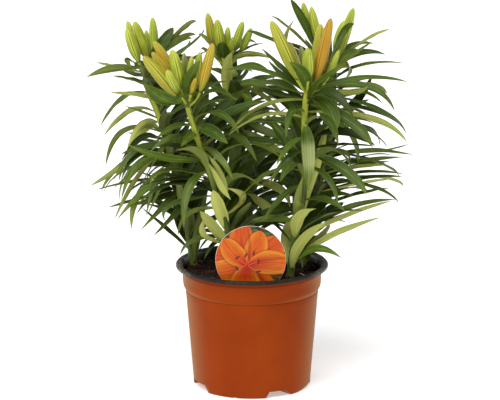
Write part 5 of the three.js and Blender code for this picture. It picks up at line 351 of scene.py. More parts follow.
    [1, -74.3, -51.3, 357.3, -57, -53.8, 407.3, -22.3, -90.6, 390, 13.9, 5.7, 20.8, 2, 0],
    [1, -76.3, -48.4, 362.3, -77.1, -36.7, 392.7, -58.1, -13.6, 407.2, 13.3, 11.9, -28.8, 2, 0],
    [1, -78.9, -52, 367.3, -87.3, -67.3, 399.9, -90.2, -101.6, 384.3, 13.6, 7.4, 19.8, 2, 0],
    [2, -9.1, 47.1, 167.8, 20, 45, 201.5, 65.2, 44.3, 213, 15.5, 7.6, -4.3, 2, 0],
    [2, -11.3, 50.2, 173.3, 14, 74.2, 204.9, 25.7, 120.7, 215.9, 13.6, 1.4, 10.4, 2, 0],
    [2, -10.8, 49.3, 178.8, 26, 55.9, 210, 62.9, 88.4, 197, 17.8, -6.7, -37.3, 2, 0],
    [2, -11.1, 48.3, 184.4, 11.4, 44.6, 224.6, 58.8, 46.4, 221, 17.4, 5.7, 6.7, 2, 0],
    [2, -12.1, 50.2, 189.9, 4.8, 72.8, 233.6, 54.1, 88.8, 220.6, 16.9, -1.5, 8.2, 2, 0],
    [2, -14.4, 51.9, 195.5, -3.7, 81, 241.2, 9.2, 136.4, 240.6, 17.9, 6.8, 12.1, 2, 0],
    [2, -13.1, 50.3, 201, 22.5, 71.2, 251.6, 78.2, 72.6, 214.1, 17.7, -0.9, 18.3, 2, 0],
    [2, -15.7, 52.8, 206.5, 8.2, 82.5, 251.9, 9.1, 143, 259.7, 17, 1.7, -34.1, 2, 0],
    [2, -17.5, 53.1, 212.1, -11.7, 82.5, 261.6, -31.9, 133.7, 283.5, 17.4, -0.2, 14.7, 2, 0],
    [2, -14.8, 50.6, 217.6, 12.6, 42.9, 246.5, 54.7, 45.7, 251.7, 14.3, 2.2, 34.1, 2, 0],
    [2, -15.8, 52.8, 223.1, 11.4, 64.7, 266.4, 48.1, 98.4, 287.2, 17.6, 3.7, 34, 2, 0],
    [2, -17.6, 54.1, 228.7, -10.6, 75.7, 270.5, 5.2, 119.3, 286.2, 15.3, 4.6, 32.9, 2, 0],
    [2, -17.3, 54, 234.2, 4.1, 76.8, 289.6, 39.8, 120.8, 258, 13.7, -0.9, -8.2, 2, 0],
    [2, -21.9, 53.1, 239.7, -64.6, 55.8, 275.7, -116, 81.5, 269.2, 17.6, -2.4, 5.9, 2, 0],
    [2, -21.4, 50.6, 245.3, -27.7, 28.2, 289.9, -63.4, -8.9, 287.9, 17.6, -4.2, 0.4, 2, 0],
    [2, -17.9, 52.5, 250.8, 31.1, 48, 270.7, 76.9, 30.2, 245.1, 17.1, -0.8, 24.5, 2, 0],
    [2, -18.3, 53.1, 256.4, 8.2, 58.8, 307.5, 64.7, 41.6, 310.7, 14.8, 4.7, 26.6, 2, 0],
    [2, -19, 54.8, 261.9, 9.6, 56.1, 316.6, 63.6, 87.4, 308.7, 15.4, 1.4, 6.3, 2, 0],
    [2, -19.8, 55.6, 267.4, 16.6, 95.6, 297.5, 66.9, 115.7, 263.4, 16.4, 8.4, 13.8, 2, 0],
    [2, -19.9, 55.3, 273, 1.3, 66, 318.7, 47.8, 75.6, 341.6, 14.5, 2.9, -30.2, 2, 0],
    [2, -21.4, 57, 278.5, -5.8, 87.7, 325.5, 27.4, 137.3, 327.1, 14.3, 7.8, 12.5, 2, 0],
    [2, -22.6, 57.7, 284, -27.2, 81.8, 320.5, -10.5, 119.4, 339.1, 17.5, -0.4, 8.6, 2, 0],
    [2, -25.6, 56.8, 289.6, -59.5, 86.4, 328.9, -116.5, 105.4, 315.9, 17.6, -9.8, 10.5, 2, 0],
    [2, -22.2, 57.3, 295.1, 2, 77.9, 327.4, 40.7, 102.9, 319.1, 16.5, -10.7, -13.8, 2, 0],
    [2, -22.6, 57.7, 300.7, 7.1, 88.1, 356.3, 53.5, 114.7, 309.1, 16.3, 10, -22, 2, 0],
    [2, -25, 54.5, 306.2, -11.7, -6.9, 337.2, -30.2, -31.6, 272.2, 17.8, 2.7, -37.1, 2, 0],
    [2, -24.6, 59.2, 311.7, -10.3, 93.1, 352.9, 0.3, 148, 362.1, 14, -10.6, -8.8, 2, 0],
    [2, -25.2, 59.6, 317.3, -34.4, 94.1, 361.6, -8.2, 145.2, 371.7, 13.6, -1.5, -33.4, 2, 0],
    [2, -24.8, 56.1, 322.8, 14.8, 27.9, 344.6, 36.6, -19.4, 326.4, 16.9, -0.1, -5.6, 2, 0],
    [2, -26.7, 60.1, 328.3, -30.4, 83, 364.5, -31.4, 126.2, 373.4, 14.6, -9.7, 25.3, 2, 0],
    [2, -26.9, 56.2, 333.9, -17.9, 33.1, 381.4, -23.4, -18.7, 397.5, 16.7, 4.2, -14.4, 2, 0],
    [2, -25.7, 59.7, 339.4, -12.4, 83.6, 379.5, 35, 97.7, 376.3, 15.3, 7.9, 16.4, 2, 0],
    [2, -29.4, 60.3, 344.9, -62.6, 69.2, 403.1, -99.7, 124.1, 385.8, 17.9, -6.6, -6.8, 2, 0],
    [2, -28.3, 57.2, 350.5, -37.1, 34.6, 402.4, -24.8, -14.6, 430.7, 14.1, -6.2, -2.3, 2, 0],
    [2, -28.9, 61.2, 356, -22.4, 85, 404.4, -33.6, 137.2, 418.4, 16, -5.5, 13.6, 2, 0],
    [2, -31.2, 59.4, 361.6, -55.8, 51.4, 386.2, -83.4, 55.8, 361.8, 12.4, -3.7, -31.8, 2, 0],
    [2, -27.9, 59.3, 367.1, 2.4, 41.6, 393.4, 29.7, 44.4, 357.3, 15, 11, 34.9, 2, 0],
    [2, -30.5, 61.8, 372.6, -25.4, 82, 411.5, -40.1, 124.3, 415.5, 12.1, 4.6, -24.6, 2, 0],
    [2, -31.2, 61.7, 378.2, -25.4, 80.4, 414.9, -45.8, 117.1, 420.3, 13.9, 2.4, -24.5, 2, 0],
    [2, -33, 59.6, 383.7, -57.5, 56, 404.7, -86.6, 45.3, 391.1, 14.8, -2.4, 2.8, 2, 0],
    [2, -32.3, 61.7, 389.2, -43.8, 75.1, 426, -45.8, 116.4, 429.5, 14.6, -3.6, -19.6, 2, 0],
    [3, 51.8, -33.8, 167.6, 61.2, -15.5, 202.3, 91.4, 13.7, 199.3, 16.2, 6.3, 16.7, 2, 0],
    [3, 52, -34, 172.9, 71.7, 1.2, 192.6, 100.4, 37.5, 180.3, 14.5, 5.7, 13.7, 2, 0],
    [3, 52.6, -34.4, 178.1, 79.8, -19.1, 217.6, 93.8, 30.9, 221.4, 14.3, 10.9, -18.6, 2, 0],
    [3, 53.5, -34.9, 183.4, 71.1, -22.7, 214.1, 85, 10.3, 230.4, 14.3, -9.1, -5.1, 2, 0],
    [3, 54.7, -35.7, 188.6, 72.5, -22.7, 228.1, 102.3, 11.2, 241.2, 17.8, 4.9, -0.3, 2, 0],
    [3, 54.7, -42, 199.1, 52, -72, 243.7, 78.8, -118.8, 257.1, 17.3, -0.3, -8.7, 2, 0],
    [3, 57.7, -40.2, 204.3, 87.7, -52.2, 242.9, 138.2, -66, 241.2, 17.4, 7.9, -10.7, 2, 0],
    [3, 55.6, -42.8, 209.6, 62.3, -62, 244, 55.1, -98.3, 262.8, 15.1, 2.2, -26.8, 2, 0],
    [3, 56.9, -36.9, 214.8, 57.4, -13.3, 260.7, 63.7, 37.3, 275.2, 15, -5.5, 0.9, 2, 0],
    [3, 60.5, -39.4, 220.1, 80.2, -20.4, 260.5, 129.1, -18.4, 248.5, 14.9, 0.4, 27.2, 2, 0],
    [0, -103.6, 33.9, 282.3, -148.3, 10.7, 305.9, -164.8, 8.7, 234.9, 12, -12.1, -24.3, 1, 0],
    [3, 59.9, -38.1, 230.6, 69.4, -16.3, 274, 74.3, 33.6, 283.6, 15.9, -7.1, 13.5, 2, 0],
    [3, 58.9, -39.4, 241.1, 35.6, -5.7, 295.4, -0.8, 20.8, 241.9, 14.5, -6.1, 1.7, 2, 0],
    [3, 60.9, -39, 246.3, 66, -4.1, 303.5, 31.4, 50.5, 280.4, 14.7, -5.5, 0.7, 2, 0],
    [1, -59.7, -46.7, 301.1, -116.2, -80.9, 306.7, -154, -71.7, 327.4, 12, -27, -21, 1, 0],
    [3, 63.2, -39.5, 256.8, 70.1, -3, 316.5, 58.3, 57.7, 280, 13.6, -8.2, -37.4, 2, 0],
    [3, 63.8, -39.7, 262.1, 73, -15.5, 306.1, 63, 35, 316.8, 16.8, 10.2, 10.7, 2, 0],
    [0, -96.8, 31, 255.7, -123.7, 10.5, 270.4, -171.2, 6.8, 209.4, 12, -13.5, -27.1, 1, 0],
    [3, 64.8, -40.1, 272.5, 52.5, -13.6, 316.6, 58.3, 40.5, 317, 14.9, -6, 5.2, 2, 0],
    [3, 64.3, -45.8, 277.8, 53.6, -71.6, 326.4, 34, -110.1, 288.4, 16, -9.3, -20.4, 2, 0],
    [3, 67.4, -40.9, 283, 68.9, -15.5, 321.6, 100.8, 16.4, 337, 16.7, 10.6, 22.5, 2, 0],
    [3, 64.2, -41.5, 288.3, 38.3, -35.3, 328.3, 16.7, 3.7, 349.6, 15.7, -9.3, -5.1, 2, 0],
    [3, 67.9, -45.8, 293.5, 104, -70.8, 342.5, 123, -124.3, 306.1, 15.7, -7.7, -39.1, 2, 0],
    [3, 67.1, -41, 298.8, 77.3, -22.6, 335.4, 79.5, 20.5, 341.6, 18, -4.7, -6, 2, 0],
    [3, 65.8, -41.2, 304, 59, -20.3, 343.3, 43.4, 20.6, 358.7, 13.9, 9, -12.3, 2, 0],
    [3, 66.5, -41.5, 314.5, 79.1, -14.2, 365.2, 61.9, 43.3, 368.1, 17.8, -3.4, 14, 2, 0],
    [3, 68.6, -44.8, 325, 111.1, -46.1, 350.5, 152.6, -58.3, 321.8, 16.8, 5.9, 31.2, 2, 0],
    [3, 67.8, -43.1, 330.3, 104.2, -27.8, 380.4, 144.2, 9.8, 344.9, 14.7, 4.7, -35.6, 2, 0],
    [3, 64.6, -42.3, 335.5, 41.6, -11.1, 385.8, 38.1, 45.1, 353.2, 13.7, -10.8, 38.8, 2, 0],
    [3, 66.4, -42.6, 340.7, 65.6, -22.8, 390.9, 95.7, 16.5, 414.6, 14.9, -2.8, -14.9, 2, 0],
    [3, 66.5, -47.1, 346, 92.7, -85.4, 384.5, 105.2, -124.6, 337.9, 15.1, 4.5, -11.2, 2, 0],
    [3, 67.6, -43.7, 351.2, 87.9, -40.4, 381.5, 112.1, -18.6, 362, 14.1, -6.9, 26.4, 2, 0],
    [3, 63.8, -43.2, 356.5, 53, -24.6, 397.8, 17.3, 6.4, 390.8, 14.3, 0, -34.3, 2, 0],
    [3, 64.5, -47.3, 361.7, 44.1, -82.8, 387.1, 41.5, -102, 340.7, 12.2, -4.6, 19.4, 2, 0],
    [3, 67.7, -43.7, 367, 79.6, -35.1, 404.4, 114.3, -13, 405.1, 11.7, 10.9, -4, 2, 0],
    [3, 68, -46.4, 372.2, 94.3, -75.8, 416.1, 124.3, -89.4, 365.3, 14.6, 11.3, 35.8, 2, 0],
    [3, 68.7, -46, 377.5, 81.7, -60.1, 408.8, 114.9, -68.1, 425.2, 14.8, -11.6, -24.8, 2, 0],
    [4, 65.4, 30.5, 167.7, 69.6, -2, 181.3, 62.8, -31.2, 157.6, 16.3, 2.6, -23.3, 2, 0],
    [4, 70.1, 33.8, 173.2, 89.7, 32.8, 206.8, 127.8, 21.8, 215.3, 14, 10, 1.2, 2, 0],
    [4, 70.6, 33.1, 178.7, 81.4, 10.2, 220.6, 118.6, -23.6, 215.4, 14.6, -4.6, -8.8, 2, 0],
    [4, 67.3, 35.6, 184.2, 38.2, 33.7, 210.2, -0.2, 23.9, 199.1, 15.9, 9.9, 34.3, 2, 0],
    [4, 73.7, 38.9, 189.7, 96, 52.5, 212.2, 117.6, 82, 214.9, 17.4, -1.4, 32.8, 2, 0],
    [4, 74.6, 40.1, 195.2, 80.1, 66, 240.5, 115.4, 105, 252.4, 13.5, 7.4, -28.2, 2, 0],
    [4, 72.4, 40.3, 200.6, 38.3, 72.8, 224.1, -2, 104.4, 203.4, 14.8, -6.3, -25.7, 2, 0],
    [4, 76.6, 41.8, 206.1, 77, 66, 249.8, 93.6, 114.3, 245.3, 14, -8.7, -31.1, 2, 0],
    [4, 77, 36.9, 211.6, 88.2, 11.1, 240.7, 74, -28, 247.6, 14.5, -2.3, 23.6, 2, 0],
    [4, 77.5, 42.7, 217.1, 48.1, 76.6, 254.3, 43.4, 136.6, 252.7, 15.7, -3.3, -13.3, 2, 0],
    [4, 81.6, 42.6, 222.6, 124.3, 66.6, 250.3, 150.7, 109.6, 220.6, 15.8, -9, -11.2, 2, 0],
    [4, 82.7, 43.2, 228.1, 114.4, 65.8, 265.9, 138, 102.2, 230.2, 16.4, 11.7, -28.7, 2, 0],
    [4, 82.8, 39.3, 233.5, 83.2, 3.8, 270.9, 108.2, -42.2, 261.3, 17.8, -2.8, -6.8, 2, 0],
    [4, 82.8, 44.7, 239, 87.5, 82.9, 255.9, 73.5, 115.3, 229.2, 17.8, -8.5, -30.4, 2, 0],
    [4, 84.9, 45.1, 244.5, 90.3, 72.8, 292.7, 106.9, 123.3, 313.7, 17.9, -10.4, 2.3, 2, 0],
    [4, 86.9, 45.1, 250, 107.7, 75.3, 281.2, 138.3, 110.2, 262.5, 16.4, 6.5, -33, 2, 0],
    [4, 84.2, 44.9, 255.5, 52, 78, 281.6, 23.5, 79.5, 234.3, 17.1, -6.7, 19.5, 2, 0],
    [4, 85.2, 43.7, 261, 51.2, 51.2, 291.8, 10.4, 33.1, 273.6, 14.9, -11.5, 16.1, 2, 0],
    [4, 87.1, 46.5, 266.5, 63.4, 62.1, 312, 37.3, 109, 300.4, 17.5, -6.3, -38.7, 2, 0],
    [4, 90.1, 42.7, 271.9, 99.1, 17.5, 311.1, 104.7, -30.1, 320.7, 15.6, 4.1, -36, 2, 0],
    [4, 90.8, 48, 277.4, 101.7, 76.6, 326.3, 97.1, 133.8, 340.2, 16.3, 2.4, -11, 2, 0],
    [4, 89.3, 46.4, 282.9, 66.7, 55, 328.3, 14.2, 56.3, 331.5, 17.4, -7.9, -38, 2, 0],
    [4, 93.9, 48.5, 288.4, 105.6, 71, 321.3, 127.4, 106.5, 331.7, 14.8, 10.4, -17.8, 2, 0],
    [4, 92.2, 48.8, 293.9, 84.4, 76.3, 331.6, 46.7, 105.1, 342.4, 13.6, 2, 6.3, 2, 0],
    [4, 94.7, 45.3, 299.4, 99.2, 12.1, 329.8, 102, -34.8, 329.7, 16.1, 0.9, -24.6, 2, 0],
    [4, 96.8, 49.7, 304.8, 111.8, 82.9, 337.7, 150.7, 115.1, 342.3, 13.9, -5.8, 34.5, 2, 0],
    [4, 94.2, 49.5, 310.3, 54.8, 62.9, 338, 26.2, 85.8, 301.3, 16.9, 11.3, 30.9, 2, 0],
    [4, 97.1, 46.6, 315.8, 108.8, 15.2, 358.4, 98.3, -38.7, 366.7, 15.6, -10.7, 10.3, 2, 0],
    [4, 96.4, 50.9, 321.3, 74.1, 62.9, 368.8, 48.7, 108.2, 386.2, 16.2, -2.5, 28, 2, 0],
    [4, 97.8, 47.7, 326.8, 103.5, 19.9, 377.4, 77.4, -33, 375.4, 15.2, 3, -36.2, 2, 0],
    [4, 99.3, 52.2, 332.3, 94.8, 89.2, 359.1, 112.3, 132.6, 350.5, 15.4, 8.1, -19.9, 2, 0],
    [4, 99.4, 52.6, 337.7, 84, 77.4, 381.4, 93, 126.1, 401.8, 16.1, -2.3, -36.1, 2, 0],
    [4, 100.4, 48.9, 343.2, 91, 18, 385, 105.8, -32.5, 397, 14.7, -5.1, 32.6, 2, 0],
    [4, 100, 53.1, 348.7, 102.4, 70.2, 404.3, 87.5, 123.1, 425, 15.7, -7.6, -14.9, 2, 0],
    [4, 98.4, 52, 354.2, 82.8, 47, 397, 48.8, 65.7, 422.7, 15.5, -6.3, 6.8, 2, 0],
    [4, 102.1, 51.4, 359.7, 123, 39.1, 388.4, 161.4, 42.8, 385.3, 13.8, 12, -31.8, 2, 0],
    [4, 99.7, 50, 365.2, 98.2, 41.6, 396, 91, 17.1, 416.4, 13.2, -9, -12.8, 2, 0],
    [4, 99.1, 53.7, 370.6, 80.3, 66.4, 407.9, 66.9, 105.3, 424.7, 12.5, 0.3, 10.5, 2, 0],
    [4, 99.7, 53.9, 376.1, 91.8, 67.1, 411.7, 101.3, 102.9, 424.9, 12.3, -0.9, -3.5, 2, 0],
    [4, 97, 52.1, 381.6, 78, 60.2, 411.1, 42.7, 50.1, 415.2, 15.3, -9.2, -22, 2, 0],
    [4, 96.3, 51.6, 387.1, 73.5, 53, 422.3, 37.8, 33, 434.7, 13.4, 11.3, 22.4, 2, 0],
    [0, -98.2, 35.6, 265.5, -136.4, 81, 296.8, -138.7, 134.8, 253.6, 12.1, 3.4, -19.7, 2, 0],
    [0, -108.4, 34.7, 302.5, -133.4, -8, 342.9, -162.3, -47.9, 299.5, 10.5, -10.8, -37.3, 2, 0],
    [0, -106.3, 37.7, 294.6, -144.1, 65.9, 311.7, -155.6, 105.4, 279.8, 11.8, -8.3, 10, 2, 0],
    [0, -99.9, 35.7, 270, -118.3, 70.2, 275.8, -136.9, 85.8, 241.8, 10.7, -3.3, -12.1, 2, 0],
    [0, -86.5, 29.7, 209.7, -109.5, 48.4, 258.6, -155.4, 84.8, 256.6, 12.1, 12, -4.9, 2, 0],
    [3, 63.5, -43.3, 346.8, 47.1, -30.4, 384.1, 13.3, -2.2, 383.1, 11.6, -9.8, -30.7, 2, 0],
    [0, -93.2, 31.6, 238.3, -130.8, 31, 271.8, -158.8, 50.5, 232.4, 11.5, 2.1, 25.9, 2, 0],
    [1, -20, -23.1, 182.7, 3.1, -5.4, 225.8, 47.5, 7.8, 198.6, 10.5, -3.2, 38, 2, 0],
    [1, -60.6, -45.7, 302.9, -116, -27.5, 320.4, -154, -42.8, 272.5, 12.3, 6.6, 25.2, 2, 0],
    [2, -24.7, 59, 328.3, 9.5, 78.2, 388.3, 62.5, 105, 346.1, 11.2, 11.2, 32.3, 2, 0],
    [0, -84, 29, 197.4, -112.5, 51.9, 224.8, -139, 91.8, 221.3, 10.2, -11.1, -28.9, 2, 0],
    [3, 49.9, -37, 192.6, 21.3, -38.9, 227.8, -12.2, -8.4, 241.5, 9.8, 10, -17.9, 2, 0],
    [0, -85.3, 28.7, 201.7, -101.7, 55.9, 247.5, -157.1, 69.9, 247.8, 10.8, -1, -2, 2, 0],
    [3, 64.2, -43.4, 307.5, 11.4, -46.5, 338.3, -44.9, -27, 316.5, 12.1, 0, -37.7, 2, 0],
    [0, -109.4, 35.9, 302.7, -157.1, 12.6, 311.3, -168.1, 16.7, 256.6, 9.7, 10.7, -37.9, 2, 0],
    [1, -51.6, -42, 272.7, -95.7, -45.5, 282.8, -140.7, -42.8, 266.6, 9.6, 11.5, -28.4, 2, 0],
    [2, -24.3, 58.7, 323, 23.9, 73.7, 359.9, 53, 102.9, 310.7, 9.5, -4.3, 34.5, 2, 0],
    [0, -105.5, 36.7, 289.8, -136.7, 59, 298.4, -164.7, 75.2, 272.5, 11.9, 4.9, -27.4, 2, 0],
    [2, -24.4, 58.2, 327.6, 14.7, 66.1, 376.1, 67.2, 71, 339.5, 10.1, 8.6, -2.1, 2, 0],
    [3, 67.6, -41.1, 277.5, 85.1, -3.7, 303, 130, 19.7, 307.4, 11.4, 5.7, -39.3, 2, 0],
    [1, -18.2, -20.3, 174.6, 8.9, 15.9, 186.2, 51.5, 35.5, 170.3, 11.2, 9.2, -28.9, 2, 0],
    [2, -15.4, 49.6, 176.5, -58.8, 67.4, 185.7, -85.9, 106.5, 168.1, 11.2, -4.3, -19.1, 2, 0],
    [2, -25.7, 58, 299.8, -41.1, 81.7, 329.6, -69.3, 111.8, 319, 11.6, -7.1, 24.4, 2, 0],
    [4, 102.3, 51.1, 346.9, 131.7, 51.4, 384.5, 166.3, 49.3, 350.1, 12, 7, 16.3, 2, 0],
    [4, 82.5, 41.8, 224.3, 112.2, 55.7, 253.3, 153.8, 68.4, 238.8, 10.9, -1.4, 16.4, 2, 0],
    [3, 69, -44, 319, 101.4, -47.5, 370.7, 156.7, -37.1, 343.4, 10.5, 5.7, 5.4, 2, 0],
    [4, 87.8, 44.6, 251.3, 132, 63.7, 290.8, 181.5, 100, 272.2, 11.2, -4, -23.6, 2, 0],
    [2, -14.8, 45.5, 180.3, -48.2, 9.7, 191.5, -59.5, -37.9, 171.4, 10.7, -5.1, 20.6, 2, 0],
    [1, -52.1, -41.3, 275, -78.3, -17.2, 319.5, -133, -6.3, 337.7, 11.9, -1.1, -21.5, 2, 0],
    [3, 69.2, -43.6, 313.6, 112.1, -44.5, 324.4, 155.6, -30.5, 314.3, 10.5, -0.2, 5.2, 2, 0],
    [4, 98.9, 52.9, 355.5, 69.1, 64, 407.4, 36.8, 115.9, 416.6, 9.6, 1.1, -19.2, 2, 0],
    [1, -27.6, -24.9, 193, -48.3, 9.7, 203.6, -68.5, 19.8, 165.2, 10.8, -1, -4.5, 2, 0],
    [3, 63.6, -43.1, 340.2, 34.5, -21.4, 392.3, -7.5, 25.4, 376.2, 11.7, -10.5, -19.9, 2, 0],
    [0, -84.7, 28.9, 199.9, -125.6, 46.2, 229.6, -158.3, 86.9, 210.1, 11.2, 0.6, 18.1, 2, 0],
    [0, -105.3, 34.6, 287.4, -150, 25.1, 307.8, -164.9, 16, 258.5, 12.4, -11.5, -7.1, 2, 0],
    [1, -47.7, -39.5, 259.9, -86, -43.1, 284.8, -127.7, -20.7, 277.5, 9.5, 0.2, -32.3, 2, 0],
    [2, -27.9, 61, 354, -20.6, 88.6, 399.1, 1.6, 131.4, 374.2, 12, -0.3, -13.3, 2, 0],
    [0, -97.6, 31.2, 259.9, -121.8, 8.3, 284.3, -132.9, -11.6, 219.3, 12, 2.7, 5.4, 1, 0],
    [0, -100.6, 34.5, 269.7, -129.9, 44.5, 289.6, -178.7, 79.9, 231.6, 12, -22.1, -17.2, 1, 0],
    [0, -94.2, 30.3, 243, -120.4, 18.9, 255.4, -146.3, 17.8, 214.5, 11, -8.5, -17.1, 1, 0],
]
# Single leaves that differ from their neighbours: number in LEAVES, darkness (painted shade), paleness below (below 0:
# green on both faces; above 1 painted light on a shaded under face), light sheen above (painted sheen).
LOOKS = {27: (0.5, 0, 0), 35: (0, -1, 0), 41: (0, 0.6, 0), 42: (0, 0.6, 0), 43: (0, 0, 0.5), 44: (0, 1.3, 0), 45: (0, 1, 0), 46: (0, 1, 0), 47: (0, 0.8, 0),
         55: (0, 2, 0), 69: (0, 0.6, 0), 70: (0, 0, 0.6), 72: (0, 1.4, 0), 73: (0, 0, 0.3), 74: (0, 1.5, 0), 75: (0, 0.7, 0), 81: (0, 0, 1), 82: (0, 1.45, 0),
         84: (0, 0, 0), 88: (0, 0.6, 0), 89: (0, 0.6, 0), 95: (0, 1.3, 0), 96: (0, 0.75, 0), 97: (0, 0.6, 0), 99: (0.2, 0, 0.2), 100: (0, 0.45, 0), 123: (0.95, 0, 0),
         247: (0, 1, 0.7), 252: (0.45, -1, 0), 255: (0, 2, 0), 268: (0, 0.7, 0), 270: (0, 0.4, 0), 271: (0, 0.4, 0), 274: (0, 0.5, 0),
         192: (0, 0.7, 0), 194: (0, 0, 0), 273: (0, 0.2, 0), 277: (0, 0.3, 0), 280: (0, 0.3, 0), 283: (0.1, 0.3, 0), 286: (0.1, 0.3, 0), 299: (0.1, -1, 0)}
# Leaves that lean a little more: shift of base, bend and tip, and a factor on the width.
SHIFTED = {}
BULBS = [[-50, 15, 70], [-8, -12, 66], [-6, 44, 70], [38, -38, 66], [46, 22, 70]]
LABEL = (-1.63, -71, 179.38, 43.8)
RIM_Z, LIP_R = 157.5, 96.0


# ------------------------------------------------------------------ mesh helpers
def smoothstep(a, b, x):
    t = np.clip((np.asarray(x, float) - a) / (b - a), 0, 1)
    return t * t * (3 - 2 * t)


class Build:
    """Gathers grids and loose faces into one mesh with point attributes and an OFBake map."""

    def __init__(self):
        self.v, self.f, self.m, self.uv, self.at, self.n = [], [], [], [], {}, 0

    def add(self, verts, faces, uvs=None, mat=0, **at):
        verts = np.asarray(verts, float).reshape(-1, 3)
        k = len(verts)
        self.v.append(verts)
        self.f += [tuple(i + self.n for i in f) for f in faces]
        self.m += list(mat) if hasattr(mat, "__len__") else [mat] * len(faces)
        self.uv.append(np.zeros((k, 2)) if uvs is None else np.asarray(uvs, float).reshape(-1, 2))
        for key in set(self.at) | set(at):
            if key not in self.at:
                self.at[key] = [np.zeros(self.n)] if self.n else []
            val = at.get(key, 0.0)
            self.at[key].append(np.full(k, float(val)) if np.isscalar(val) else np.asarray(val, float).reshape(-1))
        self.n += k

    def object(self, name, mats, smooth=True, with_uv=True):
        me = bpy.data.meshes.new(name)
        me.from_pydata((np.concatenate(self.v) * MM).tolist(), [], self.f)
        for m in mats:
            me.materials.append(m)
        me.polygons.foreach_set("material_index", self.m)
        me.polygons.foreach_set("use_smooth", [smooth] * len(self.f))
        if with_uv:
            uv = np.concatenate(self.uv)
            idx = np.empty(len(me.loops), int)
            me.loops.foreach_get("vertex_index", idx)
            layer = me.uv_layers.new(name="OFBake")
            layer.data.foreach_set("uv", uv[idx].astype(np.float32).ravel())
        for key, parts in self.at.items():
            a = me.attributes.new(key, "FLOAT", "POINT")
            a.data.foreach_set("value", np.concatenate(parts).astype(np.float32))
        me.update()
        ob = bpy.data.objects.new(name, me)
        bpy.context.scene.collection.objects.link(ob)
        return ob


def grid_faces(nu, nv, wrap=False, flip=False):
    """Quads over a grid stored row by row: nv rows of nu points."""
    out = []
    for j in range(nv - 1):
        for i in range(nu if wrap else nu - 1):
            a, b = j * nu + i, j * nu + (i + 1) % nu
            q = (a, b, b + nu, a + nu)
            out.append(q[::-1] if flip else q)
    return out


def frames(points):
    """Unit tangents and two cross directions along a path."""
    P = np.asarray(points, float)
    T = np.gradient(P, axis=0)
    T /= np.linalg.norm(T, axis=1)[:, None]
    X = np.array([1.0, 0, 0]) if abs(T[0][2]) > 0.9 else np.array([0, 0, 1.0])
    xs, ys = [], []
    for t in T:
        X = X - t * X.dot(t)
        X /= np.linalg.norm(X)
        xs.append(X.copy())
        ys.append(np.cross(t, X))
    return P, T, np.array(xs), np.array(ys)


def smooth_path(points, values, n):
    """Catmull-Rom through points, sampled n times, with values carried along."""
    P = np.asarray(points, float)
    R = np.asarray(values, float)
    k = len(P)
    out, rad = [], []
    for q in np.linspace(0, k - 1, n):
        i = min(int(q), k - 2)
        t = q - i
        p = [P[max(0, i - 1)], P[i], P[i + 1], P[min(k - 1, i + 2)]]
        out.append(0.5 * ((2 * p[1]) + (p[2] - p[0]) * t + (2 * p[0] - 5 * p[1] + 4 * p[2] - p[3]) * t * t + (3 * p[1] - p[0] - 3 * p[2] + p[3]) * t ** 3))
        rad.append(R[i] * (1 - t) + R[i + 1] * t)
    return np.array(out), np.array(rad)


def add_tube(b, points, radii, sides, box=(0, 0, 1, 1), **at):
    P, T, X, Y = frames(points)
    n = len(P)
    a = np.arange(sides + 1) / sides * 2 * math.pi
    r = np.asarray(radii, float).reshape(n, -1)
    ring = P[:, None] + X[:, None] * (np.cos(a) * r)[:, :, None] + Y[:, None] * (np.sin(a) * r)[:, :, None]
    along = np.repeat(np.arange(n) / (n - 1), sides + 1)
    round_ = np.tile(np.arange(sides + 1) / sides, n)
    uv = np.stack([box[0] + (box[2] - box[0]) * round_, box[1] + (box[3] - box[1]) * along], 1)
    faces = grid_faces(sides + 1, n)
    vals = {k: (v if np.isscalar(v) else np.repeat(v, sides + 1)) for k, v in at.items()}
    b.add(ring.reshape(-1, 3), faces, uv, v=along, u=round_, **vals)


# ------------------------------------------------------------------ leaves
def blade(t, drawn=1.9):
    t = np.asarray(t, float)
    return np.where(t < 0.38, 0.25 + 0.75 * np.sin(np.pi / 2 * np.minimum(t, 0.38) / 0.38), 1 - np.clip((t - 0.38) / 0.62, 0, 1) ** drawn)


def leaf_frame(L, t):
    p0, p1, p2 = np.array(L[1:4]), np.array(L[4:7]), np.array(L[7:10])
    t = np.asarray(t, float)[:, None]
    C = (1 - t) ** 2 * p0 + 2 * t * (1 - t) * p1 + t * t * p2
    T = (1 - t) * (p1 - p0) + t * (p2 - p1)
    T /= np.linalg.norm(T, axis=1)[:, None]
    h = (p2 - p0)[:2]
    h = h / (np.linalg.norm(h) or 1)
    S = np.array([-h[1], h[0], 0.0]) - T * (T @ np.array([-h[1], h[0], 0.0]))[:, None]
    S /= np.linalg.norm(S, axis=1)[:, None]
    N = np.cross(T, S)
    r = np.radians(L[11] + L[12] * t)
    return C, T, S * np.cos(r) + N * np.sin(r), N * np.cos(r) - S * np.sin(r), L[10] / 2 * blade(t[:, 0], 1.9 if L[10] < 13 else 2.6)


NU, NV = 9, 26


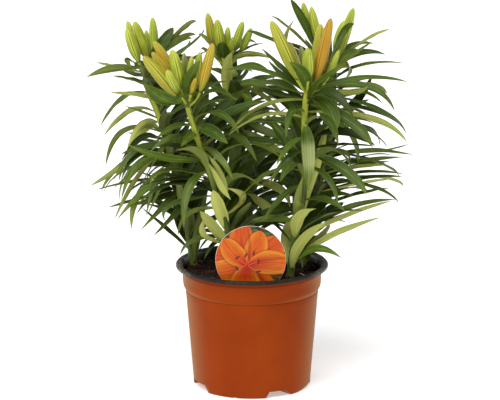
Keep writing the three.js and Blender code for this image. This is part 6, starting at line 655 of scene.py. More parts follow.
def add_leaf(b, L, slots, rnd, look=None):
    """A thin closed blade: upper face, under face with a raised midrib, sharp edges and a drawn-out tip."""
    t = np.linspace(0, 1, NV) ** 0.96
    C, T, S, N, w = leaf_frame(L, t)
    big = L[10] / 14
    u = np.linspace(-1, 1, NU)
    k1, k2, ph = 2.0 + 2.2 * rnd[0], 1.3 + 1.5 * rnd[1], 6.28 * rnd[2]
    wave = (np.sin(2 * np.pi * k1 * t + ph)[:, None] * (u > 0) + np.sin(2 * np.pi * k2 * t + 2 * ph)[:, None] * (u < 0)) * np.abs(u) ** 2.2
    env = np.sin(np.pi * np.clip(t, 0, 1)) ** 0.8
    fold = (0.26 + 0.10 * rnd[3]) * (1 - 0.35 * t)
    lift = w[:, None] * (fold[:, None] * np.abs(u) ** 1.25 - 0.07) + 0.55 * big * wave * env[:, None] * (0.4 + rnd[4])
    # shallow corrugation between the parallel veins
    lift = lift + 0.10 * np.cos(u * np.pi * 3)[None, :] * (1 - u ** 4)[None, :] * env[:, None]
    mid = C[:, None] + S[:, None] * (w[:, None] * u)[:, :, None] + N[:, None] * lift[:, :, None]
    th = (0.16 + 0.16 * (1 - np.abs(u)) ** 0.7)[None, :] * np.minimum(1, w / 1.5)[:, None]
    keel = 0.42 * np.exp(-(u / 0.13) ** 2)[None, :] * (1 - t)[:, None] ** 0.6 * np.minimum(1, w / 3)[:, None]
    groove = 0.18 * np.exp(-(u / 0.13) ** 2)[None, :] * env[:, None]
    top = mid + N[:, None] * (th - groove)[:, :, None]
    bot = mid - N[:, None] * (th + keel)[:, :, None]
    uu, vv = np.tile(u, NV), np.repeat(t, NU)
    (x0, y0, x1, y1), (a0, b0, a1, b1) = slots
    uv1 = np.stack([x0 + (x1 - x0) * vv, y0 + (y1 - y0) * (uu * 0.5 + 0.5)], 1)
    uv2 = np.stack([a0 + (a1 - a0) * vv, b0 + (b1 - b0) * (uu * 0.5 + 0.5)], 1)
    tone = rnd[5]
    n = NU * NV
    faces = grid_faces(NU, NV, flip=True) + [tuple(i + n for i in f) for f in grid_faces(NU, NV)]
    # close the two edges and the base
    for j in range(NV - 1):
        for i, fl in ((0, False), (NU - 1, True)):
            a, c = j * NU + i, (j + 1) * NU + i
            q = (a, c, c + n, a + n)
            faces.append(q[::-1] if fl else q)
    for i in range(NU - 1):
        faces.append((i, i + 1, i + 1 + n, i + n))
    # hero leaves keep their lit colour with a small random painted shade and a random painted sheen; filler leaves
    # inside the plant get more painted shade; kind 3 is dark on both faces
    kind = L[13]
    wash, side = 0.0, np.ones(n)
    if look is not None:
        deep, pale, wash = look
        side = side * (pale >= 0)
        pale = max(0.0, pale)
    elif kind == 2:
        out = math.hypot(*(C[NV // 2][:2]))
        deep, pale = 0.38 + 0.20 * float(smoothstep(50, 120, out)) + 0.6 * (rnd[6] - 0.5), 0.35 * rnd[3]
    else:
        deep, pale = (0.25, 0.35, 0.3, 0.5)[int(kind)] * rnd[6], rnd[3] ** 1.3
        wash = 0.5 * max(0.0, rnd[4] - 0.5)
    if kind == 3:
        side = np.zeros(n)
    b.add(np.concatenate([top.reshape(-1, 3), bot.reshape(-1, 3)]), faces, np.concatenate([uv1, uv2]),
          u=np.concatenate([uu, uu]), v=np.concatenate([vv, vv]),
          under=np.concatenate([np.zeros(n), side]), tone=tone, deep=deep, pale=pale, wash=wash)


def strips(n, top=1.0):
    """n equal strips, 7 times as long as wide, in the unit square up to the height top."""
    cols = max(1, int(round(math.sqrt(n / 7.0 / top))))
    rows = math.ceil(n / cols)
    g = 0.004
    return [((i % cols) / cols + g, (i // cols) / rows * top + g * 0.5, (i % cols + 1) / cols - g, (i // cols + 1) / rows * top - g * 0.5) for i in range(n)]


# ------------------------------------------------------------------ materials
class Mat:
    def __init__(self, name):
        self.m = bpy.data.materials.new(name)
        self.m.use_nodes = True
        self.t = self.m.node_tree
        self.p = self.t.nodes["Principled BSDF"]

    def node(self, kind, **kw):
        n = self.t.nodes.new(kind)
        for k, v in kw.items():
            if k.startswith("_"):
                continue
            setattr(n, k, v)
        return n

    def put(self, sock, val):
        if hasattr(val, "links") or hasattr(val, "is_output"):
            self.t.links.new(val, sock)
        elif hasattr(val, "__len__"):
            sock.default_value = tuple(val) if len(val) == len(sock.default_value) else (*val, 1.0)
        else:
            sock.default_value = val

    def attr(self, name):
        return self.node("ShaderNodeAttribute", attribute_name=name).outputs["Fac"]

    def math(self, op, a, b=0.0, c=0.0, clamp=False):
        n = self.node("ShaderNodeMath", operation=op, use_clamp=clamp)
        for s, v in zip(n.inputs, (a, b, c)):
            self.put(s, v)
        return n.outputs[0]

    def range(self, x, a, b, c=0.0, d=1.0, smooth=True):
        n = self.node("ShaderNodeMapRange", interpolation_type="SMOOTHSTEP" if smooth else "LINEAR")
        for s, v in zip(n.inputs, (x, a, b, c, d)):
            self.put(s, v)
        return n.outputs[0]

    def mix(self, f, a, b, mode="MIX"):
        n = self.node("ShaderNodeMix", data_type="RGBA", blend_type=mode, clamp_factor=True)
        self.put(n.inputs[0], f)
        self.put(n.inputs[6], a)
        self.put(n.inputs[7], b)
        return n.outputs[2]

    def coords(self, scale=(1, 1, 1)):
        tc = self.node("ShaderNodeTexCoord")
        mp = self.node("ShaderNodeMapping")
        self.t.links.new(tc.outputs["Object"], mp.inputs["Vector"])
        mp.inputs["Scale"].default_value = scale
        return mp.outputs[0]

    def noise(self, vec, scale, detail=4, rough=0.55, distortion=0.0):
        n = self.node("ShaderNodeTexNoise")
        self.put(n.inputs["Vector"], vec)
        n.inputs["Scale"].default_value = scale
        n.inputs["Detail"].default_value = detail
        n.inputs["Roughness"].default_value = rough
        n.inputs["Distortion"].default_value = distortion
        return n.outputs["Fac"]

    def vec(self, x, y, z):
        n = self.node("ShaderNodeCombineXYZ")
        for s, v in zip(n.inputs, (x, y, z)):
            self.put(s, v)
        return n.outputs[0]

    def bump(self, h, strength, dist):
        n = self.node("ShaderNodeBump")
        n.inputs["Strength"].default_value = strength
        n.inputs["Distance"].default_value = dist
        self.put(n.inputs["Height"], h)
        self.t.links.new(n.outputs[0], self.p.inputs["Normal"])

    def set(self, **kw):
        for k, v in kw.items():
            self.put(self.p.inputs[k.replace("_", " ")], v)
        return self.m


def lin(r, g, b):
    """sRGB 0..255 to linear."""
    return tuple(((c / 255) / 12.92 if c / 255 <= 0.04045 else ((c / 255 + 0.055) / 1.055) ** 2.4) for c in (r, g, b))


def foliage(name):
    k = Mat(name)
    u, v, under, tone, deep, pale, wash = (k.attr(a) for a in ("u", "v", "under", "tone", "deep", "pale", "wash"))
    au = k.math("ABSOLUTE", u)
    streak = k.noise(k.vec(k.math("MULTIPLY", u, 9.0), k.math("MULTIPLY", v, 1.2), k.math("MULTIPLY", tone, 37.0)), 1.0, 3, 0.6)
    patch = k.noise(k.vec(k.math("MULTIPLY", u, 1.0), k.math("MULTIPLY", v, 4.0), k.math("MULTIPLY", tone, 91.0)), 1.3, 2, 0.5)
    veins = k.math("MULTIPLY_ADD", k.math("COSINE", k.math("MULTIPLY", u, 16.0)), 0.5, 0.5)
    fine = k.math("MULTIPLY_ADD", k.math("COSINE", k.math("MULTIPLY", u, 47.0)), 0.5, 0.5)
    veins = k.math("MULTIPLY", k.math("ADD", k.math("MULTIPLY", veins, 0.7), k.math("MULTIPLY", fine, 0.3)), k.range(streak, 0.25, 0.6, 0.5, 1.1))
    rib = k.range(au, 0.0, 0.10, 1.0, 0.0)
    sheen_band = k.range(au, 0.05, 0.55, 1.0, 0.0)
    edge = k.range(au, 0.86, 0.99, 0.0, 1.0)
    top = k.mix(tone, lin(50, 78, 16), lin(82, 106, 24))
    top = k.mix(k.range(streak, 0.35, 0.7, 0, 0.5), top, lin(38, 62, 18))
    # painted sheen: a lighter band down the middle of the upper face, in patches
    top = k.mix(k.math("MULTIPLY", sheen_band, k.range(patch, 0.35, 0.65, 0.0, 0.45)), top, lin(116, 140, 50))
    top = k.mix(k.math("MULTIPLY", veins, 0.30), top, lin(126, 148, 50))
    top = k.mix(k.math("MULTIPLY", rib, 0.45), top, lin(138, 158, 56))
    top = k.mix(k.math("MULTIPLY", edge, 0.55), top, lin(146, 162, 62))
    top = k.mix(k.range(patch, 0.5, 0.75, 0, 0.3), top, lin(112, 132, 36))
    top = k.mix(k.range(v, 0.7, 1.0, 0.0, 0.35), top, lin(138, 150, 50))
    # painted sheen: a light wash painted where a drooping leaf turns its face up to the light
    shine = k.mix(k.math("MULTIPLY", veins, 0.7), lin(128, 142, 78), lin(172, 178, 118))
    top = k.mix(k.math("MULTIPLY", wash, k.math("MULTIPLY", k.range(v, 0.26, 0.44), k.range(v, 0.86, 0.62))), top, shine)
    low = k.mix(pale, lin(98, 114, 34), lin(180, 184, 90))
    low = k.mix(k.range(streak, 0.35, 0.7, 0, 0.4), low, k.mix(pale, lin(80, 98, 30), lin(150, 160, 80)))
    low = k.mix(k.math("MULTIPLY", veins, 0.35), low, k.mix(pale, lin(150, 162, 74), lin(208, 208, 124)))
    low = k.mix(k.math("MULTIPLY", rib, 0.5), low, lin(190, 196, 110))
    # painted light: paleness above 1 lightens a shaded under face further
    low = k.mix(k.math("SUBTRACT", pale, 1.0, clamp=True), low, lin(218, 222, 116))
    # painted shade: leaves are mixed towards these dark colours by their darkness value
    dark = k.mix(under, lin(33, 46, 22), lin(48, 60, 28))
    col = k.mix(under, top, low)
    col = k.mix(deep, col, dark)
    col = k.mix(k.math("MULTIPLY", k.range(v, 0.20, 0.0, 0.0, 0.5), k.math("SUBTRACT", 1.0, deep, clamp=True)), col, lin(152, 168, 60))
    k.bump(k.math("ADD", k.math("MULTIPLY", veins, 0.7), k.math("MULTIPLY", streak, 0.6)), 0.4, 0.0008)
    rough = k.math("ADD", k.range(under, 0.0, 1.0, 0.34, 0.54), k.math("MULTIPLY", streak, 0.10))
    return k.set(Base_Color=col, Roughness=rough, IOR=1.29)


def stem_mat():
    k = Mat("stem skin")
    u, v, h = (k.attr(a) for a in ("u", "v", "height"))
    n = k.noise(k.vec(k.math("MULTIPLY", u, 14.0), k.math("MULTIPLY", v, 3.0), 0.0), 1.6, 3)
    # painted shade and light: darker low down, where the leaves shade the stem, lighter towards the flower heads
    col = k.mix(k.range(h, 250, 345), lin(72, 88, 32), lin(182, 190, 66))
    col = k.mix(k.range(n, 0.4, 0.7, 0, 0.5), col, lin(112, 130, 46))
    col = k.mix(k.range(h, 175, 148, 0, 0.35), col, lin(126, 134, 74))
    k.bump(n, 0.3, 0.0006)
    return k.set(Base_Color=col, Roughness=0.42, IOR=1.33)


def bud_mat(name, ripe):
    """Closed tepals: lime edges along dark seams, a faint ridge down each middle; ripe ones are flushed orange between the two."""
    k = Mat(name)
    u, v, tone, side = (k.attr(a) for a in ("u", "v", "tone", "side"))
    n = k.noise(k.vec(k.math("MULTIPLY", u, 40.0), k.math("MULTIPLY", v, 2.2), tone), 1.0, 3)
    m = k.noise(k.vec(k.math("MULTIPLY", u, 6.0), k.math("MULTIPLY", v, 1.8), k.math("ADD", tone, 40.0)), 1.0, 2)
    grey, r = ripe < 0, max(0.0, ripe)
    glow = 1.34 if r < 0.4 else 1.13
    tint = lambda *c: tuple(x * glow for x in lin(*c))
    base = k.mix(k.range(v, 0.0, 0.45), tint(92, 118, 28) if not grey else lin(92, 104, 54), tint(134, 148, 42) if not grey else lin(118, 126, 72))
    base = k.mix(k.range(v, 0.5, 1.0, 0, 0.55), base, tint(182, 186, 78) if not grey else lin(150, 152, 96))
    base = k.mix(k.range(n, 0.40, 0.66, 0, 0.6), base, tint(98, 126, 28) if not grey else lin(100, 112, 60))
    base = k.mix(k.range(m, 0.42, 0.66, 0, 0.5), base, tint(186, 188, 62) if not grey else lin(140, 146, 86))
    base = k.mix(k.range(k.math("FRACT", tone), 0.0, 1.0, 0.0, 0.35, smooth=False), base, tint(104, 132, 32) if not grey else lin(110, 120, 70))
    # light edges of the outer tepals
    lime = k.math("MULTIPLY", k.range(side, 0.58, 0.80), k.range(side, 0.94, 0.88))
    if r > 0:
        flush = k.math("MULTIPLY", k.math("MULTIPLY", k.range(side, 0.06, 0.25), k.range(side, 0.82, 0.62, 0.15, 1.0)), k.range(v, 0.0, 0.25, 0.6, 1.0))
        flush = k.math("MULTIPLY", flush, k.range(m, 0.62, 0.34, 0.35, 1.0))
        warm = k.mix(k.range(n, 0.38, 0.66), lin(208, 148, 30), lin(190, 108, 24))
        base = k.mix(k.math("MULTIPLY", flush, min(1.0, r * 1.2)), base, warm)
    base = k.mix(k.math("MULTIPLY", lime, 0.7), base, tint(186, 190, 76) if r < 0.7 else lin(208, 182, 62))
    base = k.mix(k.range(side, 0.07, 0.0, 0, 0.4), base, tint(176, 184, 78) if r < 0.6 else lin(196, 160, 52))
    if r > 1:  # the ripest one is orange all over
        base = k.mix(k.range(n, 0.30, 0.62, 0.72, 0.38), base, lin(182, 116, 14))
    # the dark seam where two tepals meet
    seam = k.range(side, 0.905, 0.965)
    seam = k.math("MULTIPLY", seam, k.range(k.math("FRACT", k.math("MULTIPLY", tone, 3.7)), 0.0, 1.0, 0.45, 0.95, smooth=False))
    base = k.mix(seam, base, lin(62, 80, 18) if r < 0.15 else lin(104, 60, 18))
    k.bump(n, 0.5, 0.0009)
    return k.set(Base_Color=base, Roughness=0.40, IOR=1.36)


def pot_outer():
    k = Mat("terracotta plastic")
    c = k.coords()
    soft = k.noise(c, 14, 3)
    fine = k.noise(k.coords((1, 1, 0.35)), 120, 4, 0.6)
    col = k.mix(k.range(soft, 0.3, 0.7), lin(136, 51, 9), lin(147, 58, 11))
    col = k.mix(k.range(fine, 0.55, 0.8, 0, 0.3), col, lin(132, 49, 8))
    scuff = k.noise(k.coords((1, 1, 0.15)), 55, 5, 0.7)
    col = k.mix(k.range(scuff, 0.66, 0.82, 0, 0.16), col, lin(176, 104, 58))
    # painted sheen: a beige reflection painted into the colour where the wall turns away from view
    sheen_facing = k.node("ShaderNodeLayerWeight")
    sheen_facing.inputs["Blend"].default_value = 0.5
    col = k.mix(k.range(sheen_facing.outputs["Facing"], 0.28, 0.95, 0.0, 0.66), col, lin(156, 114, 62))
    k.bump(fine, 0.12, 0.0004)
    rough = k.range(soft, 0.3, 0.7, 0.42, 0.52)
    return k.set(Base_Color=col, Roughness=rough, IOR=1.13)


def pot_inner():
    k = Mat("black plastic")
    # grey on the lip's left and right ends: a painted highlight, broken into speckles of wear
    ends = k.attr("ends")
    worn = k.noise(k.coords((1, 1, 0.4)), 300, 5, 0.75)
    wear_and_highlight = k.math("MULTIPLY", k.range(worn, 0.42, 0.60), ends, clamp=True)
    soft = k.noise(k.coords(), 40, 3)
    col = k.mix(k.range(soft, 0.3, 0.7), lin(18, 15, 12), lin(28, 23, 18))
    col = k.mix(k.math("MULTIPLY", wear_and_highlight, 0.8), col, lin(150, 142, 128))
    k.bump(worn, 0.25, 0.0004)
    return k.set(Base_Color=col, Roughness=k.range(wear_and_highlight, 0, 1, 0.45, 0.7), IOR=1.3)


def soil_mat(name, chip=False):
    k = Mat(name)
    c = k.coords()
    a = k.noise(c, 260, 6, 0.7)
    b = k.noise(c, 900, 4, 0.7)
    if chip:
        t = k.attr("tone")
        col = k.mix(k.range(t, 0.0, 0.6), lin(26, 16, 11), lin(70, 38, 24))
        col = k.mix(k.range(t, 0.7, 1.0), col, lin(128, 74, 46))
        col = k.mix(k.range(b, 0.35, 0.7, 0, 0.6), col, lin(24, 16, 12))
    else:
        col = k.mix(k.range(a, 0.35, 0.65), lin(16, 11, 8), lin(38, 25, 18))
        col = k.mix(k.range(b, 0.55, 0.75, 0, 0.5), col, lin(70, 42, 28))
    k.bump(k.math("ADD", a, b), 0.9, 0.0012)
    return k.set(Base_Color=col, Roughness=0.85, IOR=1.3)


def bulb_mat():
    k = Mat("bulb scale")
    n = k.noise(k.coords((1, 1, 0.3)), 160, 4)
    v = k.attr("v")
    col = k.mix(k.range(n, 0.35, 0.7), lin(226, 208, 168), lin(200, 172, 122))
    col = k.mix(k.range(v, 0.25, 0.0, 0, 0.5), col, lin(150, 112, 70))
    k.bump(n, 0.4, 0.001)
    return k.set(Base_Color=col, Roughness=0.6)


def straw_mat():
    k = Mat("straw")
    n = k.noise(k.coords((1, 1, 0.3)), 200, 3)
    col = k.mix(k.range(n, 0.35, 0.7), lin(206, 186, 140), lin(170, 142, 96))
    return k.set(Base_Color=col, Roughness=0.6)


def print_mat():
    """The label's print: a blossom of my own with seven pointed petals, yellow to red-orange, on dark green."""
    k = Mat("label print")
    cx, cy = -0.10, -0.16
    lx, ly = k.attr("lx"), k.attr("ly")
    x, y = k.math("SUBTRACT", lx, cx), k.math("SUBTRACT", ly, cy)
    r = k.math("SQRT", k.math("ADD", k.math("MULTIPLY", x, x), k.math("MULTIPLY", y, y)))
    ang = k.math("ARCTAN2", y, x)
    leafy = k.noise(k.vec(k.math("MULTIPLY", x, 3.0), k.math("MULTIPLY", y, 9.0), 3.0), 1.6, 3)
    col = k.mix(k.range(leafy, 0.38, 0.66), lin(22, 38, 18), lin(86, 112, 60))

    # petals: angle of the axis, half width at the widest part, length, how far they lie at the front
    back = [(100, 0.40, 1.30, 0.2), (36, 0.42, 1.35, 0.5), (162, 0.42, 1.20, 0.8), (228, 0.44, 1.15, 0.3), (306, 0.46, 1.20, 0.6)]
    front = [(68, 0.36, 1.08, 0.9), (4, 0.40, 1.30, 0.1), (192, 0.40, 1.20, 0.4), (268, 0.50, 1.10, 0.7), (132, 0.34, 1.02, 0.0)]
    for row, (deg, half, reach, seed) in [(0, b) for b in back] + [(1, f) for f in front]:
        a = math.radians(deg)
        s = k.math("ADD", k.math("MULTIPLY", x, math.cos(a)), k.math("MULTIPLY", y, math.sin(a)))
        t = k.math("SUBTRACT", k.math("MULTIPLY", y, math.cos(a)), k.math("MULTIPLY", x, math.sin(a)))
        q = k.math("DIVIDE", s, reach)
        wide = k.math("MULTIPLY", k.math("POWER", k.math("MAXIMUM", q, 0.0001), 0.62), k.math("POWER", k.math("MAXIMUM", k.math("SUBTRACT", 1.0, q), 0.0001), 0.55))
        wide = k.math("MULTIPLY", wide, half * 2.0)
        at = k.math("ABSOLUTE", k.math("ADD", t, k.math("MULTIPLY", k.math("SINE", k.math("MULTIPLY", s, 3.0)), 0.05 * (1 if seed > 0.5 else -1))))
        inside = k.range(k.math("SUBTRACT", wide, at), -0.006, 0.012)
        side = k.math("DIVIDE", at, k.math("MAXIMUM", wide, 0.01))
        fibre = k.noise(k.vec(k.math("MULTIPLY", side, 7.0), k.math("MULTIPLY", s, 1.6), seed * 50 + deg), 1.5, 3)
        tint = k.mix(k.range(q, 0.05, 0.62), lin(200, 48, 10), lin(214, 108, 20) if row else lin(206, 88, 18))
        tint = k.mix(k.range(side, 0.35, 1.0, 0, 0.75), tint, lin(228, 156, 44) if row else lin(220, 122, 32))
        tint = k.mix(k.range(fibre, 0.42, 0.68, 0, 0.5), tint, lin(184, 46, 12))
        tint = k.mix(k.range(side, 0.09, 0.0, 0, 0.55), tint, lin(170, 38, 10))
        # each petal darkens the one below along its edge
        shade = k.range(k.math("SUBTRACT", wide, at), -0.07, 0.0, 0, 0.45)
        col = k.mix(shade, col, lin(130, 30, 9))
        col = k.mix(inside, col, tint)
    eye = k.range(r, 0.26, 0.04)
    col = k.mix(k.math("MULTIPLY", eye, 0.85), col, lin(176, 36, 12))
    # anthers: short dark bars on thin red filaments
    for deg, far, tilt in [(20, 0.34, 60), (62, 0.40, 20), (98, 0.30, 150), (140, 0.36, 80), (196, 0.30, 110), (330, 0.36, 40)]:
        a, g = math.radians(deg), math.radians(deg + tilt)
        px, py = far * math.cos(a), far * math.sin(a)
        s = k.math("ADD", k.math("MULTIPLY", x, math.cos(a)), k.math("MULTIPLY", y, math.sin(a)))
        t = k.math("SUBTRACT", k.math("MULTIPLY", y, math.cos(a)), k.math("MULTIPLY", x, math.sin(a)))
        line = k.math("MULTIPLY", k.range(k.math("ABSOLUTE", t), 0.014, 0.006), k.math("MULTIPLY", k.range(s, 0.02, 0.05), k.range(s, far, far - 0.02)))
        col = k.mix(k.math("MULTIPLY", line, 0.7), col, lin(238, 120, 60))
        dx, dy = k.math("SUBTRACT", x, px), k.math("SUBTRACT", y, py)
        m = k.math("ADD", k.math("MULTIPLY", dx, math.cos(g)), k.math("MULTIPLY", dy, math.sin(g)))
        n = k.math("SUBTRACT", k.math("MULTIPLY", dy, math.cos(g)), k.math("MULTIPLY", dx, math.sin(g)))
        bar = k.math("ADD", k.math("POWER", k.math("DIVIDE", k.math("ABSOLUTE", m), 0.085), 2.0), k.math("POWER", k.math("DIVIDE", k.math("ABSOLUTE", n), 0.030), 2.0))
        col = k.mix(k.range(bar, 1.15, 0.75, 0, 0.92), col, lin(84, 46, 30))
    col = k.mix(1.0, col, (0.90, 0.84, 0.86, 1.0), "MULTIPLY")
    return k.set(Base_Color=col, Roughness=0.32, IOR=1.3)


def plain(name, colour, rough):
    k = Mat(name)
    n = k.noise(k.coords(), 60, 3)
    col = k.mix(k.range(n, 0.3, 0.7), colour, tuple(c * 0.93 for c in colour))
    return k.set(Base_Color=col, Roughness=rough)


def floor_mat():
    k = Mat("floor")
    return k.set(Base_Color=lin(240, 240, 240), Roughness=0.9, IOR=1.3, Emission_Color=(1, 1, 1, 1), Emission_Strength=0.40)


# ------------------------------------------------------------------ pot
def ride(ob, slot, *nodes):
    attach(ob, "root")
    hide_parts(*nodes)
    return ob


def lathe_rows(b, rows, thetas, mats, v_range, **at):
    """rows: function of theta giving the [r, z] points; mats: material index of each strip between rows."""
    prof = np.array([rows(t) for t in thetas])  # theta, row, 2
    nt, nr = prof.shape[:2]
    pts = np.stack([prof[..., 0] * np.sin(thetas)[:, None], -prof[..., 0] * np.cos(thetas)[:, None], prof[..., 1]], -1)
    pts = pts.transpose(1, 0, 2)
    ref = prof[0]
    d = np.concatenate([[0], np.cumsum(np.hypot(*np.diff(ref, axis=0).T))])
    vv = v_range[0] + (v_range[1] - v_range[0]) * d / d[-1]
    uu = (thetas - thetas[0]) / (thetas[-1] - thetas[0])
    uv = np.stack([np.tile(uu, nr), np.repeat(vv, nt)], 1)
    faces = grid_faces(nt, nr)
    ms = [mats[j] for j in range(nr - 1) for _ in range(nt - 1)]
    # painted highlight: a mask for the lip's left and right ends, where the black rim gets its grey
    x = np.abs(pts[..., 0]).ravel() / LIP_R
    lip = smoothstep(151.0, 154.0, pts[..., 2]).ravel()
    b.add(pts.reshape(-1, 3), faces, uv, mat=ms, ends=(smoothstep(0.74, 0.98, x) * 0.95 + 0.05) * lip)


NOTCHES = [[-87.5, -48, -81, -53.5, 8.5], [14, 42.5, 17.3, 35, 7.8], [85.5, 124.5, 91, 119, 8.5], [193.5, 222, 199, 216, 7.8]]


def notch_height(deg, grow=0.0):
    """Height of the foot's edge above the ground: 0 on the feet, sloping up into each drain notch."""
    for a, b, c, d, h in NOTCHES:
        for turn in (-360, 0, 360):
            t = deg + turn
            if a - grow < t < b + grow:
                return h * min(1.0, (t - a + grow) / (c - a), (b + grow - t) / (b - d))
    return 0.0


def make_pot():
    DEEP, R = 25.0, 73.4
    NICK, NICK_HALF = -17.4, 1.48
    deg = set(np.linspace(-180, 180, 193).tolist())
    wrap = lambda t: (t + 180) % 360 - 180
    for a, b, c, d, h in NOTCHES:
        for t in (a - 1.1, a, a + 0.4, c - 0.4, c, d, d + 0.4, b - 0.4, b, b + 1.1):
            deg.add(wrap(t))
    for e in (-1.6, -1.36, 1.36, 1.6):
        deg.add(wrap(NICK + e))
    deg = np.array(sorted(deg))
    th = np.radians(deg)

    def outer(t):
        t = math.degrees(t)
        h, hi, nick = notch_height(t), notch_height(t, 1.1), abs(t - NICK) < NICK_HALF
        # the foot at the right is a little worn and rises towards its end
        e = 2.6 * float(smoothstep(46, 78, t)) * (1 if 42 < t < 88 else 0)
        rows = [[0, 0], [R - DEEP - 4, 0], [R - DEEP, 0]]
        if h > 0:
            k = h / 8.5
            rows += [[R - DEEP + 0.1, 0.6 * k], [R - DEEP + 0.4, h - 0.6 * k], [R - DEEP + 1.2, h], [R - 12, h], [R - 1.0 * k - 0.8 * (1 - k), h], [R - 0.1 + 0.2 * k, h + 0.3 * (1 - k) + 0.05], [R + 0.2 + 0.0838 * h, h + 0.7]]
        elif nick:
            rows += [[R - DEEP + 1, 0], [R - 18, 0], [R - 12, 0], [R - 2.7, 0], [R - 2.6, 2.1], [R - 0.1, 2.2], [R + 0.3, 2.6]]
        else:
            rows += [[R - DEEP + 1, 0], [R - 18, 0], [R - 12, 0], [R - 6, 0], [R - 0.8, e], [R - 0.1, 0.5 + e], [R + 0.2, 2.0 + e]]
        rows += [[R + 0.05 + 0.0838 * z, z] for z in (10.2, 14, 30, 50, 70, 90, 105, 115, 123)]
        rows += [[83.6, 123.3], [83.1, 123.7], [83.1, 124.3], [84.0, 124.8], [85.0, 126.4], [85.8, 127.8], [86.4, 129.2], [86.75, 130.2], [86.9, 131.7], [87.3, 135], [87.6, 146.4]]
        rows += [[87.85, 146.8], [87.9, 147.3], [87.7, 147.8], [87.75, 151.6], [87.9, 153.6], [88.6, 154.9], [89.9, 155.3], [93.0, 155.3], [94.2, 154.7], [94.5, 153.8], [94.7, 153.15]]
        n_out = len(rows) - 2
        rows += [[95.1, 153.0], [95.7, 153.25], [96.0, 154.0], [96.0, 155.3], [95.8, 156.2], [95.2, 156.9], [94.2, 157.3], [92.6, 157.5], [91.0, 157.45], [90.0, 157.2], [89.0, 156.4], [87.9, 155.2], [87.0, 153.2], [86.4, 147]]
        rows += [[85.6, 132.5], [85.2, 130.6], [82.9, 126.4], [82.4, 124.2], [73.2 + 0.0838 * hi - 0.6, 12.6]]
        zi = 1.65 + hi
        rows += [[72.7, zi + 2.2], [71.7, zi + 0.7], [70.3, zi + 0.05], [R - DEEP - 1.2, zi], [R - DEEP - 1.7, 1.66], [0, 1.6]]
        return rows, n_out

    n_out = outer(0.3)[1]
    n = len(outer(0.3)[0]) - 1
    b = Build()
    lathe_rows(b, lambda t: outer(t)[0], th, [0 if i < n_out else 1 for i in range(n)], (0.002, 0.998))
    ob = b.object("pot_shell", [pot_outer(), pot_inner()])
    return ride(ob, "pot_plastic", "pot")


# ------------------------------------------------------------------ soil
def hash_noise(x, y, s, seed):
    """Smooth value noise on a grid of pitch s."""
    r = np.random.default_rng(seed).random((128, 128))
    xi, yi = np.floor(x / s).astype(int), np.floor(y / s).astype(int)
    fx, fy = x / s - xi, y / s - yi
    fx, fy = fx * fx * (3 - 2 * fx), fy * fy * (3 - 2 * fy)
    g = lambda a, c: r[a % 128, c % 128]
    return (g(xi, yi) * (1 - fx) + g(xi + 1, yi) * fx) * (1 - fy) + (g(xi, yi + 1) * (1 - fx) + g(xi + 1, yi + 1) * fx) * fy


def soil_height(x, y):
    r = np.hypot(x, y)
    z = np.interp(r, [0, 66, 85.2], [151.0, 148.6, 146.8])
    z = z + 2.0 * (hash_noise(x, y, 11, 1) - 0.5) + 1.6 * (hash_noise(x, y, 4.5, 2) - 0.5) + 1.0 * (hash_noise(x, y, 2.0, 3) - 0.5)
    return np.minimum(z, 152.0)


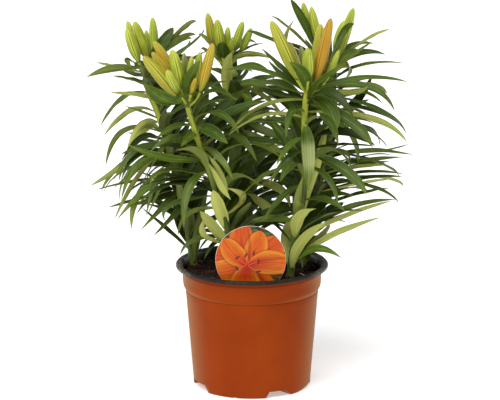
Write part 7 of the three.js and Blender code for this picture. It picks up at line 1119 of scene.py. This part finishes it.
def make_soil():
    b = Build()
    rs = np.concatenate([[0.0], np.linspace(2, 85.2, 52)])
    th = np.linspace(0, 2 * math.pi, 181)
    R, T = np.meshgrid(rs, th, indexing="ij")
    X, Y = R * np.sin(T), -R * np.cos(T)
    Z = soil_height(X, Y)
    uv = np.stack([0.25 + X / 85 * 0.24, 0.25 + Y / 85 * 0.24], -1)
    b.add(np.stack([X, Y, Z], -1), grid_faces(len(th), len(rs)), uv.reshape(-1, 2))
    # the hidden sides and underside
    prof = [(85.2, None), (84.9, 134), (81.8, 124), (72.0, 13.4), (71.0, 11.2), (46.0, 11.0), (45.8, 2.3), (0.5, 2.3)]
    rows = []
    for r, z in prof:
        rows.append(np.stack([r * np.sin(th), -r * np.cos(th), Z[-1] if z is None else np.full(len(th), float(z))], -1))
    uv = np.stack([np.tile(th / (2 * math.pi) * 0.98 + 0.01, len(prof)), np.repeat(np.linspace(0.99, 0.52, len(prof)), len(th))], 1)
    b.add(np.array(rows), grid_faces(len(th), len(prof)), uv)
    ride(b.object("soil_bed", [soil_mat("potting soil")]), "soil", "soil")

    # bark chips and crumbs lying on it
    c = Build()
    n = 1500
    faces = [(0, 1, 2, 3), (7, 6, 5, 4), (0, 4, 5, 1), (1, 5, 6, 2), (2, 6, 7, 3), (3, 7, 4, 0)]
    cube = np.array([[-1, -1, 1], [1, -1, 1], [1, 1, 1], [-1, 1, 1], [-1, -1, -1], [1, -1, -1], [1, 1, -1], [-1, 1, -1]], float)
    for i in range(n):
        r = 83.0 * math.sqrt(rng.random())
        a = rng.random() * 2 * math.pi
        x, y = r * math.sin(a), -r * math.cos(a)
        big = rng.random()
        s = np.array([1.0, 0.6, 0.35]) * (0.7 + 1.2 * rng.random() + (2.2 * rng.random() if big > 0.86 else 0))
        p = cube * s * (1 + 0.35 * (rng.random((8, 3)) - 0.5))
        m = rng.normal(size=(3, 3)) * np.array([[1, 1, 0.35], [1, 1, 0.35], [0.35, 0.35, 1]])
        q, _ = np.linalg.qr(m)
        p = p @ q.T
        z = float(soil_height(np.array(x), np.array(y))) + 0.15 + 0.3 * s[2]
        p = p + [x, y, z]
        over = np.hypot(p[:, 0], p[:, 1]).max()
        if over > 85.4:
            p[:, :2] *= 85.4 / over
        gx, gy = (i % 39) / 39, (i // 39) / 39
        uv = np.array([gx, gy]) + (np.array([[0.1, 0.1], [0.9, 0.1], [0.9, 0.9], [0.1, 0.9], [0.3, 0.3], [0.7, 0.3], [0.7, 0.7], [0.3, 0.7]]) / 39)
        c.add(p, faces, uv, tone=float(rng.random() ** 1.6))
    ride(c.object("soil_bark", [soil_mat("bark", True)], smooth=False), "soil", "soil")

    s = Build()
    pts = [[60, -26, 150.2], [64, -34, 150.6], [67, -41, 150.0]]
    P, R = smooth_path(pts, [0.55, 0.5, 0.4], 9)
    add_tube(s, P, R, 6)
    ride(s.object("soil_straw", [straw_mat()]), "soil", "soil")


# ------------------------------------------------------------------ label
def make_label():
    cx, cy, cz, R = LABEL
    TH = 0.9
    b = Build()
    rs = np.linspace(0, R - 0.25, 14)
    th = np.linspace(0, 2 * math.pi, 97)
    for side, mat in ((-1, 0), (1, 1)):
        RR, TT = np.meshgrid(rs, th, indexing="ij")
        X, Z = RR * np.cos(TT), RR * np.sin(TT)
        Y = np.full_like(X, side * TH / 2)
        # the card stays flat
        Y = Y + 0.0
        P = np.stack([cx + X, cy + Y, cz + Z], -1)
        uv = np.stack([(0.25 if side < 0 else 0.75) + X / R * 0.24, 0.25 + Z / R * 0.24], -1)
        b.add(P, grid_faces(len(th), len(rs), flip=side > 0), uv.reshape(-1, 2), mat=mat, lx=X / R, ly=Z / R)
    # rounded edge
    ring = []
    for a in np.linspace(-90, 90, 6):
        ra = R - 0.25 + 0.25 * math.cos(math.radians(a))
        ring.append(np.stack([cx + ra * np.cos(th), np.full(len(th), cy + TH / 2 * math.sin(math.radians(a))), cz + ra * np.sin(th)], -1))
    uv = np.stack([np.tile(th / (2 * math.pi) * 0.98 + 0.01, 6), np.repeat(np.linspace(0.52, 0.58, 6), len(th))], 1)
    b.add(np.array(ring), grid_faces(len(th), 6), uv, mat=1, lx=1.0, ly=0.0)
    # stake, hidden behind the rim and in the soil
    h, top, foot = 6.5, cz - 36, 84.0
    outline = [(-h, top), (-h * 0.8, foot + 16), (-0.8, foot), (0.8, foot), (h * 0.8, foot + 16), (h, top)]
    k = len(outline)
    fr = [[cx + x, cy - TH / 2 * 0.9, z] for x, z in outline] + [[cx + x, cy + TH / 2 * 0.9, z] for x, z in outline]
    faces = [tuple(range(k)), tuple(range(2 * k - 1, k - 1, -1))] + [(i, i + k, (i + 1) % k + k, (i + 1) % k) for i in range(k)]
    uv = [((x + 7) / 14 * 0.2 + 0.02 + (0.22 if i >= k else 0), 0.64 + (z - foot) / 80 * 0.34) for i, (x, z) in enumerate(outline * 2)]
    b.add(fr, faces, uv, mat=1, lx=1.0, ly=0.0)
    ob = b.object("label_card", [print_mat(), plain("label back", lin(236, 232, 222), 0.4)])
    for p in ob.data.polygons:
        if p.center[2] < (cz - 36.5) * MM:
            p.use_smooth = False
    ride(ob, "label_card", "plant_label")


# ------------------------------------------------------------------ buds
def plump(t):
    """Outline of a bud: full below the middle, drawn in gently towards a blunt tip."""
    t = np.clip(np.asarray(t, float), 0, 1)
    hi = (1 - 0.42 * (np.clip(t - 0.42, 0, 1) / 0.58) ** 2.0) * np.clip(1 - np.clip((t - 0.42) / 0.58, 0, 1) ** 7.0, 0, 1) ** 0.5
    lo = 1 - 0.72 * (np.clip(0.42 - t, 0, 1) / 0.42) ** 2.0
    out = np.where(t > 0.42, hi, lo)
    return np.where((t <= 0) | (t >= 1), 0, out)


FRONT = np.array([0.0, -0.96, 0.28])


def make_bud(row, mats):
    name, shoot, bx, by, bz, tx, ty, tz, w, ripe = row
    B, E = np.array([bx, by, bz]), np.array([tx, ty, tz])
    A = E - B
    length = np.linalg.norm(A)
    A /= length
    X = np.array([0, 0, 1.0]) - A * A[2]
    if np.linalg.norm(X) < 0.05:
        X = np.array([1.0, 0, 0]) - A * A[0]
    X /= np.linalg.norm(X)
    Y = np.cross(A, X)
    # a seam runs down the front of the bud, more or less off its middle
    turn = math.atan2(Y @ FRONT, X @ FRONT) + math.pi / 3 + math.radians(-42 + 84 * rng.random())
    n, m = 96, 44
    t = 0.5 - 0.5 * np.cos(np.linspace(0, math.pi, m))
    t = 0.55 * t + 0.45 * np.linspace(0, 1, m)
    a = turn + np.linspace(0, 2 * math.pi, n + 1)
    # 0 along the ridge of an outer tepal, 1 along the inner tepal's rib between two of them
    side = np.abs(np.round((a - turn) * 3 / math.pi + 1, 6) % 2 - 1)
    shape = plump(t)
    env = np.clip(np.sin(np.pi * np.clip(t, 0, 1)), 0, 1) ** 0.6
    ridge, seam = np.exp(-(side / 0.09) ** 2), np.exp(-((1 - side) / 0.07) ** 2)
    swell = 0.05 * np.cos(side * math.pi)
    r = (w / 2) * shape[:, None] * (0.985 + swell[None, :] * (0.4 + 0.6 * env[:, None]) + env[:, None] * (0.045 * ridge - 0.14 * seam)[None, :])
    bend = 0.03 * length * np.sin(np.pi * t) * (rng.random() - 0.5)
    P = B + A * (t * length)[:, None] + X * bend[:, None]
    ring = P[:, None] + X * (np.cos(a) * r)[:, :, None] + Y * (np.sin(a) * r)[:, :, None]
    uu, vv = np.tile((a - turn) / (2 * math.pi), m), np.repeat(t, n + 1)
    b = Build()
    b.add(ring, grid_faces(n + 1, m), np.stack([uu * 0.98 + 0.01, vv * 0.98 + 0.01], 1), u=uu, v=vv,
          side=np.tile(side, m), tone=float(rng.random() * 9))
    key = 1.2 if name == "bud_front_right_6" else round(ripe, 1)
    if key not in mats:
        mats[key] = bud_mat("bud skin %s" % key, max(ripe, key) if key > 1 else ripe)
    ride(b.object("skin_" + name, [mats[key]]), "buds", name)


def make_bulb(i):
    x, y, z = BULBS[i]
    b = Build()
    n, m = 48, 22
    t = np.linspace(0, 1, m)
    a = np.linspace(0, 2 * math.pi, n + 1)
    rad = np.interp(t, [0, 0.08, 0.25, 0.5, 0.72, 0.9, 1.0], [0.5, 10, 17, 19.4, 16, 8, 3.6])
    scale = 1 + 0.035 * np.abs(np.sin(4 * a[None, :] + 3.5 * t[:, None])) - 0.02
    hz = -19.6 + t * 40.0
    r = rad[:, None] * scale
    P = np.stack([x + r * np.sin(a), y - r * np.cos(a), z + np.repeat(hz[:, None], n + 1, 1)], -1)
    uv = np.stack([np.tile(a / (2 * math.pi), m) * 0.98 + 0.01, np.repeat(t, n + 1) * 0.98 + 0.01], 1)
    b.add(P, grid_faces(n + 1, m), uv, v=np.repeat(t, n + 1))
    return b.object("scales_" + SHOOTS[i], [BULB_MAT])


# ------------------------------------------------------------------ everything
LEAF_MAT, STEM_MAT, BULB_MAT = foliage("leaf blade"), stem_mat(), bulb_mat()
make_pot()
make_soil()
make_label()
bud_mats = {}
for row in BUDS:
    make_bud(row, bud_mats)
for i in range(5):
    ride(make_bulb(i), "bulb", "bulb_" + SHOOTS[i])

# stems with their flower stalks
for i, (points, radii) in enumerate(STEMS):
    b = Build()
    P, R = smooth_path(points, radii, 90)
    # slight swellings where leaves leave the stem
    R = R * (1 + 0.05 * np.sin(np.arange(len(R)) * 1.9) + 0.03 * np.sin(np.arange(len(R)) * 3.1))
    mine = [s for s in STALKS if s[0] == i]
    keep = P[:, 2] < max(s[1][0][2] for s in mine) + 2.0
    P, R = P[keep], R[keep]
    R[-3:] *= [0.96, 0.82, 0.45]
    add_tube(b, P, R, 14, (0.01, 0.01, 0.49, 0.99), height=P[:, 2])
    for j, (_, pp, rr) in enumerate(mine):
        Q, q = smooth_path(pp, rr, 14)
        k = len(mine)
        # painted light: the stalks are set 60 mm higher in the height attribute, so they take the stem's lightest
        # colour
        add_tube(b, Q, q, 10, (0.52, 0.01 + 0.98 * j / k, 0.99, 0.01 + 0.98 * (j + 0.92) / k), height=Q[:, 2] + 60)
    ride(b.object("stem_" + SHOOTS[i], [STEM_MAT]), "foliage", "leafy_stem_" + SHOOTS[i])

# leaves, in tiers up each shoot
count = [0] * 5
tiers = {}
for number, L in enumerate(LEAVES):
    rnd = rng.random(7)
    look = LOOKS.get(number)
    if number in SHIFTED:
        by = SHIFTED[number]
        L = L[:1] + [a + b for a, b in zip(L[1:10], by)] + [L[10] * by[9]] + L[11:]
    if L[14]:
        count[L[0]] += 1
        nm = "leaf_%s_%d" % (SHOOTS[L[0]], count[L[0]])
        b = Build()
        add_leaf(b, L, strips(2), rnd, look)
        ride(b.object("blade_" + nm[5:], [LEAF_MAT]), "foliage", nm)
    else:
        zs = sorted(l[3] for l in LEAVES if l[0] == L[0])
        tier = min(3, int(4 * sum(z < L[3] for z in zs) / len(zs)))
        tiers.setdefault((L[0], tier), []).append((L, rnd, look))
for (i, tier), rows in sorted(tiers.items()):
    b = Build()
    st = strips(2 * len(rows))
    for j, (L, rnd, look) in enumerate(rows):
        add_leaf(b, L, (st[2 * j], st[2 * j + 1]), rnd, look)
    ride(b.object("leaves_%s_%s" % (SHOOTS[i], "abcd"[tier]), [LEAF_MAT]), "foliage", "leafy_stem_" + SHOOTS[i])

# ------------------------------------------------------------------ stage, light and camera
fl = bpy.data.meshes.new("floor")
fl.from_pydata([(-6, -7, 0), (6, -7, 0), (6, 7, 0), (-6, 7, 0)], [], [(0, 1, 2, 3)])
fl.materials.append(floor_mat())
floor = bpy.data.objects.new("floor", fl)
bpy.context.scene.collection.objects.link(floor)
floor.location.z = -0.0004


def area(name, loc, target, size, power, colour=(1, 1, 1)):
    li = bpy.data.lights.new(name, "AREA")
    li.shape, li.size, li.energy, li.color = "DISK", size, power, colour
    ob = bpy.data.objects.new(name, li)
    ob.location = loc
    ob.rotation_mode = "QUATERNION"
    ob.rotation_quaternion = (Vector(target) - Vector(loc)).to_track_quat("-Z", "Y")
    bpy.context.scene.collection.objects.link(ob)


sun = bpy.data.lights.new("sky", "SUN")
sun.energy, sun.angle = 2.35, math.radians(45)
so = bpy.data.objects.new("sky", sun)
so.rotation_mode = "QUATERNION"
so.rotation_quaternion = Vector((0.14, 0.58, -1.0)).to_track_quat("-Z", "Y")
bpy.context.scene.collection.objects.link(so)
area("key", (-1.2, -1.9, 2.0), (0, 0, 0.3), 0.9, 16)
area("side_left", (-2.6, 1.4, 1.0), (0, 0, 0.2), 1.8, 24)
area("side_right", (2.6, 1.6, 1.0), (0, 0, 0.2), 1.8, 30)

scene = bpy.context.scene
world = bpy.data.worlds.new("studio")
scene.world = world
world.use_nodes = True
world.node_tree.nodes["Background"].inputs[0].default_value = (1, 1, 1, 1)
world.node_tree.nodes["Background"].inputs[1].default_value = 0.26
scene.view_settings.view_transform = "Standard"
scene.view_settings.look = "None"

cam = bpy.data.cameras.new("camera")
cam.lens, cam.sensor_width, cam.sensor_fit = 269.5, 36, "HORIZONTAL"
cam.clip_start, cam.clip_end = 0.1, 50
co = bpy.data.objects.new("camera", cam)
co.location = (-0.0025, -4.560, 1.377)
co.rotation_mode = "QUATERNION"
co.rotation_quaternion = (Vector((-0.0025, 0, 0.2384)) - Vector(co.location)).to_track_quat("-Z", "Y")
scene.collection.objects.link(co)
scene.camera = co
